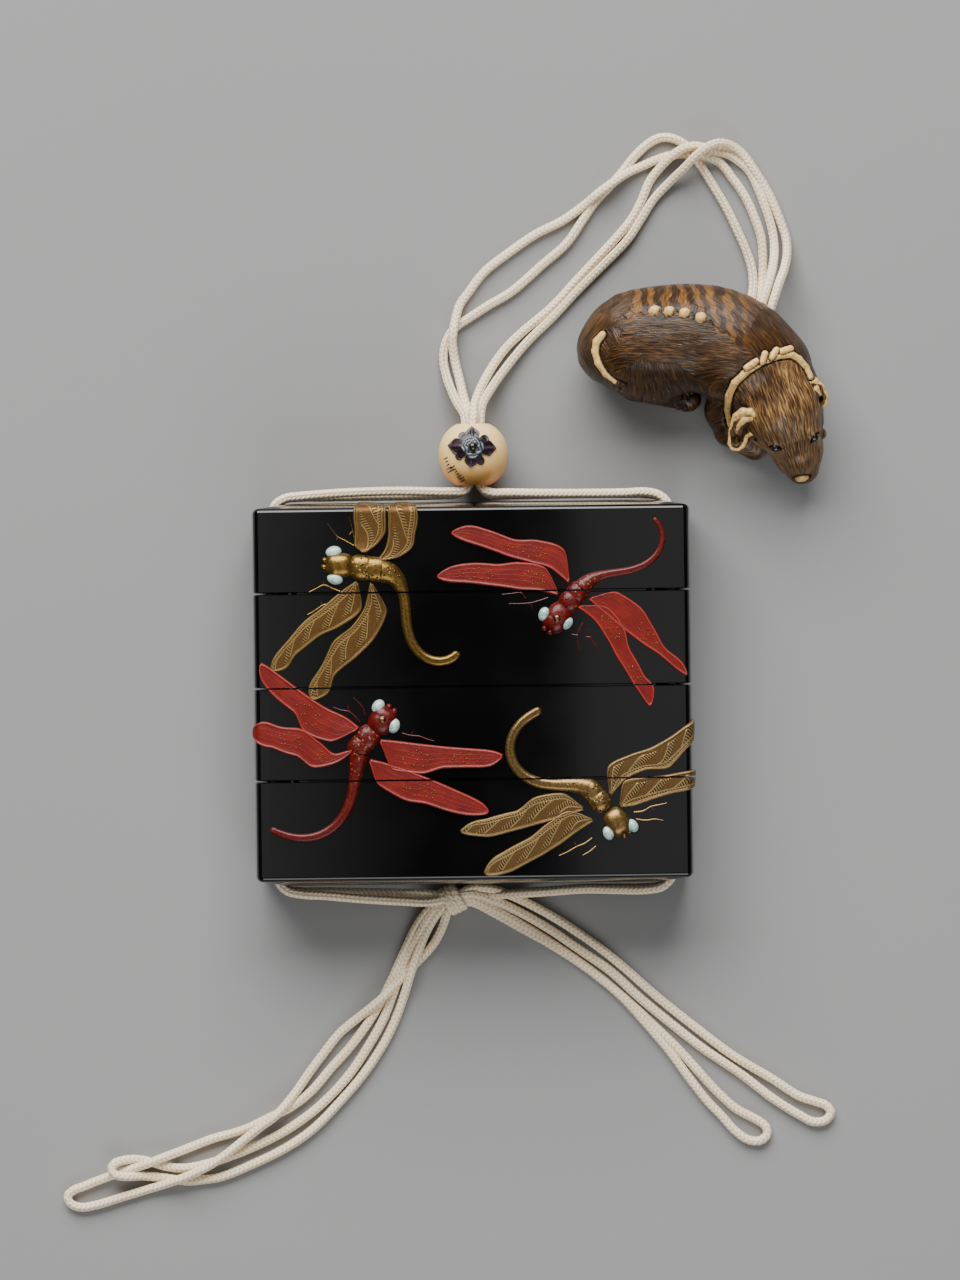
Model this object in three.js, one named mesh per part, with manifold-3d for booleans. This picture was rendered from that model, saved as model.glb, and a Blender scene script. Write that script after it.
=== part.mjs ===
// Inro: a small stacked case of four fitting sections strung on one silk cord,
// with a slide bead (ojime) and a carved toggle (netsuke) in the form of a lying dog.
// Millimetres, +Z up. The case lies on its back: z = 0 is its flat back rest,
// +Y points to the lid, and the origin is the middle of the rest face.
import * as THREE from "three";
import { mergeVertices } from "three/addons/utils/BufferGeometryUtils.js";
import Module from "manifold-3d";

const wasm = await Module();
wasm.setup();

// ---------------------------------------------------------------- dimensions
const CASE_HALF_WIDTH = 39.5; // widest, at mid depth
const CASE_DEPTH = 19.0;
const RIM_TOP = 33.5; // rim of the lid's end
const RIM_BOTTOM = -33.5; // rim of the closed end
const END_DOME = 0.95; // swell of both ends beyond their rims
const SEAMS = [18.17, 1.15, -15.48]; // planes where the sections meet
const SEAM_GAP = 0.3;
const FRONT_EDGE_R = 1.2;
const BACK_EDGE_R = 1.6;
const BACK_FLAT = 22.0; // half width of the flat back rest
const RISER_HEIGHT = 3.6;
const SOCKET_DEPTH = 4.2;
const FLOOR = 1.5;
const COMPARTMENT = { a: 32.4, z0: 2.1, z1: 16.9 };
const RISER_OUT = { a: 33.2, z0: 1.3, z1: 17.7 };
const SOCKET = { a: 33.5, z0: 1.0, z1: 18.0 };
const CHANNEL_X = 35.8; // middle of each cord channel
const CHANNEL_HALF_X = 1.3;
const CHANNEL_HALF_Z = 2.4;
const MID_Z = 9.5;
const MOUTH_DEPTH = 1.2;
const WING_RAISE = 0.42; // height of the wing relief above the lacquer
const CORD_D = 1.6;

const BEAD = { x: 0.6, y: 43.0, r: 6.3, h: 6.1, bore: 2.5, mouth: 3.3 };
const BEAD_FLAT = 0.06; // depth of the small flat the bead rests on

const NETSUKE = { x: 42.8, y: 55.9 };

// ------------------------------------------------------------------- helpers
const V3 = (x, y, z) => new THREE.Vector3(x, y, z);
const rad = (d) => (d * Math.PI) / 180;

function solid(geometry) {
  const g = geometry.clone();
  for (const n of Object.keys(g.attributes)) if (n !== "position") g.deleteAttribute(n);
  const m = mergeVertices(g, 1e-4);
  const made = new wasm.Manifold(
    new wasm.Mesh({
      numProp: 3,
      vertProperties: new Float32Array(m.attributes.position.array),
      triVerts: new Uint32Array(m.index.array),
    }),
  );
  if (made.volume() < 0) throw new Error("a shape is inside out");
  return made;
}

function geometryOf(m) {
  const mesh = m.getMesh();
  const g = new THREE.BufferGeometry();
  const n = mesh.numProp;
  const count = mesh.vertProperties.length / n;
  const p = new Float32Array(count * 3);
  for (let i = 0; i < count; i++)
    for (let k = 0; k < 3; k++) p[i * 3 + k] = mesh.vertProperties[i * n + k];
  g.setAttribute("position", new THREE.BufferAttribute(p, 3));
  g.setIndex(Array.from(mesh.triVerts));
  const flat = g.toNonIndexed();
  flat.computeVertexNormals();
  return flat;
}

// A closed body through rings of equal count, each ring counter-clockwise seen
// from the last ring's side, closed by a fan at either end.
function loft(rings) {
  const n = rings[0].length;
  const p = [];
  const index = [];
  for (const ring of rings) for (const v of ring) p.push(v.x, v.y, v.z);
  for (let i = 0; i + 1 < rings.length; i++)
    for (let j = 0; j < n; j++) {
      const k = (j + 1) % n;
      const a = i * n + j, b = i * n + k, c = (i + 1) * n + j, d = (i + 1) * n + k;
      index.push(a, b, d, a, d, c);
    }
  const cap = (ring, base, flip) => {
    const mid = ring.reduce((s, v) => s.add(v), V3(0, 0, 0)).divideScalar(n);
    const at = p.length / 3;
    p.push(mid.x, mid.y, mid.z);
    for (let j = 0; j < n; j++) {
      const k = (j + 1) % n;
      if (flip) index.push(at, base + k, base + j);
      else index.push(at, base + j, base + k);
    }
  };
  cap(rings[0], 0, true);
  cap(rings[rings.length - 1], (rings.length - 1) * n, false);
  const g = new THREE.BufferGeometry();
  g.setAttribute("position", new THREE.Float32BufferAttribute(p, 3));
  g.setIndex(index);
  return g;
}

// Outline of the case across its width (x) and depth (z), counter-clockwise from
// +x: slightly convex front, rounded edges, bowed sides and a back that is flat
// in the middle. Every arc meets the next one smoothly.
function outline({ a, z0, z1, front = 2.9, side = 7, back = 5, rf, rb, flat, nFront = 6, nSide = 2, nEdge = 3, nBack = 1 }) {
  const al = rad(front), be = rad(side), ga = rad(back);
  let h = (z1 - z0) / 2 - 1, mid = (z0 + z1) / 2;
  let xe, Rf, Rb, cf, cb;
  for (let i = 0; i < 30; i++) {
    xe = a - h * Math.tan(be / 2);
    cf = xe - rf * Math.cos(be);
    cb = xe - rb * Math.cos(be);
    Rf = (cf + rf * Math.sin(al)) / Math.sin(al);
    Rb = (cb + rb * Math.sin(ga) - flat) / Math.sin(ga);
    const s = z1 - Rf * (1 - Math.cos(al)) + rf * Math.sin(be) - rf * Math.cos(al);
    const d = z0 + Rb * (1 - Math.cos(ga)) - rb * Math.sin(be) + rb * Math.cos(ga);
    mid = (s + d) / 2;
    h = (s - d) / 2;
  }
  const pts = [];
  const arc = (cx, cz, r, from, to, n, last) => {
    for (let i = 0; i < n + (last ? 1 : 0); i++) {
      const t = from + ((to - from) * i) / n;
      pts.push(new THREE.Vector2(cx + r * Math.cos(t), cz + r * Math.sin(t)));
    }
  };
  const Rs = h / Math.sin(be);
  const H = Math.PI / 2;
  arc(xe - Rs * Math.cos(be), mid, Rs, -be, be, nSide); // right side
  arc(cf, mid + h - rf * Math.sin(be), rf, be, H - al, nEdge); // right front edge
  arc(0, z1 - Rf, Rf, H - al, H + al, nFront); // front
  arc(-cf, mid + h - rf * Math.sin(be), rf, H + al, Math.PI - be, nEdge);
  arc(-(xe - Rs * Math.cos(be)), mid, Rs, Math.PI - be, Math.PI + be, nSide); // left side
  arc(-cb, mid - h + rb * Math.sin(be), rb, Math.PI + be, 3 * H - ga, nEdge);
  arc(-flat, z0 + Rb, Rb, 3 * H - ga, 3 * H, nBack, true); // back, left of the flat
  arc(flat, z0 + Rb, Rb, 3 * H, 3 * H + ga, nBack); // back, right of the flat
  arc(cb, mid - h + rb * Math.sin(be), rb, 3 * H + ga, 4 * H - be, nEdge);
  return pts;
}

const OUTER = outline({ a: CASE_HALF_WIDTH, z0: 0, z1: CASE_DEPTH, rf: FRONT_EDGE_R, rb: BACK_EDGE_R, flat: BACK_FLAT });
const inner = ({ a, z0, z1 }) =>
  outline({ a, z0, z1, front: 2, side: 5, back: 3, rf: 2.2, rb: 2.2, flat: 20, nFront: 4, nSide: 1, nEdge: 2, nBack: 1 });

// An (x, z) outline swept along Y from y0 to y1.
function block(pts, y0, y1) {
  const g = new THREE.ExtrudeGeometry(new THREE.Shape(pts), { depth: y1 - y0, bevelEnabled: false, steps: 1 });
  g.translate(0, 0, -y1);
  g.rotateX(Math.PI / 2);
  return solid(g);
}

// The same outline drawn in by t all round (grown where t is negative).
function drawnIn(pts, t) {
  const n = pts.length;
  return pts.map((p, i) => {
    const a = pts[(i + n - 1) % n], b = pts[(i + 1) % n];
    const d = new THREE.Vector2(b.x - a.x, b.y - a.y).normalize();
    return new THREE.Vector2(p.x - d.y * t, p.y + d.x * t);
  });
}
// The outline pulled towards the middle for the domed ends.
function pulled(pts, t) {
  const sx = (CASE_HALF_WIDTH - t) / CASE_HALF_WIDTH, sz = (MID_Z - t) / MID_Z;
  return pts.map((p) => new THREE.Vector2(p.x * sx, MID_Z + (p.y - MID_Z) * sz));
}

// Body between two planes; either end may be the rounded, domed end of the case.
function shell(y0, y1, domeBottom, domeTop, grow = 0) {
  const base = grow ? drawnIn(OUTER, -grow) : OUTER;
  const rings = [];
  const add = (pts, y) => rings.push(pts.map((p) => V3(p.x, y, p.y)));
  const end = (y, s) => {
    const list = [[0, -1.0], [0.3, -0.3], [1.0, 0]].map(([t, dy]) => [drawnIn(base, t), y + s * (dy + grow)]);
    for (const t of [2.6, 5.0, 8.0]) {
      const q = (MID_Z - t) / (MID_Z - 1);
      list.push([pulled(drawnIn(base, 0.001), t), y + s * (END_DOME * (1 - q * q) + grow)]);
    }
    return list;
  };
  if (domeBottom) for (const [pts, y] of end(y0, -1).reverse()) add(pts, y);
  else add(base, y0);
  if (domeTop) for (const [pts, y] of end(y1, 1)) add(pts, y);
  else add(base, y1);
  // rings run from low y to high y, so each is turned to face outwards
  return solid(loft(rings.map((r) => r.slice().reverse())));
}

function ovalPrism(x, z, hx, hz, y0, y1) {
  const pts = [];
  const r = Math.min(hx, hz);
  for (let i = 0; i < 12; i++) {
    const t = ((i + 0.5) * Math.PI) / 6;
    pts.push(new THREE.Vector2(x + r * Math.cos(t) + Math.sign(Math.cos(t)) * (hx - r), z + r * Math.sin(t) + Math.sign(Math.sin(t)) * (hz - r)));
  }
  return block(pts, y0, y1);
}

// ------------------------------------------------------ the dragonfly relief
// Wings: base x, y; tip x, y; sideways bow; half widths to the left and to the
// right of the middle line at five stations.
const STATIONS = [0, 0.15, 0.35, 0.55, 0.75, 0.92, 1];
const DRAGONFLIES = [
  {
    name: "top_left", colour: "gold",
    head: [-23.6, 23.15, 2.75, 2.25, 180], thorax: [-18.6, 22.55, 3.3, 2.35, -8],
    eyes: [[-24.6, 25.55, 1.45, 1.05, 10], [-24.4, 20.75, 1.45, 1.05, -10]],
    tail: { at: [-15.95, 21.97], h: -0.1, c: [-8.22, 13.53, -4.3], length: 25.1, r: [1.95, 1.0, 0.8] },
    wings: [
      [-20.42, 20.11, -35.98, 4.27, 1.26, 3.43, 2.2, 0.51, 0.25, 1.57, 1.65, 2.59, 3.35, 2.95, 2.71],
      [-17.9, 19.9, -28.75, -0.94, 1.97, 3.94, 3.29, 1.74, 0.26, 1.87, 0.35, 1.43, 3.45, 3.07, 3.41],
      [-19.14, 25.3, -19.73, 36.35, -0.69, 2.09, 2.09, 2.25, 2.03, 1.74, 2.46, 3.6, 3.68, 4.2, 4.0],
      [-16.54, 23.92, -11.64, 36.01, -1.62, 0.62, 1.52, 2.66, 3.36, 3.31, 2.47, 3.37, 2.78, 2.78, 2.53],
    ],
  },
  {
    name: "top_right", colour: "red",
    head: [15.3, 13.3, 2.9, 2.3, 235], thorax: [18.1, 16.8, 2.6, 1.75, 55],
    eyes: [[12.95, 13.95, 1.3, 1.0, 65], [17.0, 12.35, 1.3, 1.0, 50]],
    tail: { at: [19.81, 18.56], h: 0.96, c: [-5.58, 10.57, -3.52], length: 22.3, r: [1.2, 0.75, 0.42] },
    wings: [
      [17.55, 19.57, -3.5, 28.75, -2.25, 0.35, 1.6, 2.33, 2.17, 1.91, 4.09, 2.81, 1.05, 1.47, 2.22],
      [15.54, 17.54, -6.16, 20.99, -2.68, 1.41, 2.76, 3.03, 2.69, 2.34, 3.18, 2.25, 1.05, 1.28, 1.55],
      [19.05, 15.29, 31.81, -2.8, 2.81, 2.85, 1.98, 0.25, 0.39, 2.12, 0.74, 1.88, 2.66, 2.46, 1.72],
      [21.16, 16.67, 38.29, 2.57, 0.09, 4.07, 4.47, 3.13, 1.66, 2.13, 0.58, 0.71, 0.62, 0.25, 0.42],
    ],
  },
  {
    name: "lower_left", colour: "red",
    head: [-16.3, -4.7, 2.7, 2.3, 60], thorax: [-19.5, -8.4, 2.9, 1.9, 62],
    eyes: [[-16.95, -2.2, 1.35, 1.05, 50], [-14.2, -5.7, 1.35, 1.1, 70]],
    tail: { at: [-20.36, -10.81], h: -1.89, c: [2.31, -8.83, 4.78], length: 26.2, r: [1.3, 0.95, 0.6] },
    wings: [
      [-20.51, -6.15, -37.89, 5.85, 0.63, 4.65, 5.47, 3.52, 3.52, 3.52, 0.79, 0.45, 0.5, 0.6, 0.61],
      [-21.35, -9.88, -39.74, -6.77, 2.64, 1.59, 1.99, 0.25, 0.25, 1.3, 0.25, 2.96, 4.93, 4.38, 4.73],
      [-16.71, -8.37, 5.29, -11.19, -0.25, 0.5, 0.56, 0.63, 0.81, 1.01, 5.01, 4.9, 3.33, 2.98, 3.15],
      [-18.59, -11.87, 2.66, -21.42, -0.78, 1.3, 2.0, 2.19, 2.12, 2.09, 3.16, 3.39, 2.39, 2.23, 1.92],
    ],
  },
  {
    name: "lower_right", colour: "bronze",
    head: [25.6, -23.4, 2.7, 2.25, 305], thorax: [21.9, -18.9, 2.9, 2.0, 128],
    eyes: [[24.0, -25.4, 1.3, 1.0, -70], [28.3, -24.1, 1.3, 1.0, -50]],
    tail: { at: [20.47, -17.19], h: 2.79, c: [4.27, -14.91, 8.3], length: 27.0, r: [1.5, 1.0, 0.8] },
    wings: [
      [19.59, -20.96, -2.56, -24.66, -1.54, 1.65, 2.7, 3.25, 3.44, 2.54, 2.74, 2.27, 0.25, 0.31, 0.92],
      [21.2, -23.0, 1.62, -32.24, -1.92, 1.7, 3.21, 3.76, 3.69, 2.93, 2.52, 1.35, 0.25, 0.58, 1.22],
      [24.38, -18.5, 40.6, -5.1, 0.84, 3.74, 2.42, 0.76, 0.25, 0.43, 0.25, 1.45, 4.11, 3.52, 2.93],
      [26.08, -20.55, 41.99, -14.26, 0.47, 3.7, 2.75, 1.66, 1.09, 0.78, 1.25, 1.67, 2.03, 2.63, 2.62],
    ],
  },
];

// Monotone cubic through the station values (Fritsch-Carlson).
function profile(values, t) {
  const x = STATIONS, n = x.length;
  const h = [], d = [], m = [];
  for (let i = 0; i + 1 < n; i++) {
    h.push(x[i + 1] - x[i]);
    d.push((values[i + 1] - values[i]) / h[i]);
  }
  for (let i = 1; i + 1 < n; i++) {
    if (d[i - 1] * d[i] <= 0) m[i] = 0;
    else {
      const w1 = 2 * h[i] + h[i - 1], w2 = h[i] + 2 * h[i - 1];
      m[i] = (w1 + w2) / (w1 / d[i - 1] + w2 / d[i]);
    }
  }
  m[0] = d[0];
  m[n - 1] = d[n - 2];
  let i = 0;
  while (i < n - 2 && t > x[i + 1]) i++;
  const s = (t - x[i]) / h[i];
  return (
    (1 + 2 * s) * (1 - s) ** 2 * values[i] + s * (1 - s) ** 2 * h[i] * m[i] +
    s * s * (3 - 2 * s) * values[i + 1] + s * s * (s - 1) * h[i] * m[i + 1]
  );
}

function wingOutline(w, n = 7) {
  const [bx, by, tx, ty, bow] = w;
  const L = Math.hypot(tx - bx, ty - by), ux = (tx - bx) / L, uy = (ty - by) / L;
  const edge = (values, sign) => {
    const v = [0.35, ...values, values[4] * 0.8];
    const out = [];
    for (let i = 0; i <= n; i++) {
      const t = (1 - Math.cos((Math.PI * i) / n)) / 2;
      const g = profile(v, t) * Math.sqrt(Math.max(0, 1 - t ** 7));
      const o = bow * 4 * t * (1 - t) + sign * g;
      out.push(new THREE.Vector2(bx + ux * t * L - uy * o, by + uy * t * L + ux * o));
    }
    return out;
  };
  const left = edge(w.slice(5, 10), 1), right = edge(w.slice(10, 15), -1);
  return [...right, ...left.slice(0, n).reverse()];
}

function tailPath({ at, h, c, length, r }, n = 8) {
  const fine = 96, out = [];
  let [x, y] = at;
  for (let i = 0; i <= fine; i++) {
    const s = i / fine;
    const a = h + c[0] * s + c[1] * s * s + c[2] * s * s * s;
    if (i % (fine / n) === 0) {
      const k = s < 0.25 ? r[0] + ((r[1] - r[0]) * s) / 0.25 : r[1] + ((r[2] - r[1]) * (s - 0.25)) / 0.75;
      out.push({ x, y, a, r: s > 0.999 ? k * 0.6 : k });
    }
    x += (Math.cos(a) * length) / fine;
    y += (Math.sin(a) * length) / fine;
  }
  return out;
}

// Height of the lacquered front above the rest plane at x.
function frontZ(x) {
  for (let i = 0; i < OUTER.length; i++) {
    const a = OUTER[i], b = OUTER[(i + 1) % OUTER.length];
    if (a.y > MID_Z && b.y > MID_Z && (a.x - x) * (b.x - x) <= 0 && a.x !== b.x)
      return a.y + ((b.y - a.y) * (x - a.x)) / (b.x - a.x);
  }
  return CASE_DEPTH;
}

function plate(pts, z0, z1) {
  const g = new THREE.ExtrudeGeometry(new THREE.Shape(pts), { depth: z1 - z0, bevelEnabled: false, steps: 1 });
  g.translate(0, 0, z0);
  return solid(g);
}

function dome(cx, cy, cz, a, b, c, turn, ws = 8, hs = 6) {
  const g = new THREE.SphereGeometry(1, ws, hs);
  g.rotateX(Math.PI / 2);
  g.scale(a, b, c);
  g.rotateZ(rad(turn));
  g.translate(cx, cy, cz);
  return solid(g);
}

function tailTube(spec) {
  const rings = tailPath(spec).map(({ x, y, a, r }) => {
    const z = frontZ(x) - 0.05;
    const ring = [];
    for (let i = 0; i < 6; i++) {
      const t = (i * Math.PI) / 3 + Math.PI / 6;
      const side = r * Math.cos(t);
      ring.push(V3(x - Math.sin(a) * side, y + Math.cos(a) * side, z + r * 0.95 * Math.sin(t)));
    }
    return ring;
  });
  return solid(loft(rings));
}

const join = (list) => list.reduce((a, b) => a.add(b));

const wingBody = shell(RIM_BOTTOM, RIM_TOP, true, true, WING_RAISE);
const wingPlates = join(
  DRAGONFLIES.flatMap((d) => d.wings.map((w) => plate(wingOutline(w), 5.0, 24))),
).intersect(wingBody);
const bodyReliefs = join(
  DRAGONFLIES.flatMap((d) => [
    dome(d.head[0], d.head[1], frontZ(d.head[0]) - 0.3, d.head[2], d.head[3], 1.9, d.head[4]),
    dome(d.thorax[0], d.thorax[1], frontZ(d.thorax[0]) - 0.3, d.thorax[2], d.thorax[3], 1.75, d.thorax[4]),
    tailTube(d.tail),
  ]),
);
const relief = wingPlates.add(bodyReliefs);

const EYE_HEIGHT = 1.15;
const eyeAt = ([x, y, a, b, turn], g) => dome(x, y, frontZ(x) + 0.1, a + g, b + g, EYE_HEIGHT + g, turn, 8, 6);
const pockets = join(DRAGONFLIES.flatMap((d) => d.eyes.map((e) => eyeAt(e, 0.25))));

// ------------------------------------------------------------- case sections
// two cord channels through the whole stack, each with a widened mouth at either end
const channels = join(
  [-1, 1].flatMap((s) => [
    ovalPrism(s * CHANNEL_X, MID_Z, CHANNEL_HALF_X, CHANNEL_HALF_Z, RIM_BOTTOM - 5, RIM_TOP + 5),
    ovalPrism(s * (CHANNEL_X - 0.7), MID_Z, CHANNEL_HALF_X + 0.9, CHANNEL_HALF_Z + 0.2, RIM_TOP - MOUTH_DEPTH, RIM_TOP + 5),
    ovalPrism(s * (CHANNEL_X - 0.7), MID_Z, CHANNEL_HALF_X + 0.9, CHANNEL_HALF_Z + 0.2, RIM_BOTTOM - 5, RIM_BOTTOM + MOUTH_DEPTH),
  ]),
);
const G = SEAM_GAP / 2;
const compartment = (y0, y1) => block(inner(COMPARTMENT), y0, y1);
const socket = (y0, y1) => block(inner(SOCKET), y0, y1);

function section(y0, y1, { first = false, last = false }) {
  const lo = last ? y0 : y0 + G, hi = first ? y1 : y1 - G;
  let s = shell(lo, hi, last, first);
  const slab = plate(
    [new THREE.Vector2(-60, lo - (last ? 5 : 0)), new THREE.Vector2(60, lo - (last ? 5 : 0)), new THREE.Vector2(60, hi + (first ? 5 : 0)), new THREE.Vector2(-60, hi + (first ? 5 : 0))],
    3, 40,
  );
  s = s.add(relief.intersect(slab)).subtract(pockets);
  const top = hi + RISER_HEIGHT;
  if (!first) s = s.add(block(inner(RISER_OUT), hi - 2.5, top));
  const floorY = last ? y0 + FLOOR + 0.4 : lo + SOCKET_DEPTH + FLOOR;
  if (first) {
    s = s.subtract(socket(lo - 1, lo + SOCKET_DEPTH)).subtract(compartment(lo + SOCKET_DEPTH - 0.5, y1 - 2.0));
  } else {
    if (!last) s = s.subtract(socket(lo - 1, lo + SOCKET_DEPTH));
    s = s.subtract(compartment(floorY, top + 1));
  }
  return s.subtract(channels);
}

const lid = section(SEAMS[0], RIM_TOP, { first: true });
const upper = section(SEAMS[1], SEAMS[0], {});
const middle = section(SEAMS[2], SEAMS[1], {});
const lower = section(RIM_BOTTOM, SEAMS[2], { last: true });

// --------------------------------------------------------------------- ojime
function lathe(points, segments) {
  return new THREE.LatheGeometry(points.map(([r, y]) => new THREE.Vector2(r, y)), segments);
}
const BEAD_Z = BEAD.r - BEAD_FLAT;
function beadProfile() {
  const out = [];
  const y0 = BEAD.h - 0.35;
  const t0 = Math.asin(y0 / BEAD.h), n = 8;
  for (let i = 0; i <= n; i++) {
    const t = -t0 + (2 * t0 * i) / n;
    const c = Math.cos(t);
    out.push([Math.max(BEAD.mouth + 0.15, BEAD.r * Math.pow(c, 0.86)), BEAD.h * Math.sin(t)]);
  }
  out.push([BEAD.mouth, y0 - 0.02], [BEAD.bore, y0 - 1.7], [BEAD.bore, -(y0 - 1.7)], [BEAD.mouth, -(y0 - 0.02)]);
  out.push(out[0].slice());
  return out;
}
const beadBody = solid(lathe(beadProfile(), 20).translate(0, 0, BEAD_Z));
function petals(grow) {
  const pts = [];
  const n = 24;
  for (let i = 0; i < n; i++) {
    const t = (i * 2 * Math.PI) / n;
    const star = Math.pow(Math.abs(Math.cos(2 * t)), 1.6);
    const lobe = 0.35 * Math.pow(Math.abs(Math.sin(2 * t)), 6);
    const r = 2.35 + 1.9 * star + lobe + grow;
    pts.push(new THREE.Vector2(r * Math.sin(t), r * Math.cos(t)));
  }
  return pts;
}
const ball = (x, y, z, r, ws = 16, hs = 12) => {
  const g = new THREE.SphereGeometry(r, ws, hs);
  g.rotateX(Math.PI / 2);
  g.translate(x, y, z);
  return solid(g);
};
const FLOWER_Y = 1.15; // the flower sits a little above the bead's middle
const petalPrism = (grow, z0, z1) => {
  const g = new THREE.ExtrudeGeometry(new THREE.Shape(petals(grow)), { depth: z1 - z0, bevelEnabled: false, steps: 1 });
  g.translate(0, FLOWER_Y, z0);
  return solid(g);
};
const scaledBall = (r, z) => {
  const g = new THREE.SphereGeometry(1, 16, 10);
  g.rotateX(Math.PI / 2);
  g.scale(r, r * 0.93, r);
  g.translate(0, 0, z);
  return solid(g);
};
const flowerPocket = petalPrism(0.25, BEAD_Z + 2.6, BEAD_Z + 9).subtract(scaledBall(BEAD.r - 0.75, BEAD_Z));
const flower = petalPrism(0, BEAD_Z + 2.6, BEAD_Z + 9)
  .subtract(scaledBall(BEAD.r - 0.45, BEAD_Z))
  .intersect(scaledBall(BEAD.r + 0.35, BEAD_Z));
const discPocket = dome(0, FLOWER_Y, BEAD_Z + BEAD.r + 0.1, 2.1, 2.1, 0.55, 0, 10, 4);
const disc = dome(0, FLOWER_Y, BEAD_Z + BEAD.r + 0.22, 1.85, 1.85, 0.4, 0, 10, 4);
const budPocket = ball(0, FLOWER_Y, BEAD_Z + BEAD.r + 0.7, 0.95, 8, 6);
const bud = ball(0, FLOWER_Y, BEAD_Z + BEAD.r + 0.85, 0.85, 8, 6);
const flatCut = plate(
  [new THREE.Vector2(-10, -10), new THREE.Vector2(10, -10), new THREE.Vector2(10, 10), new THREE.Vector2(-10, 10)],
  -5, 0,
);

// ------------------------------------------------------------------- netsuke
// The dog is one carved body, given as a smooth blend of rounded cones and
// ellipsoids; its own frame has +x along the back to the head and z = 0 below.
const TORSO = [
  // x, y, z, r along the back from rump to neck
  [-17.7, 5.3, 6.4, 5.3],
  [-13.4, 7.0, 8.4, 8.6],
  [-6.9, 7.5, 9.0, 9.35],
  [-0.2, 7.5, 9.3, 9.35],
  [5.8, 5.2, 9.6, 9.4],
  [11.4, 1.6, 9.6, 7.7],
];
const HEAD = { c: [13.1, -4.3, 9.3], r: [8.0, 8.4, 7.9], turn: -20 };
const MUZZLE = [[15.2, -9.3, 8.0, 5.9], [16.5, -13.0, 6.3, 4.5], [17.4, -15.9, 4.9, 3.0]];
const THIGH = { c: [-11.2, 2.6, 6.6], r: [8.4, 6.2, 6.8], turn: -24 };
const HIND_LEG = [[-12.5, -0.2, 3.2, 3.4], [-6.6, -1.6, 3.0, 2.9], [-2.9, -3.2, 2.5, 2.2]];
const FORE_LEG = [[5.4, -0.6, 7.0, 4.6], [3.6, -5.4, 4.4, 3.7], [4.6, -9.0, 2.8, 2.9], [9.0, -12.0, 2.2, 2.4]];
const EARS = [
  [[8.6, -5.4, 14.4, 1.5], [6.2, -6.6, 13.0, 1.7], [4.9, -9.2, 11.0, 1.5], [5.6, -11.7, 9.6, 1.25], [7.4, -12.4, 9.4, 1.0]],
  [[18.2, -0.4, 13.2, 1.5], [20.2, -0.9, 12.0, 1.5], [21.6, -2.9, 10.4, 1.3], [20.9, -5.2, 9.6, 1.1]],
];
const SPINE_KNOBS = [[-9.4, 12.0], [-6.7, 12.0], [-4.0, 11.6], [-1.4, 10.9]];
const TAIL = [[-18.6, 8.0], [-20.0, 6.0], [-19.6, 3.2], [-17.4, 0.6], [-14.8, -0.7]];
const COLLAR = [[4.5, -6.4], [4.1, -3.6], [4.7, -1.0], [7.2, 1.6], [11.0, 3.6], [15.2, 4.7], [17.6, 2.6], [18.8, 0.2]];
const COLLAR_KNOT = [[7.6, 2.3], [9.9, 3.6], [12.1, 4.6], [14.4, 5.2]];
const DOG_EYES = [[12.2, -12.4, 8.6], [19.2, -10.6, 8.4]];
const EYE_R = 0.8;
// The cord passes through the dog by a tunnel of two holes, one above the other,
// hidden under the curve of the shoulder.
const TUNNEL = { low: [8.9, 12.8, 3.0], high: [10.8, 12.2, 8.2], inwards: [-0.3, -0.954], depth: 5.7, r: 2.05, apart: 0.9 };

const mix = (a, b, t) => a + (b - a) * t;
function blend(a, b, k) {
  const h = Math.max(0, Math.min(1, 0.5 + (0.5 * (b - a)) / k));
  return mix(b, a, h) - k * h * (1 - h);
}
function cone(p, a, b) {
  // distance to a tapered capsule from a to b, radii in the fourth numbers
  const bx = b[0] - a[0], by = b[1] - a[1], bz = b[2] - a[2];
  const px = p[0] - a[0], py = p[1] - a[1], pz = p[2] - a[2];
  const t = Math.max(0, Math.min(1, (px * bx + py * by + pz * bz) / (bx * bx + by * by + bz * bz)));
  return Math.hypot(px - bx * t, py - by * t, pz - bz * t) - mix(a[3], b[3], t);
}
function chain(p, list, k) {
  let d = cone(p, list[0], list[1]);
  for (let i = 1; i + 1 < list.length; i++) d = blend(d, cone(p, list[i], list[i + 1]), k);
  return d;
}
function egg(p, { c, r, turn }) {
  const a = rad(turn), x = p[0] - c[0], y = p[1] - c[1];
  const q = [(x * Math.cos(a) + y * Math.sin(a)) / r[0], (-x * Math.sin(a) + y * Math.cos(a)) / r[1], (p[2] - c[2]) / r[2]];
  const l = Math.hypot(...q);
  return ((l - 1) * Math.min(...r) * (l + 1)) / 2 / Math.max(0.6, l);
}
function trunk(p) {
  let d = chain(p, TORSO, 1.2);
  d = blend(d, egg(p, THIGH), 1.6);
  d = blend(d, chain(p, HIND_LEG, 0.8), 1.0);
  d = blend(d, chain(p, FORE_LEG, 0.8), 1.4);
  d = blend(d, blend(egg(p, HEAD), chain(p, MUZZLE, 1.0), 2.0), 1.6);
  return d;
}
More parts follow.
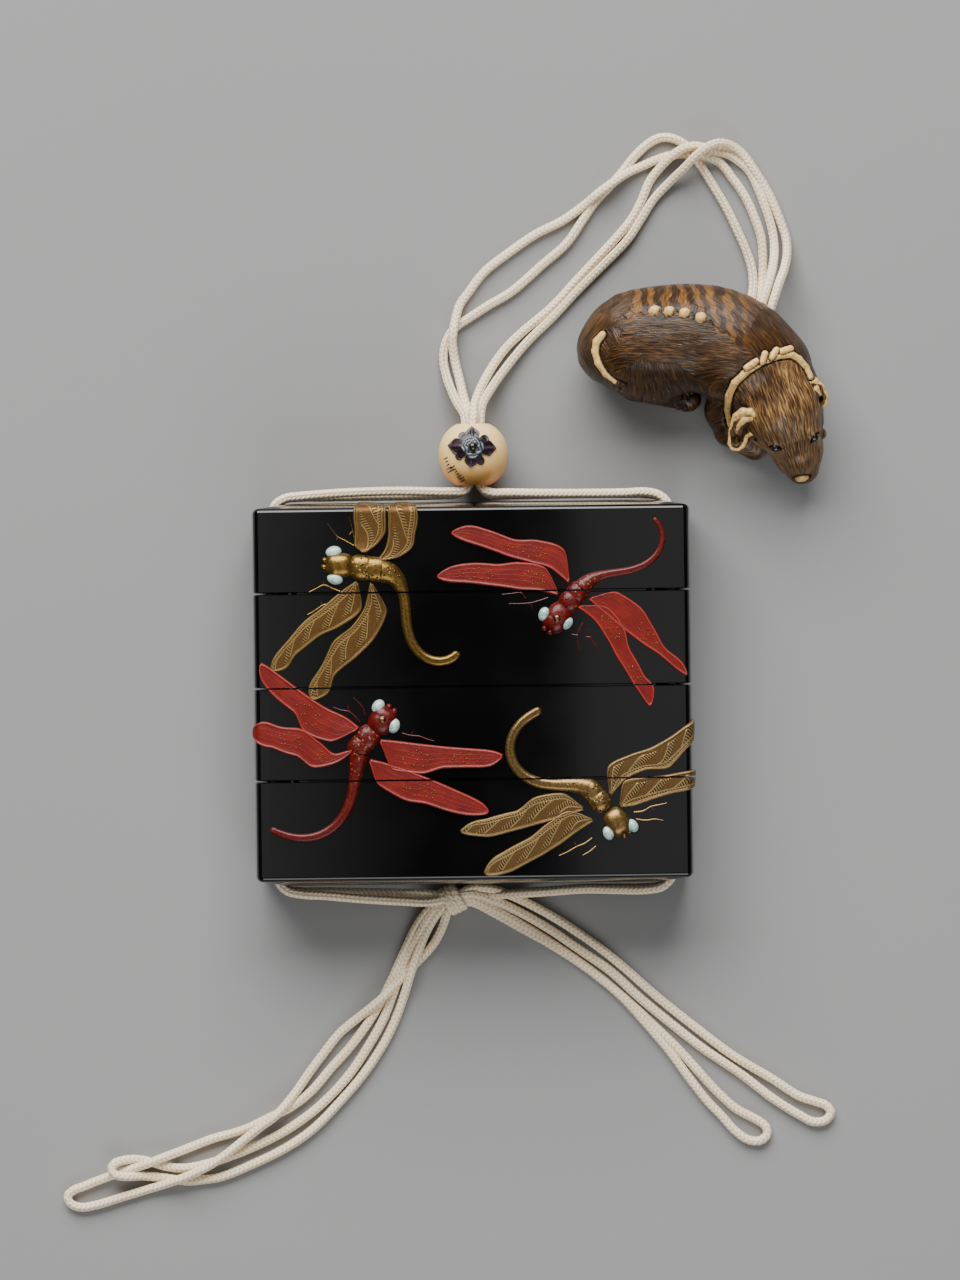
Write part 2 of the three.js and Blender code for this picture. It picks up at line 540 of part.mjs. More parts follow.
// The height of the trunk's upper side over a point, for what lies on it.
function topZ(x, y) {
  let z = 24;
  for (let i = 0; i < 90; i++) {
    const d = trunk([x, y, z]);
    if (d < 0.01 || z < 1) break;
    z -= Math.min(0.8, Math.max(d * 0.7, 0.02));
  }
  return z;
}
const laid = (list, sink, r) => list.map(([x, y]) => [x, y, topZ(x, y) - sink, r]);
const tailChain = laid(TAIL, 0.1, 0.75);
const collarChain = laid(COLLAR, 0.1, 0.8);
const collarLumps = laid(COLLAR_KNOT, -0.1, 1.25);
const knobs = laid(SPINE_KNOBS, 0.35, 1.15);
function dog(p) {
  let d = trunk(p);
  for (const ear of EARS) d = blend(d, chain(p, ear, 0.4), 0.6);
  d = blend(d, chain(p, tailChain, 0.2), 0.3);
  d = blend(d, chain(p, collarChain, 0.2), 0.3);
  for (const k of [...knobs, ...collarLumps]) d = blend(d, Math.hypot(p[0] - k[0], p[1] - k[1], p[2] - k[2]) - k[3], 0.4);
  return d;
}

// A closed surface where the field is zero: one vertex in each grid cell that
// the surface passes, one quad for each grid edge that it cuts.
function surface(field, lo, hi, step) {
  const n = [0, 1, 2].map((i) => Math.ceil((hi[i] - lo[i]) / step) + 1);
  const id = (i, j, k) => (k * n[1] + j) * n[0] + i;
  const at = (i, j, k) => [lo[0] + i * step, lo[1] + j * step, lo[2] + k * step];
  const f = new Float64Array(n[0] * n[1] * n[2]);
  for (let k = 0; k < n[2]; k++)
    for (let j = 0; j < n[1]; j++)
      for (let i = 0; i < n[0]; i++) {
        const v = field(at(i, j, k));
        f[id(i, j, k)] = v === 0 ? 1e-6 : v;
      }
  // Two lumps that meet at an edge or a corner of the grid only are bridged.
  const fill = (list) => {
    const q = list.reduce((u, v) => (f[u] < f[v] ? u : v));
    f[q] = -0.12 * step;
  };
  for (let again = true; again; ) {
    again = false;
    for (let k = 0; k + 1 < n[2]; k++)
      for (let j = 0; j + 1 < n[1]; j++)
        for (let i = 0; i + 1 < n[0]; i++) {
          const c = [0, 1, 2, 3, 4, 5, 6, 7].map((m) => id(i + (m & 1), j + ((m >> 1) & 1), k + ((m >> 2) & 1)));
          for (const [p, q] of [[1, 2], [2, 4], [1, 4]])
            for (const o of [0, 7 - p - q]) {
              const quadCorners = [c[o], c[o | p], c[o | p | q], c[o | q]];
              const inside = quadCorners.map((m) => f[m] < 0);
              if (inside[0] !== inside[2] || inside[1] !== inside[3] || inside[0] === inside[1]) continue;
              fill(quadCorners.filter((m) => f[m] >= 0));
              again = true;
            }
          const full = c.filter((m) => f[m] < 0).length;
          for (let m = 0; m < 4; m++) {
            const u = f[c[m]] < 0, v = f[c[7 - m]] < 0;
            if (u && v && full === 2) {
              fill(c.filter((w) => f[w] >= 0));
              again = true;
            } else if (!u && !v && full === 6) {
              fill([c[m], c[7 - m]]);
              again = true;
            }
          }
        }
  }
  const cell = new Map();
  const pos = [];
  for (let k = 0; k + 1 < n[2]; k++)
    for (let j = 0; j + 1 < n[1]; j++)
      for (let i = 0; i + 1 < n[0]; i++) {
        const sum = [0, 0, 0];
        let cuts = 0;
        const corner = (c) => [i + (c & 1), j + ((c >> 1) & 1), k + ((c >> 2) & 1)];
        for (let a = 0; a < 8; a++)
          for (const bit of [1, 2, 4]) {
            if (a & bit) continue;
            const A = corner(a), B = corner(a | bit);
            const fa = f[id(...A)], fb = f[id(...B)];
            if (fa < 0 === fb < 0) continue;
            const t = fa / (fa - fb);
            const pa = at(...A), pb = at(...B);
            for (let q = 0; q < 3; q++) sum[q] += pa[q] + (pb[q] - pa[q]) * t;
            cuts++;
          }
        if (cuts) {
          cell.set(id(i, j, k), pos.length / 3);
          pos.push(sum[0] / cuts, sum[1] / cuts, sum[2] / cuts);
        }
      }
  const index = [];
  const quad = (a, b, c, d, flip) => {
    const dist = (u, v) => Math.hypot(pos[u * 3] - pos[v * 3], pos[u * 3 + 1] - pos[v * 3 + 1], pos[u * 3 + 2] - pos[v * 3 + 2]);
    const t = dist(a, c) <= dist(b, d) ? [a, b, c, a, c, d] : [a, b, d, b, c, d];
    if (flip) for (let i = 0; i < 6; i += 3) index.push(t[i], t[i + 2], t[i + 1]);
    else index.push(...t);
  };
  for (let k = 1; k + 1 < n[2]; k++)
    for (let j = 1; j + 1 < n[1]; j++)
      for (let i = 1; i + 1 < n[0]; i++) {
        const here = f[id(i, j, k)] < 0;
        if (here !== f[id(i + 1, j, k)] < 0)
          quad(cell.get(id(i, j - 1, k - 1)), cell.get(id(i, j, k - 1)), cell.get(id(i, j, k)), cell.get(id(i, j - 1, k)), !here);
        if (here !== f[id(i, j + 1, k)] < 0)
          quad(cell.get(id(i - 1, j, k - 1)), cell.get(id(i - 1, j, k)), cell.get(id(i, j, k)), cell.get(id(i, j, k - 1)), !here);
        if (here !== f[id(i, j, k + 1)] < 0)
          quad(cell.get(id(i - 1, j - 1, k)), cell.get(id(i, j - 1, k)), cell.get(id(i, j, k)), cell.get(id(i - 1, j, k)), !here);
      }
  const g = new THREE.BufferGeometry();
  g.setAttribute("position", new THREE.Float32BufferAttribute(pos, 3));
  g.setIndex(index);
  return g;
}

const DOG_STEP = 2.0;
// Points through the tunnel, from outside the lower hole round to outside the
// upper one, for a line that lies across the tunnel by the given offset.
function tunnelLine(across, outside) {
  const { low, high, inwards, depth } = TUNNEL;
  const side = [-inwards[1] * across, inwards[0] * across];
  const at = (p, s) => [p[0] + side[0] - inwards[0] * s, p[1] + side[1] - inwards[1] * s, p[2]];
  const a = at(low, -depth), b = at(high, -depth);
  const half = Math.hypot(b[0] - a[0], b[1] - a[1], b[2] - a[2]) / 2;
  const turn = [];
  for (let i = 1; i < 6; i++) {
    const t = (i * Math.PI) / 6, c = Math.cos(t), s = Math.sin(t) * half;
    turn.push([0, 1, 2].map((k) => (a[k] + b[k]) / 2 + ((a[k] - b[k]) / 2) * c + (k < 2 ? inwards[k] * s : 0)));
  }
  return [at(low, outside), at(low, 0), at(low, -depth / 2), a, ...turn, b, at(high, -depth / 2), at(high, 0), at(high, outside)];
}

// A closed tube whose rings stand at the given points.
class Stepped extends THREE.Curve {
  constructor(points) {
    super();
    this.points = points;
  }
  getPoint(t, target = new THREE.Vector3()) {
    const n = this.points.length - 1, i = Math.min(n - 1, Math.floor(t * n + 1e-9));
    return target.copy(this.points[i]).lerp(this.points[i + 1], t * n - i);
  }
  getPointAt(u, target) {
    return this.getPoint(u, target);
  }
  getTangentAt(u, target = new THREE.Vector3()) {
    const n = this.points.length - 1, i = Math.round(u * n);
    const a = this.points[Math.max(0, i - 1)], b = this.points[i], c = this.points[Math.min(n, i + 1)];
    const into = i > 0 ? b.clone().sub(a).normalize() : V3(0, 0, 0);
    const out = i < n ? c.clone().sub(b).normalize() : V3(0, 0, 0);
    return target.copy(into.add(out).normalize());
  }
  getSpacedPoints() {
    return this.points;
  }
}
function tube(points, radius, sides) {
  const ring = [];
  for (let i = 0; i < sides; i++) ring.push(new THREE.Vector2(radius * Math.cos((2 * Math.PI * i) / sides), radius * Math.sin((2 * Math.PI * i) / sides)));
  const g = new THREE.ExtrudeGeometry(new THREE.Shape(ring), { steps: points.length - 1, extrudePath: new Stepped(points) });
  return solid(g);
}
const dogHole = tube(tunnelLine(0, 4).map((p) => V3(...p)), TUNNEL.r, 12);
const below = plate(
  [new THREE.Vector2(-40, -40), new THREE.Vector2(40, -40), new THREE.Vector2(40, 40), new THREE.Vector2(-40, 40)],
  -20, 0,
);
const dogEyes = DOG_EYES.map(([x, y]) => [x, y, topZ(x, y) - 0.25]);
let dogBody = solid(surface(dog, [-27.3, -23.3, -5.2], [27, 22, 23], DOG_STEP)).subtract(below).subtract(dogHole);
for (const [x, y, z] of dogEyes) dogBody = dogBody.subtract(ball(x, y, z, EYE_R + 0.25, 8, 6));

// ---------------------------------------------------------------------- cord
// Route of the one long cord. Its two ends are tucked into the knot under the
// case. It runs up one side of the case, through the bead to the netsuke and
// back, down the other side, makes four loops and goes round once more.
const BORE_X = BEAD.x;
const RUNS = {
  // bead to netsuke, four strands
  a: [[-0.7, 48.6, 6.2], [-0.9, 50.2, 5.6], [-2.2, 52.5, 4.2], [-3.4, 55.3, 2.6], [-4.2, 57.9, 1.3], [-4.6, 60.4, 0.8], [-4.3, 63, 0.8], [-3.4, 65, 0.8], [-2.1, 66.5, 0.8], [0.5, 68.2, 0.8], [3.8, 70.3, 0.8], [7.8, 72.6, 0.8], [13.7, 77.6, 0.8], [18.1, 81.4, 0.8], [21.1, 85.6, 0.8], [23.5, 89, 0.8], [25.9, 91.5, 0.8], [27.9, 93.7, 0.8], [30.7, 97.1, 0.8], [33, 99.2, 0.8], [35.2, 100.3, 0.8], [37.4, 100.2, 0.8], [39.6, 99.1, 0.8], [41.9, 96.1, 0.8], [43.7, 93.3, 0.8], [45.5, 90.3, 0.8], [47.4, 86.9, 0.8], [49.2, 83, 0.8], [50.6, 79.7, 0.8], [51.6, 76.3, 1], [51.8, 73.3, 1.6]],
  b: [[0.5, 48.6, 5], [0.2, 50, 4.7], [-0.8, 52.8, 3.6], [-1.7, 56.7, 1.9], [-2.5, 60.2, 1.4], [-2.9, 63.1, 2], [-2.8, 65.2, 2.5], [-2.3, 67.8, 1.9], [-1.5, 70.4, 1.1], [0, 72.5, 0.8], [3, 76.3, 0.8], [7.4, 79.7, 0.8], [12.5, 83.1, 0.8], [17.2, 85.4, 0.8], [21.3, 88.2, 1.2], [23.8, 90.2, 2.3], [26.4, 92.1, 2.5], [29.3, 94, 1.5], [31.9, 95.2, 0.8], [34.5, 96.3, 0.8], [37.2, 97.1, 0.8], [40.3, 97.2, 1.6], [43.4, 96.8, 1.7], [46.1, 95.6, 0.8], [48.4, 92.7, 0.8], [50.6, 89.4, 0.8], [52.3, 85.5, 0.8], [53.4, 81.9, 0.8], [53.7, 78.2, 0.8], [53.6, 74.6, 1]],
  c: [[0.6, 48.6, 7.5], [0.8, 50.2, 7], [0.8, 51.3, 6.4], [1.6, 54, 4.4], [3, 57, 2.4], [4.8, 59.9, 1.2], [6.8, 62.5, 0.8], [9.4, 65, 0.8], [11.8, 67, 0.8], [14.3, 69, 0.8], [16.7, 71.3, 0.8], [18.9, 73.7, 0.8], [23.2, 78.2, 0.8], [27.2, 82.4, 0.8], [29.8, 85.5, 0.8], [31.5, 88.5, 0.8], [33.3, 92.5, 0.8], [35.2, 94.9, 1.4], [37.3, 96.9, 2.4], [39.7, 98.3, 3], [41.9, 98.6, 3], [44.4, 97.9, 2.2], [47.4, 97.2, 1.2], [49.5, 95.9, 0.8], [51.5, 93.9, 0.8], [52.9, 91, 0.8], [54, 88.1, 0.8], [55, 85, 0.8], [55.6, 82.2, 1.0], [55.7, 79.2, 2.2], [55.2, 76.2, 4.7], [54.4, 73.6, 7.0]],
  d: [[1.9, 48.6, 6.2], [2, 50.2, 5.8], [2.3, 52, 5.2], [3.8, 54.7, 3.4], [5.8, 57.6, 2], [8, 60.4, 1.4], [10.2, 63, 1.1], [12.7, 65.5, 0.8], [15.4, 68, 0.8], [20, 72.8, 0.8], [24.4, 77.1, 0.8], [29, 81.7, 1], [31.4, 85.2, 0.8], [34, 89.2, 0.8], [37.1, 92.4, 1.5], [39.5, 94.6, 3], [41.5, 96.6, 4.2], [43.5, 98.2, 4.5], [45.7, 99, 3.6], [47.9, 98.7, 2.4], [50.1, 97.2, 1.7], [52, 94.6, 1.5], [53.9, 91.7, 1], [55.6, 88.4, 0.8], [57, 84.8, 0.8], [57.9, 81.8, 1.0], [58, 79.0, 2.1], [57.3, 75.9, 4.8], [56.3, 73.4, 7.1]],
  // along the lid's end, from the bead to the mouths of the channels
  topLeft1: [[-0.3, 39.6, 7.15], [-0.35, 37.3, 7.2], [-1.2, 36.4, 7.35], [-3.3, 36.3, 7.7], [-5.5, 36.3, 8.2], [-12.7, 36.5, 9.2], [-19.9, 36.4, 9.9], [-26.2, 36.1, 10.4], [-30.7, 35.75, 10.7], [-33.4, 35.4, 10.7], [-35.2, 34.2, 10.7], [-35.8, 32.2, 10.7]],
  topLeft2: [[-0.3, 39.6, 5.35], [-0.5, 37.9, 5.45], [-1.4, 36.4, 5.75], [-3.0, 35.85, 6.0], [-5.5, 35.75, 6.4], [-12.7, 35.65, 7.0], [-19.9, 35.65, 7.6], [-26.3, 35.6, 8.1], [-30.8, 35.6, 8.3], [-33.5, 35.3, 8.3], [-35.2, 34.0, 8.3], [-35.8, 32.0, 8.3]],
  topRight1: [[1.5, 39.6, 7.15], [1.7, 37.8, 7.2], [2.7, 36.5, 7.4], [4.4, 36.0, 7.8], [6.3, 36.0, 8.2], [13.5, 35.8, 9.2], [21.6, 35.7, 10.0], [27.9, 35.7, 10.5], [31.6, 35.8, 10.7], [33.8, 35.3, 10.7], [35.3, 34.1, 10.7], [35.8, 32.0, 10.7]],
  topRight2: [[1.5, 39.6, 5.35], [1.7, 37.9, 5.5], [2.6, 36.3, 5.7], [4.2, 35.65, 6.0], [6.3, 35.65, 6.4], [13.5, 35.65, 7.0], [21.6, 35.65, 7.6], [27.9, 35.6, 8.1], [31.6, 35.5, 8.3], [33.9, 35.1, 8.3], [35.35, 33.9, 8.3], [35.8, 31.9, 8.3]],
  // along the closed end, from the mouths to the knot
  lowLeft1: [[-35.8, -31.8, 10.7], [-35.3, -33.9, 10.7], [-33.7, -35.4, 10.7], [-31.0, -36.0, 10.5], [-27.1, -36.3, 9.7], [-20.8, -37.0, 8.0], [-13.6, -37.6, 5.8], [-8.4, -37.9, 4.1]],
  lowLeft2: [[-35.8, -31.8, 8.3], [-35.3, -33.9, 8.3], [-33.7, -35.2, 8.3], [-31.0, -35.6, 8.1], [-27.1, -35.7, 7.3], [-20.8, -35.95, 5.8], [-13.6, -36.2, 4.2], [-8.4, -36.5, 3.0]],
  lowRight1: [[35.8, -31.8, 10.7], [35.3, -33.9, 10.7], [33.6, -35.4, 10.6], [31.0, -35.9, 10.3], [25.6, -35.9, 8.9], [19.9, -35.8, 7.1], [12.6, -36.3, 4.9], [6.3, -36.7, 3.3], [1.5, -37.0, 2.6]],
  lowRight2: [[35.8, -31.8, 8.3], [35.3, -33.9, 8.3], [33.7, -35.2, 8.3], [31.0, -35.6, 8.0], [25.6, -35.65, 6.8], [19.9, -35.7, 5.1], [12.7, -36.2, 3.1], [6.3, -36.6, 1.5], [1.5, -36.9, 1.1]],
  // the four loops below, each from the knot out and back
  leftOuter: [[-5, -39.4, 3.6], [-5.9, -42.2, 2.4], [-7.7, -45.6, 1.2], [-10.7, -48.9, 0.8], [-13.7, -51.8, 1.2], [-16.3, -54.5, 2.6], [-18.8, -56.7, 2], [-21.6, -58.9, 1], [-24.9, -61.6, 0.8], [-27.7, -65, 0.8], [-30.6, -68.8, 0.8], [-33.4, -72.7, 1.3], [-36.6, -76.3, 2.5], [-39.2, -78.2, 2.5], [-42.1, -80.4, 2.4], [-45.8, -83.3, 2.5], [-48.7, -85.2, 2.5], [-51.3, -86.5, 2.5], [-53.9, -87.6, 2.3], [-56.8, -88.6, 1.4], [-60.5, -89.7, 0.8], [-65.6, -91.2, 0.8], [-69.8, -92.4, 0.8], [-72.5, -92.7, 0.8], [-74.2, -92, 0.8], [-74.7, -90.7, 0.8], [-73.6, -89.6, 0.8], [-71.7, -88.9, 0.8], [-69.4, -88, 0.8], [-66.6, -87, 0.8], [-64.4, -86.3, 1], [-62, -85.5, 1.9], [-59.4, -84.6, 2.5], [-56.7, -83.6, 1.8], [-53.5, -82.5, 0.8], [-48.4, -80.6, 0.8], [-42.6, -79, 0.8], [-37.8, -76.8, 0.8], [-34, -75, 0.8], [-30.2, -72.1, 0.8], [-26.4, -67.8, 0.8], [-22.9, -64, 0.8], [-20.1, -60.3, 0.8], [-17.7, -56.6, 0.8], [-15.5, -52.3, 0.8], [-12.9, -46.7, 0.8], [-10.8, -42.5, 1.4], [-8.2, -39.2, 2.6]],
  leftInner: [[-6.6, -39.6, 3.2], [-9, -43.4, 2], [-10.7, -47.6, 2.2], [-11.8, -50.6, 2.4], [-13, -54.5, 1.3], [-14.6, -58.9, 0.8], [-16.7, -63.2, 0.8], [-20.5, -68.9, 0.8], [-25.3, -74.4, 0.8], [-30.2, -79.2, 0.8], [-35, -82.4, 0.8], [-41.3, -85.4, 0.8], [-46.8, -87.5, 0.8], [-50.1, -88, 0.8], [-52.6, -88.2, 0.8], [-55, -87.9, 0.8], [-57.5, -87.5, 0.8], [-61.2, -87.1, 1.5], [-64.2, -87.1, 2.4], [-66, -86.7, 2.5], [-66.6, -85.7, 2.4], [-66, -84.7, 2.2], [-64.4, -84.2, 1.7], [-62.2, -84.1, 1.1], [-59.7, -84.6, 0.8], [-56.6, -85.5, 0.8], [-53.2, -85.8, 0.8], [-49.4, -85.1, 0.8], [-44.6, -83.6, 0.8], [-39.9, -81.7, 0.8], [-35.1, -79.3, 0.8], [-30.2, -76, 0.8], [-26.5, -72.7, 0.8], [-23, -68.8, 0.8], [-20, -64.4, 0.8], [-17.1, -59.4, 0.8], [-15.4, -55.2, 0.8], [-13.5, -50.3, 0.8], [-11.4, -45.8, 1.2], [-9.4, -42, 2.2], [-7.5, -39.4, 3]],
  rightOuter: [[-0.9, -35.6, 3.6], [2.9, -35.7, 3], [7.4, -37.4, 2], [14.1, -41, 1.2], [21.1, -45.7, 0.8], [26.1, -49.7, 0.8], [33, -55.9, 0.8], [39.6, -61.3, 0.8], [46.5, -66.6, 0.8], [53.5, -70.9, 0.8], [58.4, -74.1, 0.8], [61.3, -75.1, 0.8], [63.3, -75.9, 0.8], [64.1, -77.1, 0.8], [63.2, -78.5, 0.8], [61, -78.8, 0.8], [58, -77.3, 0.8], [53.5, -74.4, 0.8], [47.9, -70, 0.8], [41, -65.2, 0.8], [35, -60.4, 0.8], [29.7, -55.9, 0.8], [24.3, -50.9, 0.8], [19.4, -47.4, 0.8], [12.8, -42.8, 1.2], [5.9, -38.9, 2], [1.9, -37.2, 3], [-0.9, -36.5, 3.9]],
  rightInner: [[-1, -37.3, 3.4], [1.6, -38.4, 2.6], [5, -40.3, 1.7], [11.7, -44.4, 0.8], [18.3, -49, 0.8], [23.2, -52.8, 0.8], [28.2, -57.2, 0.8], [32.7, -61.5, 0.8], [36.9, -65.7, 0.8], [40.1, -69.3, 0.8], [43.3, -72.9, 0.8], [47, -76.3, 0.8], [50.3, -78.1, 0.8], [52.2, -79.5, 0.8], [52.5, -81, 0.8], [51.2, -82.1, 0.8], [49, -81.9, 0.8], [46.7, -80.3, 0.8], [44.3, -77.6, 0.8], [41.6, -74.7, 0.8], [38.6, -70.8, 0.8], [34.8, -65.5, 0.8], [30.4, -60.2, 0.8], [26.4, -55.7, 0.8], [20.9, -51, 0.8], [14.2, -46.4, 0.8], [7.3, -42.4, 1], [2.6, -39.7, 1.6], [-0.6, -38.1, 2.4]],
};
const KNOT = { c: [-4.05, -37.45, 2.75], turn: 25, half: 2.15, r: 2.7 };
const back = (list) => list.slice().reverse();
const inCase = (x, z) => [[x, 18, z], [x, 0, z], [x, -18, z]];
const bore = (x, z) => [[BORE_X + x, 46.8, BEAD_Z + z], [BORE_X + x, 44.6, BEAD_Z + z]];
const tunnel = (across) => tunnelLine(across, 1.5).map(([x, y, z]) => [x + NETSUKE.x, y + NETSUKE.y, z]);
const [KX, KY, KZ] = KNOT.c;
const CORD_PARTS = [
  [[KX, KY + 0.3, KZ + 0.9], ...back(RUNS.lowLeft1), ...back(inCase(-CHANNEL_X, 10.7)), ...back(RUNS.topLeft1), ...back(bore(-1.25, 0)), ...RUNS.a, ...tunnel(-TUNNEL.apart),
    ...back(RUNS.c), ...bore(0, 1.25), ...RUNS.topRight1, ...inCase(CHANNEL_X, 10.7), ...RUNS.lowRight1, [KX + 1, KY + 0.3, KZ]],
  [[KX + 0.4, KY - 0.2, KZ + 0.9], ...RUNS.leftOuter, [KX - 0.6, KY, KZ + 0.4]],
  [[KX, KY + 0.8, KZ + 0.9], ...RUNS.rightOuter, [KX, KY + 0.2, KZ + 1.0]],
  [[KX + 0.4, KY - 0.8, KZ + 0.2], ...RUNS.leftInner, [KX - 0.6, KY - 0.6, KZ]],
  [[KX, KY - 0.4, KZ + 0.4], ...RUNS.rightInner, [KX, KY - 0.8, KZ - 0.4]],
  [[KX, KY + 0.6, KZ - 0.4], ...back(RUNS.lowLeft2), ...back(inCase(-CHANNEL_X, 8.3)), ...back(RUNS.topLeft2), ...back(bore(0, -1.25)), ...RUNS.b, ...tunnel(TUNNEL.apart),
    ...back(RUNS.d), ...bore(1.25, 0), ...RUNS.topRight2, ...inCase(CHANNEL_X, 8.3), ...RUNS.lowRight2, [KX + 1, KY + 0.3, KZ - 1]],
];

// A smooth curve through the points, then only the rings that its bends need.
// The plain tube may cut its corners by this much, near the pieces and away from them.
const CORD_WITHIN = 0.45, OPEN_WITHIN = 1.5;
function rings(list) {
  const curve = new THREE.CatmullRomCurve3(list.map((p) => V3(...p)), false, "centripetal");
  const n = list.length * 12;
  const fine = [];
  for (let i = 0; i <= n; i++) {
    const p = curve.getPoint(i / n);
    p.z = Math.max(p.z, CORD_D / 2);
    fine.push(p);
  }
  const keep = new Array(n + 1).fill(false);
  keep[0] = keep[n] = true;
  const line = new THREE.Line3(), near = new THREE.Vector3();
  const split = (a, b) => {
    let far = 0, at = -1;
    line.set(fine[a], fine[b]);
    for (let i = a + 1; i < b; i++) {
      line.closestPointToPoint(fine[i], true, near);
      const d = near.distanceTo(fine[i]);
      if (d > far) [far, at] = [d, i];
    }
    const open = fine[at > 0 ? at : a];
    if (far > (open.y > 76 || open.y < -48 ? OPEN_WITHIN : CORD_WITHIN)) {
      keep[at] = true;
      split(a, at);
      split(at, b);
    }
  };
  split(0, n);
  return fine.filter((_, i) => keep[i]);
}

const cordRings = CORD_PARTS.map(rings);
// the knot: three turns of the cord round the bundle
const knotTurns = (() => {
  const pts = [[0, -KNOT.half]];
  for (const c of [-1, 0, 1])
    for (const [dr, dy] of [[-0.55, -0.66], [0, -0.3], [0, 0.3], [-0.55, 0.66]])
      pts.push([KNOT.r + dr - (c ? 0.1 : 0), c * 1.38 + dy]);
  pts.push([0, KNOT.half]);
  const g = new THREE.LatheGeometry(pts.map(([r, y]) => new THREE.Vector2(r, y)), 14);
  g.rotateZ(rad(KNOT.turn - 90));
  g.translate(...KNOT.c);
  return solid(g);
})();
const cordBody = join([knotTurns, ...cordRings.map((r) => tube(r, CORD_D / 2, 8))]);

// ------------------------------------------------------------------ assembly
const MATERIALS = {
  lacquer: { color: 0x0b0a0a, roughness: 0.18, metalness: 0 },
  shell: { color: 0xbfd5c8, roughness: 0.25, metalness: 0 },
  bead: { color: 0xf2d3a4, roughness: 0.35, metalness: 0 },
  dark: { color: 0x2a1a22, roughness: 0.4, metalness: 0 },
  slate: { color: 0x4d5666, roughness: 0.4, metalness: 0 },
  jet: { color: 0x0a0808, roughness: 0.2, metalness: 0 },
  netsuke: { color: 0x7a5532, roughness: 0.4, metalness: 0 },
  silk: { color: 0xdccbb7, roughness: 0.75, metalness: 0 },
};
const group = new THREE.Group();
group.name = "inro";
function add(name, part, material, parent = group) {
  const mesh = new THREE.Mesh(part.isBufferGeometry ? part : geometryOf(part), new THREE.MeshStandardMaterial(MATERIALS[material]));
  mesh.name = name;
  parent.add(mesh);
  return mesh;
}
const caseGroup = new THREE.Group();
group.add(caseGroup);
add("lid", lid, "lacquer", caseGroup);
add("upper_case", upper, "lacquer", caseGroup);
add("middle_case", middle, "lacquer", caseGroup);
add("lower_case", lower, "lacquer", caseGroup);
for (const d of DRAGONFLIES)
  d.eyes.forEach((e, i) => add(`dragonfly_eye_${d.name}_${i + 1}`, eyeAt(e, 0), "shell", caseGroup));

const beadGroup = new THREE.Group();
beadGroup.position.set(BEAD.x, BEAD.y, 0);
group.add(beadGroup);
add("ojime_bead", beadBody.subtract(flatCut).subtract(flowerPocket), "bead", beadGroup);
add("ojime_flower", flower.subtract(discPocket).subtract(budPocket), "dark", beadGroup);
add("ojime_flower_disc", disc.subtract(budPocket), "slate", beadGroup);
add("ojime_flower_bud", bud, "jet", beadGroup);

const dogGroup = new THREE.Group();
dogGroup.position.set(NETSUKE.x, NETSUKE.y, 0);
group.add(dogGroup);
add("netsuke", dogBody, "netsuke", dogGroup);
dogEyes.forEach(([x, y, z], i) => add(`netsuke_eye_${i ? "right" : "left"}`, ball(x, y, z, EYE_R, 8, 6), "jet", dogGroup));

add("cord", cordBody, "silk");

export default group;
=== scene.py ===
"""Looks of the inro, its bead, its toggle and its cord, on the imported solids."""
import math

import bmesh
import bpy
import numpy as np
from mathutils import Matrix, Vector


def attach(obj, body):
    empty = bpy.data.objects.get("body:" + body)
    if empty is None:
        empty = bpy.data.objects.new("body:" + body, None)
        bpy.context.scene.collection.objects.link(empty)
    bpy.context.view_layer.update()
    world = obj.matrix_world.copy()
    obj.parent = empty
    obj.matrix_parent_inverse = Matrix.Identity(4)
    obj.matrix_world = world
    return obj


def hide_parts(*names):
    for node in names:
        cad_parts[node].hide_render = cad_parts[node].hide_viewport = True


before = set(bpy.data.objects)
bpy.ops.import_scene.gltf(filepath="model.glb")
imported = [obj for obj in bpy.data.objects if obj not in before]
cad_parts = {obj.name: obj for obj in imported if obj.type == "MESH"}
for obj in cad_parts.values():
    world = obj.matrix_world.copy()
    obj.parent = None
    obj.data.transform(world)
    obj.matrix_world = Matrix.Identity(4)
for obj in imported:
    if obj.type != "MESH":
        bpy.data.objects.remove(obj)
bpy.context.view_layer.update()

MM = 0.001
rng = np.random.default_rng(7)

# --------------------------------------------------------------- dimensions, mm
CASE_HALF_WIDTH, CASE_DEPTH, MID_Z = 39.5, 19.0, 9.5
RIM_TOP, RIM_BOTTOM, END_DOME = 33.5, -33.5, 0.95
SEAMS = [18.17, 1.15, -15.48]
SEAM_GAP = 0.3
FRONT_EDGE_R, BACK_EDGE_R, BACK_FLAT = 1.2, 1.6, 22.0
RISER_HEIGHT, SOCKET_DEPTH, FLOOR = 3.6, 4.2, 1.5
CHANNEL_X, CHANNEL_HALF_X, CHANNEL_HALF_Z, MOUTH_DEPTH = 35.8, 1.3, 2.4, 1.2
WING_RAISE = 0.42
CORD_D = 1.6
BEAD = dict(x=0.6, y=43.0, r=6.3, h=6.1, bore=2.5, mouth=3.3)
BEAD_Z = 6.3 - 0.06
FLOWER_Y = 1.15
NETSUKE = (42.8, 55.9)
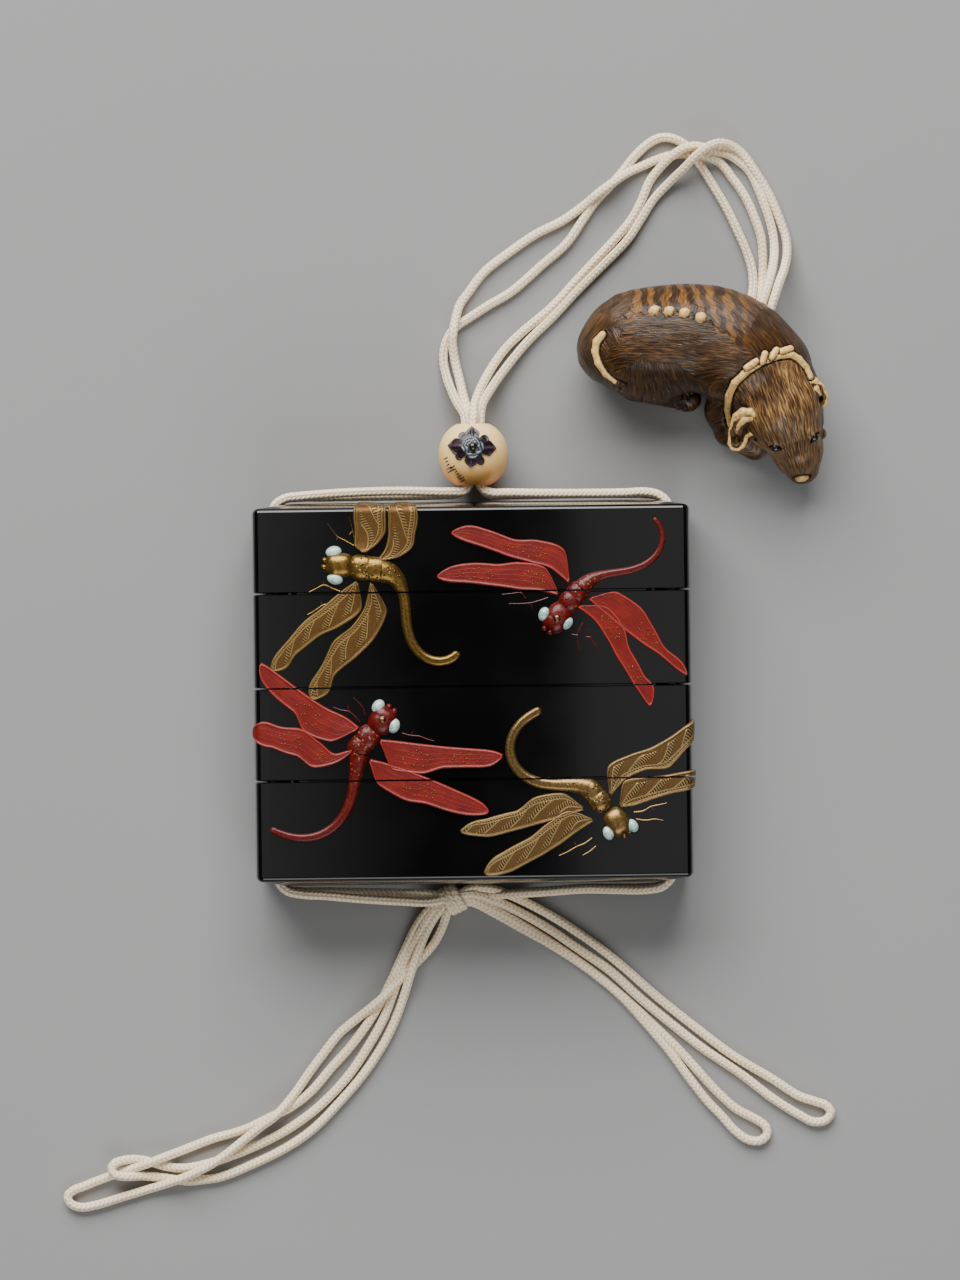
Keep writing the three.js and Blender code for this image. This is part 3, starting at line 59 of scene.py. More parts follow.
DRAGONFLIES = [
  {
    "name": "top_left", "colour": "gold",
    "head": [-23.6, 23.15, 2.75, 2.25, 180], "thorax": [-18.6, 22.55, 3.3, 2.35, -8],
    "eyes": [[-24.6, 25.55, 1.45, 1.05, 10], [-24.4, 20.75, 1.45, 1.05, -10]],
    "tail": { "at": [-15.95, 21.97], "h": -0.1, "c": [-8.22, 13.53, -4.3], "length": 25.1, "r": [1.95, 1.0, 0.8] },
    "wings": [
      [-20.42, 20.11, -35.98, 4.27, 1.26, 3.43, 2.2, 0.51, 0.25, 1.57, 1.65, 2.59, 3.35, 2.95, 2.71],
      [-17.9, 19.9, -28.75, -0.94, 1.97, 3.94, 3.29, 1.74, 0.26, 1.87, 0.35, 1.43, 3.45, 3.07, 3.41],
      [-19.14, 25.3, -19.73, 36.35, -0.69, 2.09, 2.09, 2.25, 2.03, 1.74, 2.46, 3.6, 3.68, 4.2, 4.0],
      [-16.54, 23.92, -11.64, 36.01, -1.62, 0.62, 1.52, 2.66, 3.36, 3.31, 2.47, 3.37, 2.78, 2.78, 2.53],
    ],
  },
  {
    "name": "top_right", "colour": "red",
    "head": [15.3, 13.3, 2.9, 2.3, 235], "thorax": [18.1, 16.8, 2.6, 1.75, 55],
    "eyes": [[12.95, 13.95, 1.3, 1.0, 65], [17.0, 12.35, 1.3, 1.0, 50]],
    "tail": { "at": [19.81, 18.56], "h": 0.96, "c": [-5.58, 10.57, -3.52], "length": 22.3, "r": [1.2, 0.75, 0.42] },
    "wings": [
      [17.55, 19.57, -3.5, 28.75, -2.25, 0.35, 1.6, 2.33, 2.17, 1.91, 4.09, 2.81, 1.05, 1.47, 2.22],
      [15.54, 17.54, -6.16, 20.99, -2.68, 1.41, 2.76, 3.03, 2.69, 2.34, 3.18, 2.25, 1.05, 1.28, 1.55],
      [19.05, 15.29, 31.81, -2.8, 2.81, 2.85, 1.98, 0.25, 0.39, 2.12, 0.74, 1.88, 2.66, 2.46, 1.72],
      [21.16, 16.67, 38.29, 2.57, 0.09, 4.07, 4.47, 3.13, 1.66, 2.13, 0.58, 0.71, 0.62, 0.25, 0.42],
    ],
  },
  {
    "name": "lower_left", "colour": "red",
    "head": [-16.3, -4.7, 2.7, 2.3, 60], "thorax": [-19.5, -8.4, 2.9, 1.9, 62],
    "eyes": [[-16.95, -2.2, 1.35, 1.05, 50], [-14.2, -5.7, 1.35, 1.1, 70]],
    "tail": { "at": [-20.36, -10.81], "h": -1.89, "c": [2.31, -8.83, 4.78], "length": 26.2, "r": [1.3, 0.95, 0.6] },
    "wings": [
      [-20.51, -6.15, -37.89, 5.85, 0.63, 4.65, 5.47, 3.52, 3.52, 3.52, 0.79, 0.45, 0.5, 0.6, 0.61],
      [-21.35, -9.88, -39.74, -6.77, 2.64, 1.59, 1.99, 0.25, 0.25, 1.3, 0.25, 2.96, 4.93, 4.38, 4.73],
      [-16.71, -8.37, 5.29, -11.19, -0.25, 0.5, 0.56, 0.63, 0.81, 1.01, 5.01, 4.9, 3.33, 2.98, 3.15],
      [-18.59, -11.87, 2.66, -21.42, -0.78, 1.3, 2.0, 2.19, 2.12, 2.09, 3.16, 3.39, 2.39, 2.23, 1.92],
    ],
  },
  {
    "name": "lower_right", "colour": "bronze",
    "head": [25.6, -23.4, 2.7, 2.25, 305], "thorax": [21.9, -18.9, 2.9, 2.0, 128],
    "eyes": [[24.0, -25.4, 1.3, 1.0, -70], [28.3, -24.1, 1.3, 1.0, -50]],
    "tail": { "at": [20.47, -17.19], "h": 2.79, "c": [4.27, -14.91, 8.3], "length": 27.0, "r": [1.5, 1.0, 0.8] },
    "wings": [
      [19.59, -20.96, -2.56, -24.66, -1.54, 1.65, 2.7, 3.25, 3.44, 2.54, 2.74, 2.27, 0.25, 0.31, 0.92],
      [21.2, -23.0, 1.62, -32.24, -1.92, 1.7, 3.21, 3.76, 3.69, 2.93, 2.52, 1.35, 0.25, 0.58, 1.22],
      [24.38, -18.5, 40.6, -5.1, 0.84, 3.74, 2.42, 0.76, 0.25, 0.43, 0.25, 1.45, 4.11, 3.52, 2.93],
      [26.08, -20.55, 41.99, -14.26, 0.47, 3.7, 2.75, 1.66, 1.09, 0.78, 1.25, 1.67, 2.03, 2.63, 2.62],
    ],
  },
]
RUNS = {
  "a": [[-0.7, 48.6, 6.2], [-0.9, 50.2, 5.6], [-2.2, 52.5, 4.2], [-3.4, 55.3, 2.6], [-4.2, 57.9, 1.3], [-4.6, 60.4, 0.8], [-4.3, 63, 0.8], [-3.4, 65, 0.8], [-2.1, 66.5, 0.8], [0.5, 68.2, 0.8], [3.8, 70.3, 0.8], [7.8, 72.6, 0.8], [13.7, 77.6, 0.8], [18.1, 81.4, 0.8], [21.1, 85.6, 0.8], [23.5, 89, 0.8], [25.9, 91.5, 0.8], [27.9, 93.7, 0.8], [30.7, 97.1, 0.8], [33, 99.2, 0.8], [35.2, 100.3, 0.8], [37.4, 100.2, 0.8], [39.6, 99.1, 0.8], [41.9, 96.1, 0.8], [43.7, 93.3, 0.8], [45.5, 90.3, 0.8], [47.4, 86.9, 0.8], [49.2, 83, 0.8], [50.6, 79.7, 0.8], [51.6, 76.3, 1], [51.8, 73.3, 1.6]],
  "b": [[0.5, 48.6, 5], [0.2, 50, 4.7], [-0.8, 52.8, 3.6], [-1.7, 56.7, 1.9], [-2.5, 60.2, 1.4], [-2.9, 63.1, 2], [-2.8, 65.2, 2.5], [-2.3, 67.8, 1.9], [-1.5, 70.4, 1.1], [0, 72.5, 0.8], [3, 76.3, 0.8], [7.4, 79.7, 0.8], [12.5, 83.1, 0.8], [17.2, 85.4, 0.8], [21.3, 88.2, 1.2], [23.8, 90.2, 2.3], [26.4, 92.1, 2.5], [29.3, 94, 1.5], [31.9, 95.2, 0.8], [34.5, 96.3, 0.8], [37.2, 97.1, 0.8], [40.3, 97.2, 1.6], [43.4, 96.8, 1.7], [46.1, 95.6, 0.8], [48.4, 92.7, 0.8], [50.6, 89.4, 0.8], [52.3, 85.5, 0.8], [53.4, 81.9, 0.8], [53.7, 78.2, 0.8], [53.6, 74.6, 1]],
  "c": [[0.6, 48.6, 7.5], [0.8, 50.2, 7], [0.8, 51.3, 6.4], [1.6, 54, 4.4], [3, 57, 2.4], [4.8, 59.9, 1.2], [6.8, 62.5, 0.8], [9.4, 65, 0.8], [11.8, 67, 0.8], [14.3, 69, 0.8], [16.7, 71.3, 0.8], [18.9, 73.7, 0.8], [23.2, 78.2, 0.8], [27.2, 82.4, 0.8], [29.8, 85.5, 0.8], [31.5, 88.5, 0.8], [33.3, 92.5, 0.8], [35.2, 94.9, 1.4], [37.3, 96.9, 2.4], [39.7, 98.3, 3], [41.9, 98.6, 3], [44.4, 97.9, 2.2], [47.4, 97.2, 1.2], [49.5, 95.9, 0.8], [51.5, 93.9, 0.8], [52.9, 91, 0.8], [54, 88.1, 0.8], [55, 85, 0.8], [55.6, 82.2, 1.0], [55.7, 79.2, 2.2], [55.2, 76.2, 4.7], [54.4, 73.6, 7.0]],
  "d": [[1.9, 48.6, 6.2], [2, 50.2, 5.8], [2.3, 52, 5.2], [3.8, 54.7, 3.4], [5.8, 57.6, 2], [8, 60.4, 1.4], [10.2, 63, 1.1], [12.7, 65.5, 0.8], [15.4, 68, 0.8], [20, 72.8, 0.8], [24.4, 77.1, 0.8], [29, 81.7, 1], [31.4, 85.2, 0.8], [34, 89.2, 0.8], [37.1, 92.4, 1.5], [39.5, 94.6, 3], [41.5, 96.6, 4.2], [43.5, 98.2, 4.5], [45.7, 99, 3.6], [47.9, 98.7, 2.4], [50.1, 97.2, 1.7], [52, 94.6, 1.5], [53.9, 91.7, 1], [55.6, 88.4, 0.8], [57, 84.8, 0.8], [57.9, 81.8, 1.0], [58, 79.0, 2.1], [57.3, 75.9, 4.8], [56.3, 73.4, 7.1]],
  "topLeft1": [[-0.3, 39.6, 7.15], [-0.35, 37.3, 7.2], [-1.2, 36.4, 7.35], [-3.3, 36.3, 7.7], [-5.5, 36.3, 8.2], [-12.7, 36.5, 9.2], [-19.9, 36.4, 9.9], [-26.2, 36.1, 10.4], [-30.7, 35.75, 10.7], [-33.4, 35.4, 10.7], [-35.2, 34.2, 10.7], [-35.8, 32.2, 10.7]],
  "topLeft2": [[-0.3, 39.6, 5.35], [-0.5, 37.9, 5.45], [-1.4, 36.4, 5.75], [-3.0, 35.85, 6.0], [-5.5, 35.75, 6.4], [-12.7, 35.65, 7.0], [-19.9, 35.65, 7.6], [-26.3, 35.6, 8.1], [-30.8, 35.6, 8.3], [-33.5, 35.3, 8.3], [-35.2, 34.0, 8.3], [-35.8, 32.0, 8.3]],
  "topRight1": [[1.5, 39.6, 7.15], [1.7, 37.8, 7.2], [2.7, 36.5, 7.4], [4.4, 36.0, 7.8], [6.3, 36.0, 8.2], [13.5, 35.8, 9.2], [21.6, 35.7, 10.0], [27.9, 35.7, 10.5], [31.6, 35.8, 10.7], [33.8, 35.3, 10.7], [35.3, 34.1, 10.7], [35.8, 32.0, 10.7]],
  "topRight2": [[1.5, 39.6, 5.35], [1.7, 37.9, 5.5], [2.6, 36.3, 5.7], [4.2, 35.65, 6.0], [6.3, 35.65, 6.4], [13.5, 35.65, 7.0], [21.6, 35.65, 7.6], [27.9, 35.6, 8.1], [31.6, 35.5, 8.3], [33.9, 35.1, 8.3], [35.35, 33.9, 8.3], [35.8, 31.9, 8.3]],
  "lowLeft1": [[-35.8, -31.8, 10.7], [-35.3, -33.9, 10.7], [-33.7, -35.4, 10.7], [-31.0, -36.0, 10.5], [-27.1, -36.3, 9.7], [-20.8, -37.0, 8.0], [-13.6, -37.6, 5.8], [-8.4, -37.9, 4.1]],
  "lowLeft2": [[-35.8, -31.8, 8.3], [-35.3, -33.9, 8.3], [-33.7, -35.2, 8.3], [-31.0, -35.6, 8.1], [-27.1, -35.7, 7.3], [-20.8, -35.95, 5.8], [-13.6, -36.2, 4.2], [-8.4, -36.5, 3.0]],
  "lowRight1": [[35.8, -31.8, 10.7], [35.3, -33.9, 10.7], [33.6, -35.4, 10.6], [31.0, -35.9, 10.3], [25.6, -35.9, 8.9], [19.9, -35.8, 7.1], [12.6, -36.3, 4.9], [6.3, -36.7, 3.3], [1.5, -37.0, 2.6]],
  "lowRight2": [[35.8, -31.8, 8.3], [35.3, -33.9, 8.3], [33.7, -35.2, 8.3], [31.0, -35.6, 8.0], [25.6, -35.65, 6.8], [19.9, -35.7, 5.1], [12.7, -36.2, 3.1], [6.3, -36.6, 1.5], [1.5, -36.9, 1.1]],
  "leftOuter": [[-5, -39.4, 3.6], [-5.9, -42.2, 2.4], [-7.7, -45.6, 1.2], [-10.7, -48.9, 0.8], [-13.7, -51.8, 1.2], [-16.3, -54.5, 2.6], [-18.8, -56.7, 2], [-21.6, -58.9, 1], [-24.9, -61.6, 0.8], [-27.7, -65, 0.8], [-30.6, -68.8, 0.8], [-33.4, -72.7, 1.3], [-36.6, -76.3, 2.5], [-39.2, -78.2, 2.5], [-42.1, -80.4, 2.4], [-45.8, -83.3, 2.5], [-48.7, -85.2, 2.5], [-51.3, -86.5, 2.5], [-53.9, -87.6, 2.3], [-56.8, -88.6, 1.4], [-60.5, -89.7, 0.8], [-65.6, -91.2, 0.8], [-69.8, -92.4, 0.8], [-72.5, -92.7, 0.8], [-74.2, -92, 0.8], [-74.7, -90.7, 0.8], [-73.6, -89.6, 0.8], [-71.7, -88.9, 0.8], [-69.4, -88, 0.8], [-66.6, -87, 0.8], [-64.4, -86.3, 1], [-62, -85.5, 1.9], [-59.4, -84.6, 2.5], [-56.7, -83.6, 1.8], [-53.5, -82.5, 0.8], [-48.4, -80.6, 0.8], [-42.6, -79, 0.8], [-37.8, -76.8, 0.8], [-34, -75, 0.8], [-30.2, -72.1, 0.8], [-26.4, -67.8, 0.8], [-22.9, -64, 0.8], [-20.1, -60.3, 0.8], [-17.7, -56.6, 0.8], [-15.5, -52.3, 0.8], [-12.9, -46.7, 0.8], [-10.8, -42.5, 1.4], [-8.2, -39.2, 2.6]],
  "leftInner": [[-6.6, -39.6, 3.2], [-9, -43.4, 2], [-10.7, -47.6, 2.2], [-11.8, -50.6, 2.4], [-13, -54.5, 1.3], [-14.6, -58.9, 0.8], [-16.7, -63.2, 0.8], [-20.5, -68.9, 0.8], [-25.3, -74.4, 0.8], [-30.2, -79.2, 0.8], [-35, -82.4, 0.8], [-41.3, -85.4, 0.8], [-46.8, -87.5, 0.8], [-50.1, -88, 0.8], [-52.6, -88.2, 0.8], [-55, -87.9, 0.8], [-57.5, -87.5, 0.8], [-61.2, -87.1, 1.5], [-64.2, -87.1, 2.4], [-66, -86.7, 2.5], [-66.6, -85.7, 2.4], [-66, -84.7, 2.2], [-64.4, -84.2, 1.7], [-62.2, -84.1, 1.1], [-59.7, -84.6, 0.8], [-56.6, -85.5, 0.8], [-53.2, -85.8, 0.8], [-49.4, -85.1, 0.8], [-44.6, -83.6, 0.8], [-39.9, -81.7, 0.8], [-35.1, -79.3, 0.8], [-30.2, -76, 0.8], [-26.5, -72.7, 0.8], [-23, -68.8, 0.8], [-20, -64.4, 0.8], [-17.1, -59.4, 0.8], [-15.4, -55.2, 0.8], [-13.5, -50.3, 0.8], [-11.4, -45.8, 1.2], [-9.4, -42, 2.2], [-7.5, -39.4, 3]],
  "rightOuter": [[-0.9, -35.6, 3.6], [2.9, -35.7, 3], [7.4, -37.4, 2], [14.1, -41, 1.2], [21.1, -45.7, 0.8], [26.1, -49.7, 0.8], [33, -55.9, 0.8], [39.6, -61.3, 0.8], [46.5, -66.6, 0.8], [53.5, -70.9, 0.8], [58.4, -74.1, 0.8], [61.3, -75.1, 0.8], [63.3, -75.9, 0.8], [64.1, -77.1, 0.8], [63.2, -78.5, 0.8], [61, -78.8, 0.8], [58, -77.3, 0.8], [53.5, -74.4, 0.8], [47.9, -70, 0.8], [41, -65.2, 0.8], [35, -60.4, 0.8], [29.7, -55.9, 0.8], [24.3, -50.9, 0.8], [19.4, -47.4, 0.8], [12.8, -42.8, 1.2], [5.9, -38.9, 2], [1.9, -37.2, 3], [-0.9, -36.5, 3.9]],
  "rightInner": [[-1, -37.3, 3.4], [1.6, -38.4, 2.6], [5, -40.3, 1.7], [11.7, -44.4, 0.8], [18.3, -49, 0.8], [23.2, -52.8, 0.8], [28.2, -57.2, 0.8], [32.7, -61.5, 0.8], [36.9, -65.7, 0.8], [40.1, -69.3, 0.8], [43.3, -72.9, 0.8], [47, -76.3, 0.8], [50.3, -78.1, 0.8], [52.2, -79.5, 0.8], [52.5, -81, 0.8], [51.2, -82.1, 0.8], [49, -81.9, 0.8], [46.7, -80.3, 0.8], [44.3, -77.6, 0.8], [41.6, -74.7, 0.8], [38.6, -70.8, 0.8], [34.8, -65.5, 0.8], [30.4, -60.2, 0.8], [26.4, -55.7, 0.8], [20.9, -51, 0.8], [14.2, -46.4, 0.8], [7.3, -42.4, 1], [2.6, -39.7, 1.6], [-0.6, -38.1, 2.4]],
}
TORSO = [
  
  [-17.7, 5.3, 6.4, 5.3],
  [-13.4, 7.0, 8.4, 8.6],
  [-6.9, 7.5, 9.0, 9.35],
  [-0.2, 7.5, 9.3, 9.35],
  [5.8, 5.2, 9.6, 9.4],
  [11.4, 1.6, 9.6, 7.7],
]
MUZZLE = [[15.2, -9.3, 8.0, 5.9], [16.5, -13.0, 6.3, 4.5], [17.4, -15.9, 4.9, 3.0]]
HIND_LEG = [[-12.5, -0.2, 3.2, 3.4], [-6.6, -1.6, 3.0, 2.9], [-2.9, -3.2, 2.5, 2.2]]
FORE_LEG = [[5.4, -0.6, 7.0, 4.6], [3.6, -5.4, 4.4, 3.7], [4.6, -9.0, 2.8, 2.9], [9.0, -12.0, 2.2, 2.4]]
EARS = [
  [[8.6, -5.4, 14.4, 1.5], [6.2, -6.6, 13.0, 1.7], [4.9, -9.2, 11.0, 1.5], [5.6, -11.7, 9.6, 1.25], [7.4, -12.4, 9.4, 1.0]],
  [[18.2, -0.4, 13.2, 1.5], [20.2, -0.9, 12.0, 1.5], [21.6, -2.9, 10.4, 1.3], [20.9, -5.2, 9.6, 1.1]],
]
SPINE_KNOBS = [[-9.4, 12.0], [-6.7, 12.0], [-4.0, 11.6], [-1.4, 10.9]]
TAIL = [[-18.6, 8.0], [-20.0, 6.0], [-19.6, 3.2], [-17.4, 0.6], [-14.8, -0.7]]
COLLAR = [[4.5, -6.4], [4.1, -3.6], [4.7, -1.0], [7.2, 1.6], [11.0, 3.6], [15.2, 4.7], [17.6, 2.6], [18.8, 0.2]]
COLLAR_KNOT = [[7.6, 2.3], [9.9, 3.6], [12.1, 4.6], [14.4, 5.2]]
DOG_EYES = [[12.2, -12.4, 8.6], [19.2, -10.6, 8.4]]
HEAD = {"c": [13.1, -4.3, 9.3], "r": [8.0, 8.4, 7.9], "turn": -20}
THIGH = {"c": [-11.2, 2.6, 6.6], "r": [8.4, 6.2, 6.8], "turn": -24}
TUNNEL = {"low": [8.9, 12.8, 3.0], "high": [10.8, 12.2, 8.2], "inwards": [-0.3, -0.954], "depth": 5.7, "r": 2.05, "apart": 0.9}


# ------------------------------------------------------------------- helpers
def mesh_object(name, verts, faces, mats=(), smooth=True, index=None, sharp=None):
    """A mesh from points in mm."""
    me = bpy.data.meshes.new(name)
    v = np.asarray(verts, dtype=np.float64) * MM
    if isinstance(faces, np.ndarray):
        k = faces.shape[1]
        me.vertices.add(len(v))
        me.vertices.foreach_set("co", v.astype(np.float32).ravel())
        me.loops.add(faces.size)
        me.loops.foreach_set("vertex_index", faces.astype(np.int32).ravel())
        me.polygons.add(len(faces))
        me.polygons.foreach_set("loop_start", (np.arange(len(faces)) * k).astype(np.int32))
        me.update(calc_edges=True)
    else:
        me.from_pydata([tuple(p) for p in v], [], [tuple(f) for f in faces])
    for m in mats:
        me.materials.append(m)
    if index is not None:
        me.polygons.foreach_set("material_index", np.asarray(index, dtype=np.int32))
    me.polygons.foreach_set("use_smooth", [bool(smooth)] * len(me.polygons))
    if sharp is not None:
        me.set_sharp_from_angle(angle=math.radians(sharp))
    me.validate()
    o = bpy.data.objects.new(name, me)
    bpy.context.scene.collection.objects.link(o)
    return o


def point_attribute(o, name, values):
    values = np.asarray(values, dtype=np.float32)
    kind = "FLOAT" if values.ndim == 1 else "FLOAT_VECTOR"
    a = o.data.attributes.new(name, kind, "POINT")
    a.data.foreach_set("value" if kind == "FLOAT" else "vector", values.ravel())


def piece(o, *nodes, slot=None):
    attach(o, "root")
    if nodes:
        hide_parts(*nodes)
    return o


def join_objects(name, objs):
    bpy.ops.object.select_all(action="DESELECT")
    for o in objs:
        o.select_set(True)
    bpy.context.view_layer.objects.active = objs[0]
    bpy.ops.object.join()
    objs[0].name = name
    objs[0].data.name = name
    return objs[0]


def frames(p):
    """Tangents and two carried normals along points p (N, 3)."""
    t = np.zeros_like(p)
    t[1:-1] = p[2:] - p[:-2]
    t[0], t[-1] = p[1] - p[0], p[-1] - p[-2]
    t /= np.linalg.norm(t, axis=1, keepdims=True)
    n = np.zeros_like(p)
    up = np.array([0.0, 0.0, 1.0]) if abs(t[0, 2]) < 0.9 else np.array([1.0, 0.0, 0.0])
    n[0] = up - t[0] * (up @ t[0])
    n[0] /= np.linalg.norm(n[0])
    for i in range(1, len(p)):
        v = n[i - 1] - t[i] * (n[i - 1] @ t[i])
        n[i] = v / np.linalg.norm(v)
    return t, n, np.cross(t, n)


def sweep(p, radius, sides, wave=None, start=0.0, closed_ends=True):
    """Tube along p in mm. wave(s, angle) is a factor on the radius. Returns
    points, faces and an attribute of (length along, angle)."""
    p = np.asarray(p, dtype=float)
    t, n, b = frames(p)
    s = np.concatenate([[0], np.cumsum(np.linalg.norm(np.diff(p, axis=0), axis=1))]) + start
    a = np.arange(sides) * 2 * np.pi / sides
    r = np.broadcast_to(np.asarray(radius, dtype=float), (len(p),))[:, None] * np.ones((1, sides))
    if wave is not None:
        r = r * wave(s[:, None], a[None, :])
    v = p[:, None, :] + r[..., None] * (np.cos(a)[None, :, None] * n[:, None, :] + np.sin(a)[None, :, None] * b[:, None, :])
    k = len(p)
    i, j = np.meshgrid(np.arange(k - 1), np.arange(sides), indexing="ij")
    q = np.stack([i * sides + j, i * sides + (j + 1) % sides, (i + 1) * sides + (j + 1) % sides, (i + 1) * sides + j], -1).reshape(-1, 4)
    v = v.reshape(-1, 3)
    at = np.stack(np.broadcast_arrays(s[:, None], a[None, :], 0.0 * s[:, None]), -1).reshape(-1, 3)
    faces = [tuple(f) for f in q]
    if closed_ends:
        faces.append(tuple(range(sides))[::-1])
        faces.append(tuple((k - 1) * sides + m for m in range(sides)))
    return v, faces, at


def smooth_path(points, step, floor_z=None):
    """Centripetal Catmull-Rom through the points, then points at even steps."""
    P = np.asarray(points, dtype=float)
    P = np.vstack([2 * P[0] - P[1], P, 2 * P[-1] - P[-2]])
    out = []
    for i in range(1, len(P) - 2):
        p0, p1, p2, p3 = P[i - 1 : i + 3]
        t0 = 0.0
        t1 = t0 + max(np.linalg.norm(p1 - p0), 1e-6) ** 0.5
        t2 = t1 + max(np.linalg.norm(p2 - p1), 1e-6) ** 0.5
        t3 = t2 + max(np.linalg.norm(p3 - p2), 1e-6) ** 0.5
        k = max(4, int(np.linalg.norm(p2 - p1) / 0.15))
        t = np.linspace(t1, t2, k, endpoint=False)[:, None]
        a1 = (t1 - t) / (t1 - t0) * p0 + (t - t0) / (t1 - t0) * p1
        a2 = (t2 - t) / (t2 - t1) * p1 + (t - t1) / (t2 - t1) * p2
        a3 = (t3 - t) / (t3 - t2) * p2 + (t - t2) / (t3 - t2) * p3
        b1 = (t2 - t) / (t2 - t0) * a1 + (t - t0) / (t2 - t0) * a2
        b2 = (t3 - t) / (t3 - t1) * a2 + (t - t1) / (t3 - t1) * a3
        out.append((t2 - t) / (t2 - t1) * b1 + (t - t1) / (t2 - t1) * b2)
    q = np.vstack(out + [P[-2][None]])
    if floor_z is not None:
        q[:, 2] = np.maximum(q[:, 2], floor_z)
    s = np.concatenate([[0], np.cumsum(np.linalg.norm(np.diff(q, axis=0), axis=1))])
    m = max(2, int(round(s[-1] / step)))
    at = np.linspace(0, s[-1], m + 1)
    return np.stack([np.interp(at, s, q[:, c]) for c in range(3)], 1)


# ----------------------------------------------------------------- materials
class Look:
    """A small builder for procedural node materials."""

    def __init__(self, name):
        self.m = bpy.data.materials.new(name)
        self.m.use_nodes = True
        self.t = self.m.node_tree
        self.t.nodes.clear()
        self.out = self.t.nodes.new("ShaderNodeOutputMaterial")
        self.b = self.t.nodes.new("ShaderNodeBsdfPrincipled")
        self.t.links.new(self.b.outputs[0], self.out.inputs[0])

    def node(self, kind, **kw):
        n = self.t.nodes.new("ShaderNode" + kind)
        for k, v in kw.items():
            setattr(n, k, v)
        return n

    def put(self, socket, v):
        if isinstance(v, bpy.types.NodeSocket):
            self.t.links.new(v, socket)
        elif isinstance(v, (tuple, list)) and len(v) == 3 and socket.type == "RGBA":
            socket.default_value = (*v, 1.0)
        else:
            socket.default_value = v

    def set(self, **kw):
        for k, v in kw.items():
            self.put(self.b.inputs[k.replace("_", " ")], v)
        return self

    def attr(self, name, out="Vector"):
        n = self.node("Attribute", attribute_name=name)
        return n.outputs[out]

    def split(self, v):
        n = self.node("SeparateXYZ")
        self.put(n.inputs[0], v)
        return n.outputs

    def merge(self, x=0.0, y=0.0, z=0.0):
        n = self.node("CombineXYZ")
        for i, v in enumerate((x, y, z)):
            self.put(n.inputs[i], v)
        return n.outputs[0]

    def coord(self):
        return self.node("TexCoord").outputs["Object"]

    def stretch(self, v, scale, shift=(0, 0, 0), turn=(0, 0, 0)):
        n = self.node("Mapping")
        self.put(n.inputs["Vector"], v)
        n.inputs["Scale"].default_value = scale
        n.inputs["Location"].default_value = shift
        n.inputs["Rotation"].default_value = turn
        return n.outputs[0]

    def noise(self, v, scale=1.0, detail=3.0, rough=0.55, twist=0.0, color=False):
        n = self.node("TexNoise")
        self.put(n.inputs["Vector"], v)
        n.inputs["Scale"].default_value = scale
        n.inputs["Detail"].default_value = detail
        n.inputs["Roughness"].default_value = rough
        n.inputs["Distortion"].default_value = twist
        return n.outputs["Color" if color else "Fac"]

    def cells(self, v, scale=1.0, feature="F1", random=1.0):
        n = self.node("TexVoronoi", feature=feature)
        self.put(n.inputs["Vector"], v)
        n.inputs["Scale"].default_value = scale
        n.inputs["Randomness"].default_value = random
        return n

    def math(self, op, a, b=0.0, c=0.0, clamp=False):
        n = self.node("Math", operation=op, use_clamp=clamp)
        self.put(n.inputs[0], a)
        self.put(n.inputs[1], b)
        if len(n.inputs) > 2:
            self.put(n.inputs[2], c)
        return n.outputs[0]

    def fit(self, v, lo, hi, to_lo=0.0, to_hi=1.0, smooth=True):
        n = self.node("MapRange", interpolation_type="SMOOTHSTEP" if smooth else "LINEAR")
        self.put(n.inputs[0], v)
        for i, w in enumerate((lo, hi, to_lo, to_hi)):
            self.put(n.inputs[i + 1], w)
        return n.outputs[0]

    def ramp(self, v, stops):
        n = self.node("ValToRGB")
        self.put(n.inputs[0], v)
        e = n.color_ramp.elements
        while len(e) < len(stops):
            e.new(0.5)
        for i, (pos, col) in enumerate(stops):
            e[i].position = pos
            e[i].color = (*col, 1.0)
        return n.outputs[0]

    def mix(self, f, a, b, how="MIX"):
        n = self.node("Mix", data_type="RGBA", blend_type=how)
        self.put(n.inputs[0], f)
        self.put(n.inputs[6], a)
        self.put(n.inputs[7], b)
        return n.outputs[2]

    def bump(self, h, distance, strength=1.0, after=None):
        n = self.node("Bump")
        self.put(n.inputs["Height"], h)
        n.inputs["Distance"].default_value = distance
        n.inputs["Strength"].default_value = strength
        if after is not None:
            self.put(n.inputs["Normal"], after)
        return n.outputs[0]


def srgb(r, g, b):
    f = lambda c: ((c / 255 + 0.055) / 1.055) ** 2.4 if c > 10.3 else c / 255 / 12.92
    return (f(r), f(g), f(b))


# ------------------------------------------------------- camera, floor, light
cam_data = bpy.data.cameras.new("camera")
cam_data.sensor_fit = "VERTICAL"
cam_data.sensor_height = 36.0
cam_data.lens = 18.0 / math.tan(math.atan(0.22912 / 2 / 1.2))
cam_data.clip_end = 20.0
cam = bpy.data.objects.new("camera", cam_data)
bpy.context.scene.collection.objects.link(cam)
roll = math.radians(0.7)
right = Vector((math.cos(roll), -math.sin(roll), 0))
up = Vector((math.sin(roll), math.cos(roll), 0))
cam.matrix_world = Matrix(
    ((right.x, up.x, 0, 0.00142), (right.y, up.y, 0, 0.00947), (0, 0, 1, 1.219), (0, 0, 0, 1))
)
bpy.context.scene.camera = cam

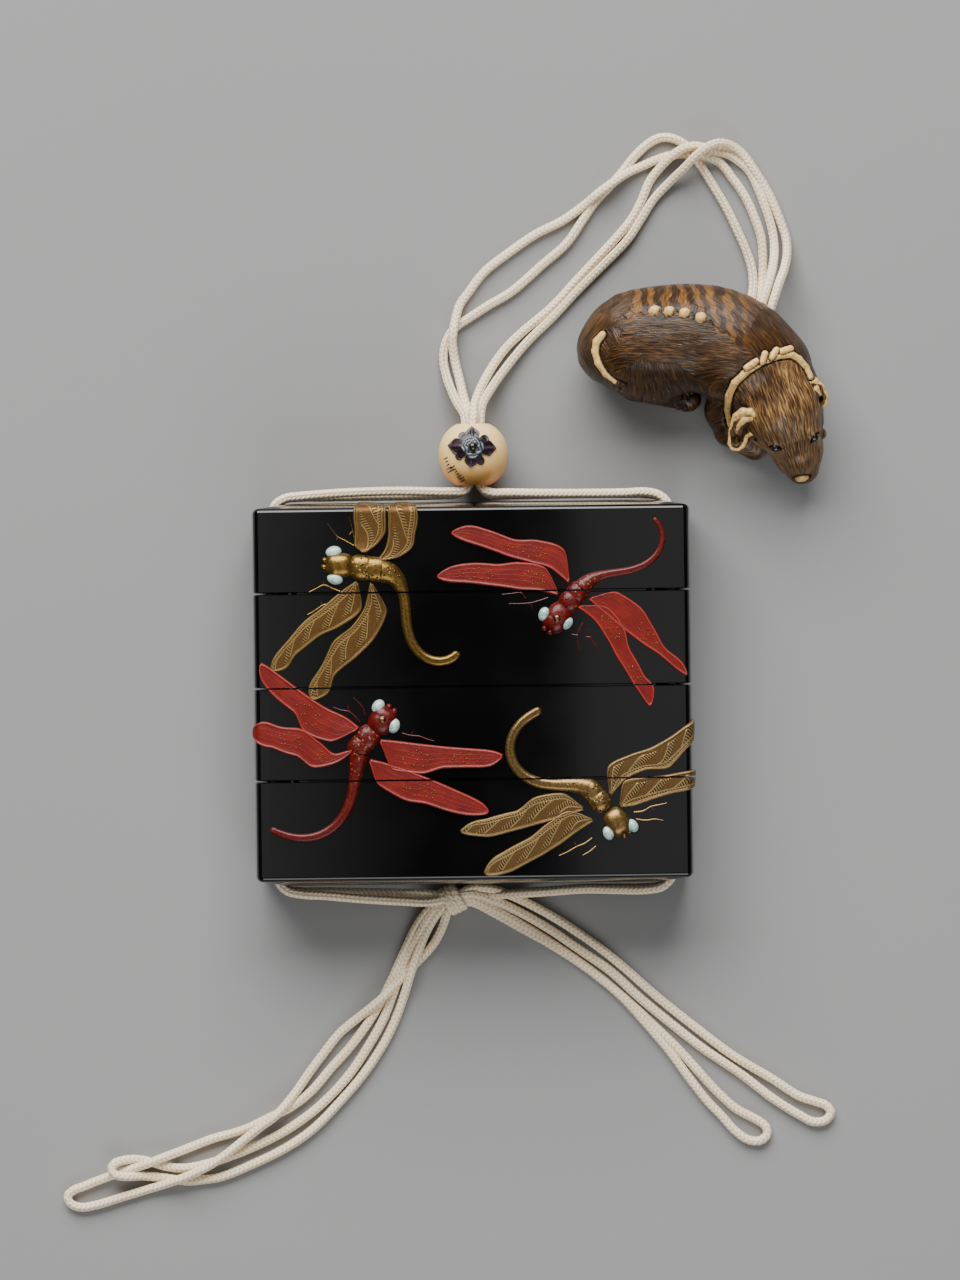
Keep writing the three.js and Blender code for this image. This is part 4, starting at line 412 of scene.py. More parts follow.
L = Look("paper_grey")
c = L.coord()
grain = L.noise(L.stretch(c, (1, 1, 1)), 900.0, 2.0)
broad = L.noise(c, 3.0, 2.0)
col = L.mix(L.fit(broad, 0.3, 0.7), (0.262, 0.2625, 0.264), (0.277, 0.2775, 0.279))
L.set(Base_Color=col, Roughness=0.85, Normal=L.bump(grain, 0.00004, 0.3))
L.b.inputs["Specular IOR Level"].default_value = 0.2
floor = mesh_object("floor", [(-2500, -2500, 0), (2500, -2500, 0), (2500, 2500, 0), (-2500, 2500, 0)], [(0, 1, 2, 3)], [L.m], smooth=False)


def area(name, at, to, sx, sy, watts, color=(1, 1, 1), spread=180):
    d = bpy.data.lights.new(name, "AREA")
    d.shape = "RECTANGLE"
    d.size, d.size_y = sx, sy
    d.energy = watts
    d.color = color
    d.spread = math.radians(spread)
    o = bpy.data.objects.new(name, d)
    o.location = at
    o.rotation_euler = (Vector(to) - Vector(at)).to_track_quat("-Z", "Y").to_euler()
    bpy.context.scene.collection.objects.link(o)
    return o


world = bpy.data.worlds.new("studio")
bpy.context.scene.world = world
world.use_nodes = True
world.node_tree.nodes["Background"].inputs[0].default_value = (0.95, 0.97, 1.0, 1)
world.node_tree.nodes["Background"].inputs[1].default_value = 0.03
key = area("key", (-0.17, 0.98, 0.74), (0, -0.02, 0), 1.3, 0.9, 42.0, (1.0, 0.99, 0.975))
area("low_fill", (0.25, -1.3, 1.0), (0, 0, 0), 1.4, 0.9, 14.0)


def ceiling(name, lo, hi, deep, radiance):
    """A panel that faces straight down, from lo to hi across."""
    w = hi - lo
    area(name, ((lo + hi) / 2, 0.0, 1.5), ((lo + hi) / 2, 0.0, 0), w, deep, radiance * math.pi * w * deep)
    bpy.data.objects[name].rotation_euler = (0, 0, 0)


ceiling("right_panel", 0.118, 0.9, 1.3, 0.56)
ceiling("right_fall", 0.100, 0.118, 1.3, 0.3)
steps = [-0.9, -0.225, -0.195, -0.165, -0.135, -0.105, -0.075]
for i, radiance in enumerate((0.50, 0.42, 0.31, 0.2, 0.12, 0.06)):
    ceiling(f"left_panel_{i + 1}", steps[i], steps[i + 1], 1.3, radiance)


# ------------------------------------------------------------------ the case
def outline(a, z0, z1, front=2.9, side=7.0, back=5.0, rf=1.2, rb=1.6, flat=22.0, n=(48, 8, 6, 6)):
    """The case's outline across x and z, counter-clockwise from +x, in mm."""
    nf, ns, ne, nb = n
    al, be, ga = math.radians(front), math.radians(side), math.radians(back)
    h, mid = (z1 - z0) / 2 - 1, (z0 + z1) / 2
    for _ in range(30):
        xe = a - h * math.tan(be / 2)
        cf = xe - rf * math.cos(be)
        cb = xe - rb * math.cos(be)
        Rf = (cf + rf * math.sin(al)) / math.sin(al)
        Rb = (cb + rb * math.sin(ga) - flat) / math.sin(ga)
        s = z1 - Rf * (1 - math.cos(al)) + rf * math.sin(be) - rf * math.cos(al)
        d = z0 + Rb * (1 - math.cos(ga)) - rb * math.sin(be) + rb * math.cos(ga)
        mid, h = (s + d) / 2, (s - d) / 2
    pts = []

    def arc(cx, cz, r, u, v, k, last=False):
        for i in range(k + (1 if last else 0)):
            t = u + (v - u) * i / k
            pts.append((cx + r * math.cos(t), cz + r * math.sin(t)))

    Rs, H, PI = h / math.sin(be), math.pi / 2, math.pi
    arc(xe - Rs * math.cos(be), mid, Rs, -be, be, ns)
    arc(cf, mid + h - rf * math.sin(be), rf, be, H - al, ne)
    arc(0, z1 - Rf, Rf, H - al, H + al, nf)
    arc(-cf, mid + h - rf * math.sin(be), rf, H + al, PI - be, ne)
    arc(-(xe - Rs * math.cos(be)), mid, Rs, PI - be, PI + be, ns)
    arc(-cb, mid - h + rb * math.sin(be), rb, PI + be, 3 * H - ga, ne)
    arc(-flat, z0 + Rb, Rb, 3 * H - ga, 3 * H, nb, True)
    arc(flat, z0 + Rb, Rb, 3 * H, 3 * H + ga, nb)
    arc(cb, mid - h + rb * math.sin(be), rb, 3 * H + ga, 4 * H - be, ne)
    return np.array(pts)


OUTER = outline(CASE_HALF_WIDTH, 0.0, CASE_DEPTH)


def inner(a, z0, z1):
    return outline(a, z0, z1, front=2, side=5, back=3, rf=2.2, rb=2.2, flat=20)


COMPARTMENT, RISER_OUT, SOCKET = inner(32.4, 2.1, 16.9), inner(33.2, 1.3, 17.7), inner(33.5, 1.0, 18.0)


def drawn_in(pts, t):
    d = np.roll(pts, -1, 0) - np.roll(pts, 1, 0)
    d /= np.linalg.norm(d, axis=1, keepdims=True)
    return pts + np.stack([-d[:, 1], d[:, 0]], 1) * t


def dome_end(y, s):
    """Rings of the rounded, domed end, from the side towards the middle."""
    out = []
    for i in range(7):
        f = math.pi / 2 * i / 6
        out.append((drawn_in(OUTER, 1 - math.cos(f)), y + s * (math.sin(f) - 1)))
    base = drawn_in(OUTER, 0.001)
    for t in (1.6, 2.6, 3.8, 5.0, 6.5, 8.0, 9.2):
        q = (MID_Z - t) / (MID_Z - 1)
        sx, sz = (CASE_HALF_WIDTH - t) / CASE_HALF_WIDTH, (MID_Z - t) / MID_Z
        pts = np.stack([base[:, 0] * sx, MID_Z + (base[:, 1] - MID_Z) * sz], 1)
        out.append((pts, y + s * END_DOME * (1 - q * q)))
    return out


def closed_loft(rings):
    """rings: list of (outline, y), from the first fan to the last."""
    n = len(rings[0][0])
    v = []
    for pts, y in rings:
        v.append(np.stack([pts[:, 0], np.full(n, y), pts[:, 1]], 1))
    v = np.vstack(v)
    i, j = np.meshgrid(np.arange(len(rings) - 1), np.arange(n), indexing="ij")
    q = np.stack([i * n + j, (i + 1) * n + j, (i + 1) * n + (j + 1) % n, i * n + (j + 1) % n], -1).reshape(-1, 4)
    faces = [tuple(f) for f in q]
    first, last = len(v), len(v) + 1
    v = np.vstack([v, v[:n].mean(0), v[-n:].mean(0)])
    base = (len(rings) - 1) * n
    for k in range(n):
        faces.append((first, k, (k + 1) % n))
        faces.append((last, base + (k + 1) % n, base + k))
    return v, faces


def oval_prism(name, x, hx, hz, y0, y1, k=28):
    r = min(hx, hz)
    ring = []
    for i in range(k):
        t = (i + 0.5) * 2 * math.pi / k
        ring.append((x + r * math.cos(t) + math.copysign(hx - r, math.cos(t)), MID_Z + r * math.sin(t) + math.copysign(hz - r, math.sin(t))))
    v = [(p[0], y, p[1]) for y in (y0, y1) for p in ring]
    f = [(i, (i + 1) % k, k + (i + 1) % k, k + i) for i in range(k)]
    f += [tuple(range(k))[::-1], tuple(range(k, 2 * k))]
    return mesh_object(name, v, f, smooth=False)


def outward(o):
    bm = bmesh.new()
    bm.from_mesh(o.data)
    bmesh.ops.recalc_face_normals(bm, faces=bm.faces)
    bm.to_mesh(o.data)
    bm.free()


def apply_modifiers(o):
    dg = bpy.context.evaluated_depsgraph_get()
    me = bpy.data.meshes.new_from_object(o.evaluated_get(dg))
    old = o.data
    o.modifiers.clear()
    o.data = me
    me.name = o.name
    bpy.data.meshes.remove(old)


L = Look("black_lacquer")
c = L.coord()
film = L.noise(c, 60.0, 3.0, 0.5)
fine = L.noise(c, 1400.0, 2.0, 0.5)
L.set(
    Base_Color=L.mix(L.fit(film, 0.35, 0.65), (0.0016, 0.0014, 0.0014), (0.0024, 0.0021, 0.0021)),
    Roughness=L.fit(film, 0.3, 0.7, 0.07, 0.12),
    IOR=1.5,
    Normal=L.bump(fine, 0.000002, 0.15),
)
LACQUER = L.m

G, CH = SEAM_GAP / 2, 0.14
RISE = drawn_in(RISER_OUT, 0.15)


def section(name, y0, y1, first=False, last=False):
    lo, hi = (y0 if last else y0 + G), (y1 if first else y1 - G)
    rings = []
    if first:
        rings += [(p, y) for p, y in reversed(dome_end(y1, 1))]
    else:
        floor_y = y0 + FLOOR + 0.4 if last else lo + SOCKET_DEPTH + FLOOR
        top = hi + RISER_HEIGHT
        small = COMPARTMENT * 0.3 + np.array([0, MID_Z]) * 0.7
        rings += [(small, floor_y), (drawn_in(COMPARTMENT, 0.4), floor_y), (COMPARTMENT, floor_y + 0.4), (COMPARTMENT, top), (RISE, top), (RISER_OUT, top - 0.15), (RISER_OUT, hi)]
        rings += [(drawn_in(OUTER, CH), hi), (OUTER, hi - CH)]
    if last:
        rings += dome_end(y0, -1)
    else:
        rings += [(OUTER, lo + CH), (drawn_in(OUTER, CH), lo), (SOCKET, lo), (SOCKET, lo + SOCKET_DEPTH)]
        if first:
            rings += [(COMPARTMENT, lo + SOCKET_DEPTH), (COMPARTMENT, y1 - 2.0)]
        tail = COMPARTMENT * 0.3 + np.array([0, MID_Z]) * 0.7
        rings.append((tail, rings[-1][1]))
    v, f = closed_loft(rings)
    o = mesh_object(name, v, f, [LACQUER])
    outward(o)
    cutters = []
    for s in (-1, 1):
        cutters.append(oval_prism("cut", s * CHANNEL_X, CHANNEL_HALF_X, CHANNEL_HALF_Z, -45, 45))
        if first:
            cutters.append(oval_prism("cut", s * (CHANNEL_X - 0.7), CHANNEL_HALF_X + 0.9, CHANNEL_HALF_Z + 0.2, RIM_TOP - MOUTH_DEPTH, 45))
        if last:
            cutters.append(oval_prism("cut", s * (CHANNEL_X - 0.7), CHANNEL_HALF_X + 0.9, CHANNEL_HALF_Z + 0.2, -45, RIM_BOTTOM + MOUTH_DEPTH))
    for cutter in cutters:
        outward(cutter)
        m = o.modifiers.new("cut", "BOOLEAN")
        m.operation, m.solver, m.object = "DIFFERENCE", "EXACT", cutter
    apply_modifiers(o)
    for cutter in cutters:
        bpy.data.objects.remove(cutter)
    o.data.polygons.foreach_set("use_smooth", [True] * len(o.data.polygons))
    o.data.set_sharp_from_angle(angle=math.radians(24))
    return piece(o, name, slot="lacquer")


lid = section("lid", SEAMS[0], RIM_TOP, first=True)
upper_case = section("upper_case", SEAMS[1], SEAMS[0])
middle_case = section("middle_case", SEAMS[2], SEAMS[1])
lower_case = section("lower_case", RIM_BOTTOM, SEAMS[2], last=True)


# ------------------------------------------------------------------ the cord
def tunnel_line(across, outside):
    low, high, inw, depth = TUNNEL["low"], TUNNEL["high"], TUNNEL["inwards"], TUNNEL["depth"]
    side = (-inw[1] * across, inw[0] * across)
    at = lambda p, s: [p[0] + side[0] - inw[0] * s, p[1] + side[1] - inw[1] * s, p[2]]
    a, b = at(low, -depth), at(high, -depth)
    half = math.dist(a, b) / 2
    turn = []
    for i in range(1, 6):
        t = i * math.pi / 6
        cc, ss = math.cos(t), math.sin(t) * half
        turn.append([(a[k] + b[k]) / 2 + (a[k] - b[k]) / 2 * cc + (inw[k] * ss if k < 2 else 0) for k in range(3)])
    return [at(low, outside), at(low, 0), at(low, -depth / 2), a, *turn, b, at(high, -depth / 2), at(high, 0), at(high, outside)]


def back(p):
    return p[::-1]


def in_case(x, z):
    return [[x, 18, z], [x, 0, z], [x, -18, z]]


def bore(x, z):
    return [[BEAD["x"] + x, 46.8, BEAD_Z + z], [BEAD["x"] + x, 44.6, BEAD_Z + z]]


def through_dog(across):
    return [[x + NETSUKE[0], y + NETSUKE[1], z] for x, y, z in tunnel_line(across, 1.5)]


KNOT = (-4.05, -37.45, 2.75)
KX, KY, KZ = KNOT
ROUTE = (
    [[KX, KY + 0.3, KZ + 0.9]]
    + back(RUNS["lowLeft1"]) + back(in_case(-CHANNEL_X, 10.7)) + back(RUNS["topLeft1"]) + back(bore(-1.25, 0)) + RUNS["a"] + through_dog(-TUNNEL["apart"])
    + back(RUNS["c"]) + bore(0, 1.25) + RUNS["topRight1"] + in_case(CHANNEL_X, 10.7) + RUNS["lowRight1"] + [[KX + 1, KY + 0.3, KZ]]
    + [[KX - 0.4, KY - 0.8, KZ + 0.6]] + RUNS["leftOuter"] + [[KX - 0.6, KY, KZ + 0.4], [KX + 0.8, KY + 0.6, KZ + 0.9]]
    + RUNS["rightOuter"] + [[KX + 0.4, KY + 0.3, KZ + 1.0], [KX - 0.6, KY - 0.6, KZ + 0.6]]
    + RUNS["leftInner"] + [[KX - 0.8, KY - 0.6, KZ], [KX + 0.6, KY - 0.2, KZ]]
    + RUNS["rightInner"] + [[KX + 0.3, KY - 0.5, KZ - 0.4], [KX - 0.8, KY + 0.2, KZ - 0.4]]
    + back(RUNS["lowLeft2"]) + back(in_case(-CHANNEL_X, 8.3)) + back(RUNS["topLeft2"]) + back(bore(0, -1.25)) + RUNS["b"] + through_dog(TUNNEL["apart"])
    + back(RUNS["d"]) + bore(1.25, 0) + RUNS["topRight2"] + in_case(CHANNEL_X, 8.3) + RUNS["lowRight2"] + [[KX + 1, KY + 0.3, KZ - 1]]
)
CORD_STEP = 0.36
cord_line = smooth_path(ROUTE, CORD_STEP, floor_z=CORD_D / 2 + 0.02)

PLAIT, COLUMNS = 0.86, 6  # length of one stitch in mm, columns of stitches round the cord


def plait(s, a):
    """Relief of the herringbone plait, 0 in the grooves and 1 on the stitches."""
    u = a * COLUMNS / (2 * np.pi)
    k = np.floor(u)
    f = u - k
    lean = np.where(k % 2 == 0, f, 1 - f)
    ph = s / PLAIT + lean * 0.75
    return np.abs(np.sin(np.pi * ph)) ** 0.7 * (0.35 + 0.65 * np.sin(np.pi * f) ** 0.6)


def cord_wave(s, a):
    return 0.955 + 0.085 * plait(s, a) + 0.012 * np.sin(s * 1.7 + 2 * a) * np.sin(s * 0.37)


L = Look("silk_plait")
uv = L.split(L.attr("cord"))
s_, a_ = uv[0], uv[1]
u = L.math("MULTIPLY", a_, COLUMNS / (2 * math.pi))
k = L.math("FLOOR", u)
f = L.math("SUBTRACT", u, k)
even = L.math("MODULO", k, 2.0)
lean = L.math("ABSOLUTE", L.math("SUBTRACT", f, even))
phase = L.math("ADD", L.math("DIVIDE", s_, PLAIT), L.math("MULTIPLY", lean, 0.75))
wave = L.math("ABSOLUTE", L.math("SINE", L.math("MULTIPLY", phase, math.pi)))
mid = L.math("SINE", L.math("MULTIPLY", f, math.pi))
stitch = L.math("MULTIPLY", L.math("POWER", wave, 0.7), L.math("MULTIPLY_ADD", mid, 0.65, 0.35))
threads = L.noise(L.merge(L.math("MULTIPLY", s_, 1.6), L.math("MULTIPLY", lean, 9.0), k), 1.6, 3.0, 0.6)
soil = L.noise(L.coord(), 55.0, 3.0, 0.6)
# the stitch relief also sets the colour: tan in the plait's grooves as painted shade, near white on the stitch tops as
# painted highlight
silk = L.ramp(L.math("MULTIPLY_ADD", threads, 0.35, L.math("MULTIPLY", stitch, 0.72)), [(0.0, srgb(152, 108, 68)), (0.28, srgb(228, 194, 150)), (0.58, srgb(255, 237, 204)), (1.0, srgb(255, 250, 230))])
silk = L.mix(L.fit(soil, 0.45, 0.8, 0.0, 0.25), silk, srgb(222, 192, 150), "MULTIPLY")
L.set(Base_Color=silk, Roughness=L.fit(stitch, 0.0, 1.0, 0.75, 0.5), Normal=L.bump(L.math("MULTIPLY_ADD", threads, 0.3, stitch), 0.00012, 0.8))
L.b.inputs["Sheen Weight"].default_value = 0.25
L.b.inputs["Sheen Roughness"].default_value = 0.4
L.b.inputs["Specular IOR Level"].default_value = 0.35
SILK = L.m

v, f, at = sweep(cord_line, CORD_D / 2, 18, cord_wave)
cord = mesh_object("cord", v, f, [SILK])
point_attribute(cord, "cord", at)
piece(cord, "cord", slot="silk")

# the knot's three turns round the bundle
turn = math.radians(25)
axis = np.array([math.cos(turn), math.sin(turn), 0.0])
across = np.array([-math.sin(turn), math.cos(turn), 0.0])
wraps = []
for i in range(0, 3 * 40 + 1):
    ang = 2 * math.pi * i / 40 - 1.2
    q = np.array(KNOT) + axis * (-1.42 + 2.84 * i / 120) + across * (2.05 * math.cos(ang)) + np.array([0, 0, 1.0]) * (1.9 * math.sin(ang) + 0.02)
    wraps.append(q)
inside = np.array(KNOT)
wraps = [inside + (wraps[0] - inside) * 0.35] + wraps + [inside + (wraps[-1] - inside) * 0.35]
wl = smooth_path(wraps, 0.3, floor_z=CORD_D / 2 + 0.02)
v, f, at = sweep(wl, CORD_D / 2 * 0.97, 18, cord_wave)
knot = mesh_object("cord_knot", v, f, [SILK])
point_attribute(knot, "cord", at)
piece(knot, slot="silk")


# ---------------------------------------------------- the dragonflies in relief
STATIONS = np.array([0, 0.15, 0.35, 0.55, 0.75, 0.92, 1.0])


def profile(values, t):
    """Monotone cubic through the station values."""
    x, y = STATIONS, np.asarray(values, dtype=float)
    h, d = np.diff(x), np.diff(y) / np.diff(x)
    m = np.zeros(len(x))
    m[0], m[-1] = d[0], d[-1]
    for i in range(1, len(x) - 1):
        if d[i - 1] * d[i] > 0:
            w1, w2 = 2 * h[i] + h[i - 1], h[i] + 2 * h[i - 1]
            m[i] = (w1 + w2) / (w1 / d[i - 1] + w2 / d[i])
    i = np.clip(np.searchsorted(x, t, side="left") - 1, 0, len(x) - 2)
    s = (t - x[i]) / h[i]
    return (1 + 2 * s) * (1 - s) ** 2 * y[i] + s * (1 - s) ** 2 * h[i] * m[i] + s * s * (3 - 2 * s) * y[i + 1] + s * s * (s - 1) * h[i] * m[i + 1]


_fine = outline(CASE_HALF_WIDTH, 0.0, CASE_DEPTH, n=(240, 60, 40, 12))
_top = int(np.argmax(_fine[:, 1]))
_walk = _fine[: _top + 60 + 40 + 60 + 60]
_seg = np.concatenate([[0], np.cumsum(np.linalg.norm(np.diff(_walk, axis=0), axis=1))])
_s = -(_seg - _seg[_top])
_tan = np.gradient(_walk, axis=0)
_tan /= np.linalg.norm(_tan, axis=1, keepdims=True)
_nrm = np.stack([_tan[:, 1], -_tan[:, 0]], 1)
_order = np.argsort(_s)


def on_case(sx, sy, h):
    """The point at height h over the lacquer, sx across the front from its middle
    and sy along it, both measured on the surface, which turns down at every edge."""
    sx, sy, h = np.broadcast_arrays(*(np.asarray(q, dtype=float) for q in (sx, sy, h)))
    take = lambda a: np.interp(sx, _s[_order], a[_order])
    X, Z, NX, NZ = take(_walk[:, 0]), take(_walk[:, 1]), take(_nrm[:, 0]), take(_nrm[:, 1])
    sign = np.sign(sy)
    e = np.maximum(np.abs(sy) - (RIM_TOP - 1.0), 0.0)
    f = np.minimum(e, math.pi / 2)
    down = 1 - np.cos(f) + np.maximum(e - math.pi / 2, 0.0)
    q = np.clip((MID_Z - down) / (MID_Z - 1), 0, 1)
    swell = np.where(down > 1, END_DOME * (1 - q * q), 0.0)
    y = np.where(e > 0, sign * (RIM_TOP - 1 + np.sin(f) + swell), sy)
    cn, sn = np.cos(f), np.sin(f)
    return np.stack([X - NX * down + NX * cn * h, y + sign * sn * h, Z - NZ * down + NZ * cn * h], -1)


def s_of_x(x):
    """Distance along the front for a place x on it."""
    k = (_walk[_order, 1] > MID_Z)
    return np.interp(x, _walk[_order, 0][k], _s[_order][k])


def edge_columns(width):
    """Places across a strip of that width, close together near both edges."""
    e = np.array([0, 0.03, 0.08, 0.15, 0.23, 0.31, 0.4, 0.5, 0.62, 0.78]) * min(1.0, width / 2.4)
    inner_ = np.linspace(e[-1], width - e[-1], 17)[1:-1]
    return np.concatenate([e, inner_, width - e[::-1]])


def wing_mesh(w, thin):
    bx, by, tx, ty, bow = w[:5]
    length = math.hypot(tx - bx, ty - by)
    ux, uy = (tx - bx) / length, (ty - by) / length
    f = np.linspace(0, 1, 86)
    ts = (1 - np.cos(math.pi * f)) / 2
    full = lambda vals: profile([0.35, *vals, vals[4] * 0.8], ts) * np.sqrt(np.clip(1 - ts ** 7, 0, None))
    left, right_ = full(w[5:10]), full(w[10:15])
    rows, info, edges = [], [], []
    for i, t in enumerate(ts):
        width = max(left[i] + right_[i], 1e-3)
        c = edge_columns(width)
        off = bow * 4 * t * (1 - t) - right_[i] + c
        e = np.minimum(c, width - c)
        e = np.minimum(e, np.minimum(t, 1 - t) * length * 0.9 + 0.001)
        px = bx + ux * t * length - uy * off
        py = by + uy * t * length + ux * off
        edge = np.sqrt(np.clip(1 - (1 - np.clip(e / 0.28, 0, 1)) ** 2, 0, 1))
        rim = np.exp(-(((e - 0.27) / 0.17) ** 2))
        m = 2 * c / width - 1
        body = 0.06 * (1 - m * m) * min(1.0, width / 4)
        root = 0.25 * math.exp(-((t / 0.1) ** 2))
        h = edge * (thin + 0.15 * rim + body + root)
        rows.append(on_case(px, py, h))
        info.append(np.stack([np.full_like(c, t * length), m, np.full_like(c, width)], -1))
        edges.append(e)
    top = np.array(rows)
    n, k = top.shape[:2]
    ring = [(0, j) for j in range(k)] + [(i, k - 1) for i in range(1, n)] + [(n - 1, j) for j in range(k - 2, -1, -1)] + [(i, 0) for i in range(n - 2, 0, -1)]
    v = list(top.reshape(-1, 3))
    inf = list(np.array(info).reshape(-1, 3))
    ed = list(np.array(edges).reshape(-1))
    faces = []
    for i in range(n - 1):
        for j in range(k - 1):
            faces.append((i * k + j, i * k + j + 1, (i + 1) * k + j + 1, (i + 1) * k + j))
    base = len(v)
    for i, j in ring:
        v.append(top[i, j])
        inf.append(inf[i * k + j])
        ed.append(0.0)
    # the skirt goes a little way into the lacquer
    cx = np.array(v[base:])
    low = cx.copy()
    for a in range(len(ring)):
        p = cx[a]
        ny = max(0.0, (abs(p[1]) - (RIM_TOP - 1)) / 1.0)
        nz = math.sqrt(max(0.0, 1 - min(1.0, ny) ** 2))
        low[a] = p - 0.3 * np.array([0, math.copysign(min(1.0, ny), p[1]), nz])
    for a in range(len(ring)):
        v[base + a] = low[a]
    m = len(ring)
    idx = [i * k + j for i, j in ring]
    for a in range(m):
        b = (a + 1) % m
        faces.append((idx[b], idx[a], base + a, base + b))
    faces.append(tuple(base + a for a in range(m)))
    return np.array(v), faces, np.array(inf), np.array(ed)


def blob(x, y, a, b, c, turn, lift=0.0, square=2.0, nu=40, nv=20, bumps=None):
    """A low rounded lump on the front, a by b, standing c over a sunk middle."""
    u = np.linspace(0, 2 * np.pi, nu, endpoint=False)
    p = np.linspace(-np.pi / 2, np.pi / 2, nv + 1)[1:-1]
    U, P = np.meshgrid(u, p)
    sg = lambda q, n: np.sign(q) * np.abs(q) ** (2 / n)
    X, Y, Zz = a * sg(np.cos(U), square) * sg(np.cos(P), 2.2), b * sg(np.sin(U), square) * sg(np.cos(P), 2.2), c * sg(np.sin(P), 2.2)
    if bumps is not None:
        k = bumps(X, Y, Zz)
        X, Y, Zz = X * k, Y * k, Zz * k
    t = math.radians(turn)
    z0 = float(on_case(x, y, 0.0)[2]) - 0.3 + lift
    gx, gy = x + X * math.cos(t) - Y * math.sin(t), y + X * math.sin(t) + Y * math.cos(t)
    v = np.stack([gx, gy, z0 + Zz], -1).reshape(-1, 3)
    v = np.vstack([v, [[x, y, z0 - c], [x, y, z0 + c]]])
    n, k = U.shape
    faces = []
    for i in range(n - 1):
        for j in range(k):
            faces.append((i * k + j, i * k + (j + 1) % k, (i + 1) * k + (j + 1) % k, (i + 1) * k + j))
    for j in range(k):
        faces.append((n * k, (j + 1) % k, j))
        faces.append((n * k + 1, (n - 1) * k + j, (n - 1) * k + (j + 1) % k))
    inf = np.zeros((len(v), 3))
    inf[: n * k, 0] = X.ravel()
    inf[: n * k, 1] = Y.ravel()
    return v, faces, inf


def tail_mesh(d, sides=22, steps=130, joints=True):
    at, h, cc, length, r = d["at"], d["h"], d["c"], d["length"], d["r"]
    x, y = at
    pts, rad_, ang, ss = [], [], [], []
    fine_ = 520
    for i in range(fine_ + 1):
        s = i / fine_
        a = h + cc[0] * s + cc[1] * s * s + cc[2] * s ** 3
        if i % (fine_ // steps) == 0:
            k = r[0] + (r[1] - r[0]) * s / 0.25 if s < 0.25 else r[1] + (r[2] - r[1]) * (s - 0.25) / 0.75
            pts.append((x, y))
            ang.append(a)
            ss.append(s)
            tip = math.sqrt(max(0.0, 1 - (max(0.0, s - 0.97) / 0.03) ** 2))
            rad_.append(k * (0.15 + 0.85 * tip))
        x += math.cos(a) * length / fine_
        y += math.sin(a) * length / fine_
    v, inf = [], []
    for (px, py), a, k, s in zip(pts, ang, rad_, ss):
        seg = abs((s * 9.5) % 1 - 0.5) * 2  # 1 at the joints
        pinch = 1 - (0.04 if joints else 0.0) * max(0.0, (seg - 0.82) / 0.18) ** 2
        k *= 1 + (0.34 if joints else 0.12) * math.exp(-((s / 0.14) ** 2))
        z = float(on_case(px, py, 0.0)[2]) - 0.05
        for j in range(sides):
            t = 2 * math.pi * j / sides
            side, up_ = math.cos(t), math.sin(t)
            ridge = 1 - 0.13 * max(0.0, up_) ** 6 * min(1.0, s / 0.3)
            rr = k * pinch * ridge
            v.append((px - math.sin(a) * rr * side, py + math.cos(a) * rr * side, z + rr * 0.93 * (abs(up_) ** 0.9) * math.copysign(1, up_)))
            inf.append((s * length, side, k))
    n = len(pts)
    faces = []
    for i in range(n - 1):
        for j in range(sides):
            faces.append((i * sides + j, (i + 1) * sides + j, (i + 1) * sides + (j + 1) % sides, i * sides + (j + 1) % sides))
    faces.append(tuple(range(sides)))
    faces.append(tuple((n - 1) * sides + j for j in range(sides))[::-1])
    return np.array(v), faces, np.array(inf)


def dots(L, vec, scale, size, seed):
    """Small round dots at random places: 1 on a dot. Also a random value for each."""
    c = L.cells(L.stretch(vec, (scale, scale, scale), (seed, seed * 0.7, 0)), 1.0)
    on = L.fit(c.outputs["Distance"], size, size * 0.55)
    return on, L.split(c.outputs["Color"])


def wing_space(L):
    a = L.split(L.attr("wing"))
    half = L.math("MULTIPLY", a[2], 0.5)
    across = L.math("MULTIPLY", a[1], half)
    return a[0], a[1], a[2], across, L.merge(a[0], across, 0.0)


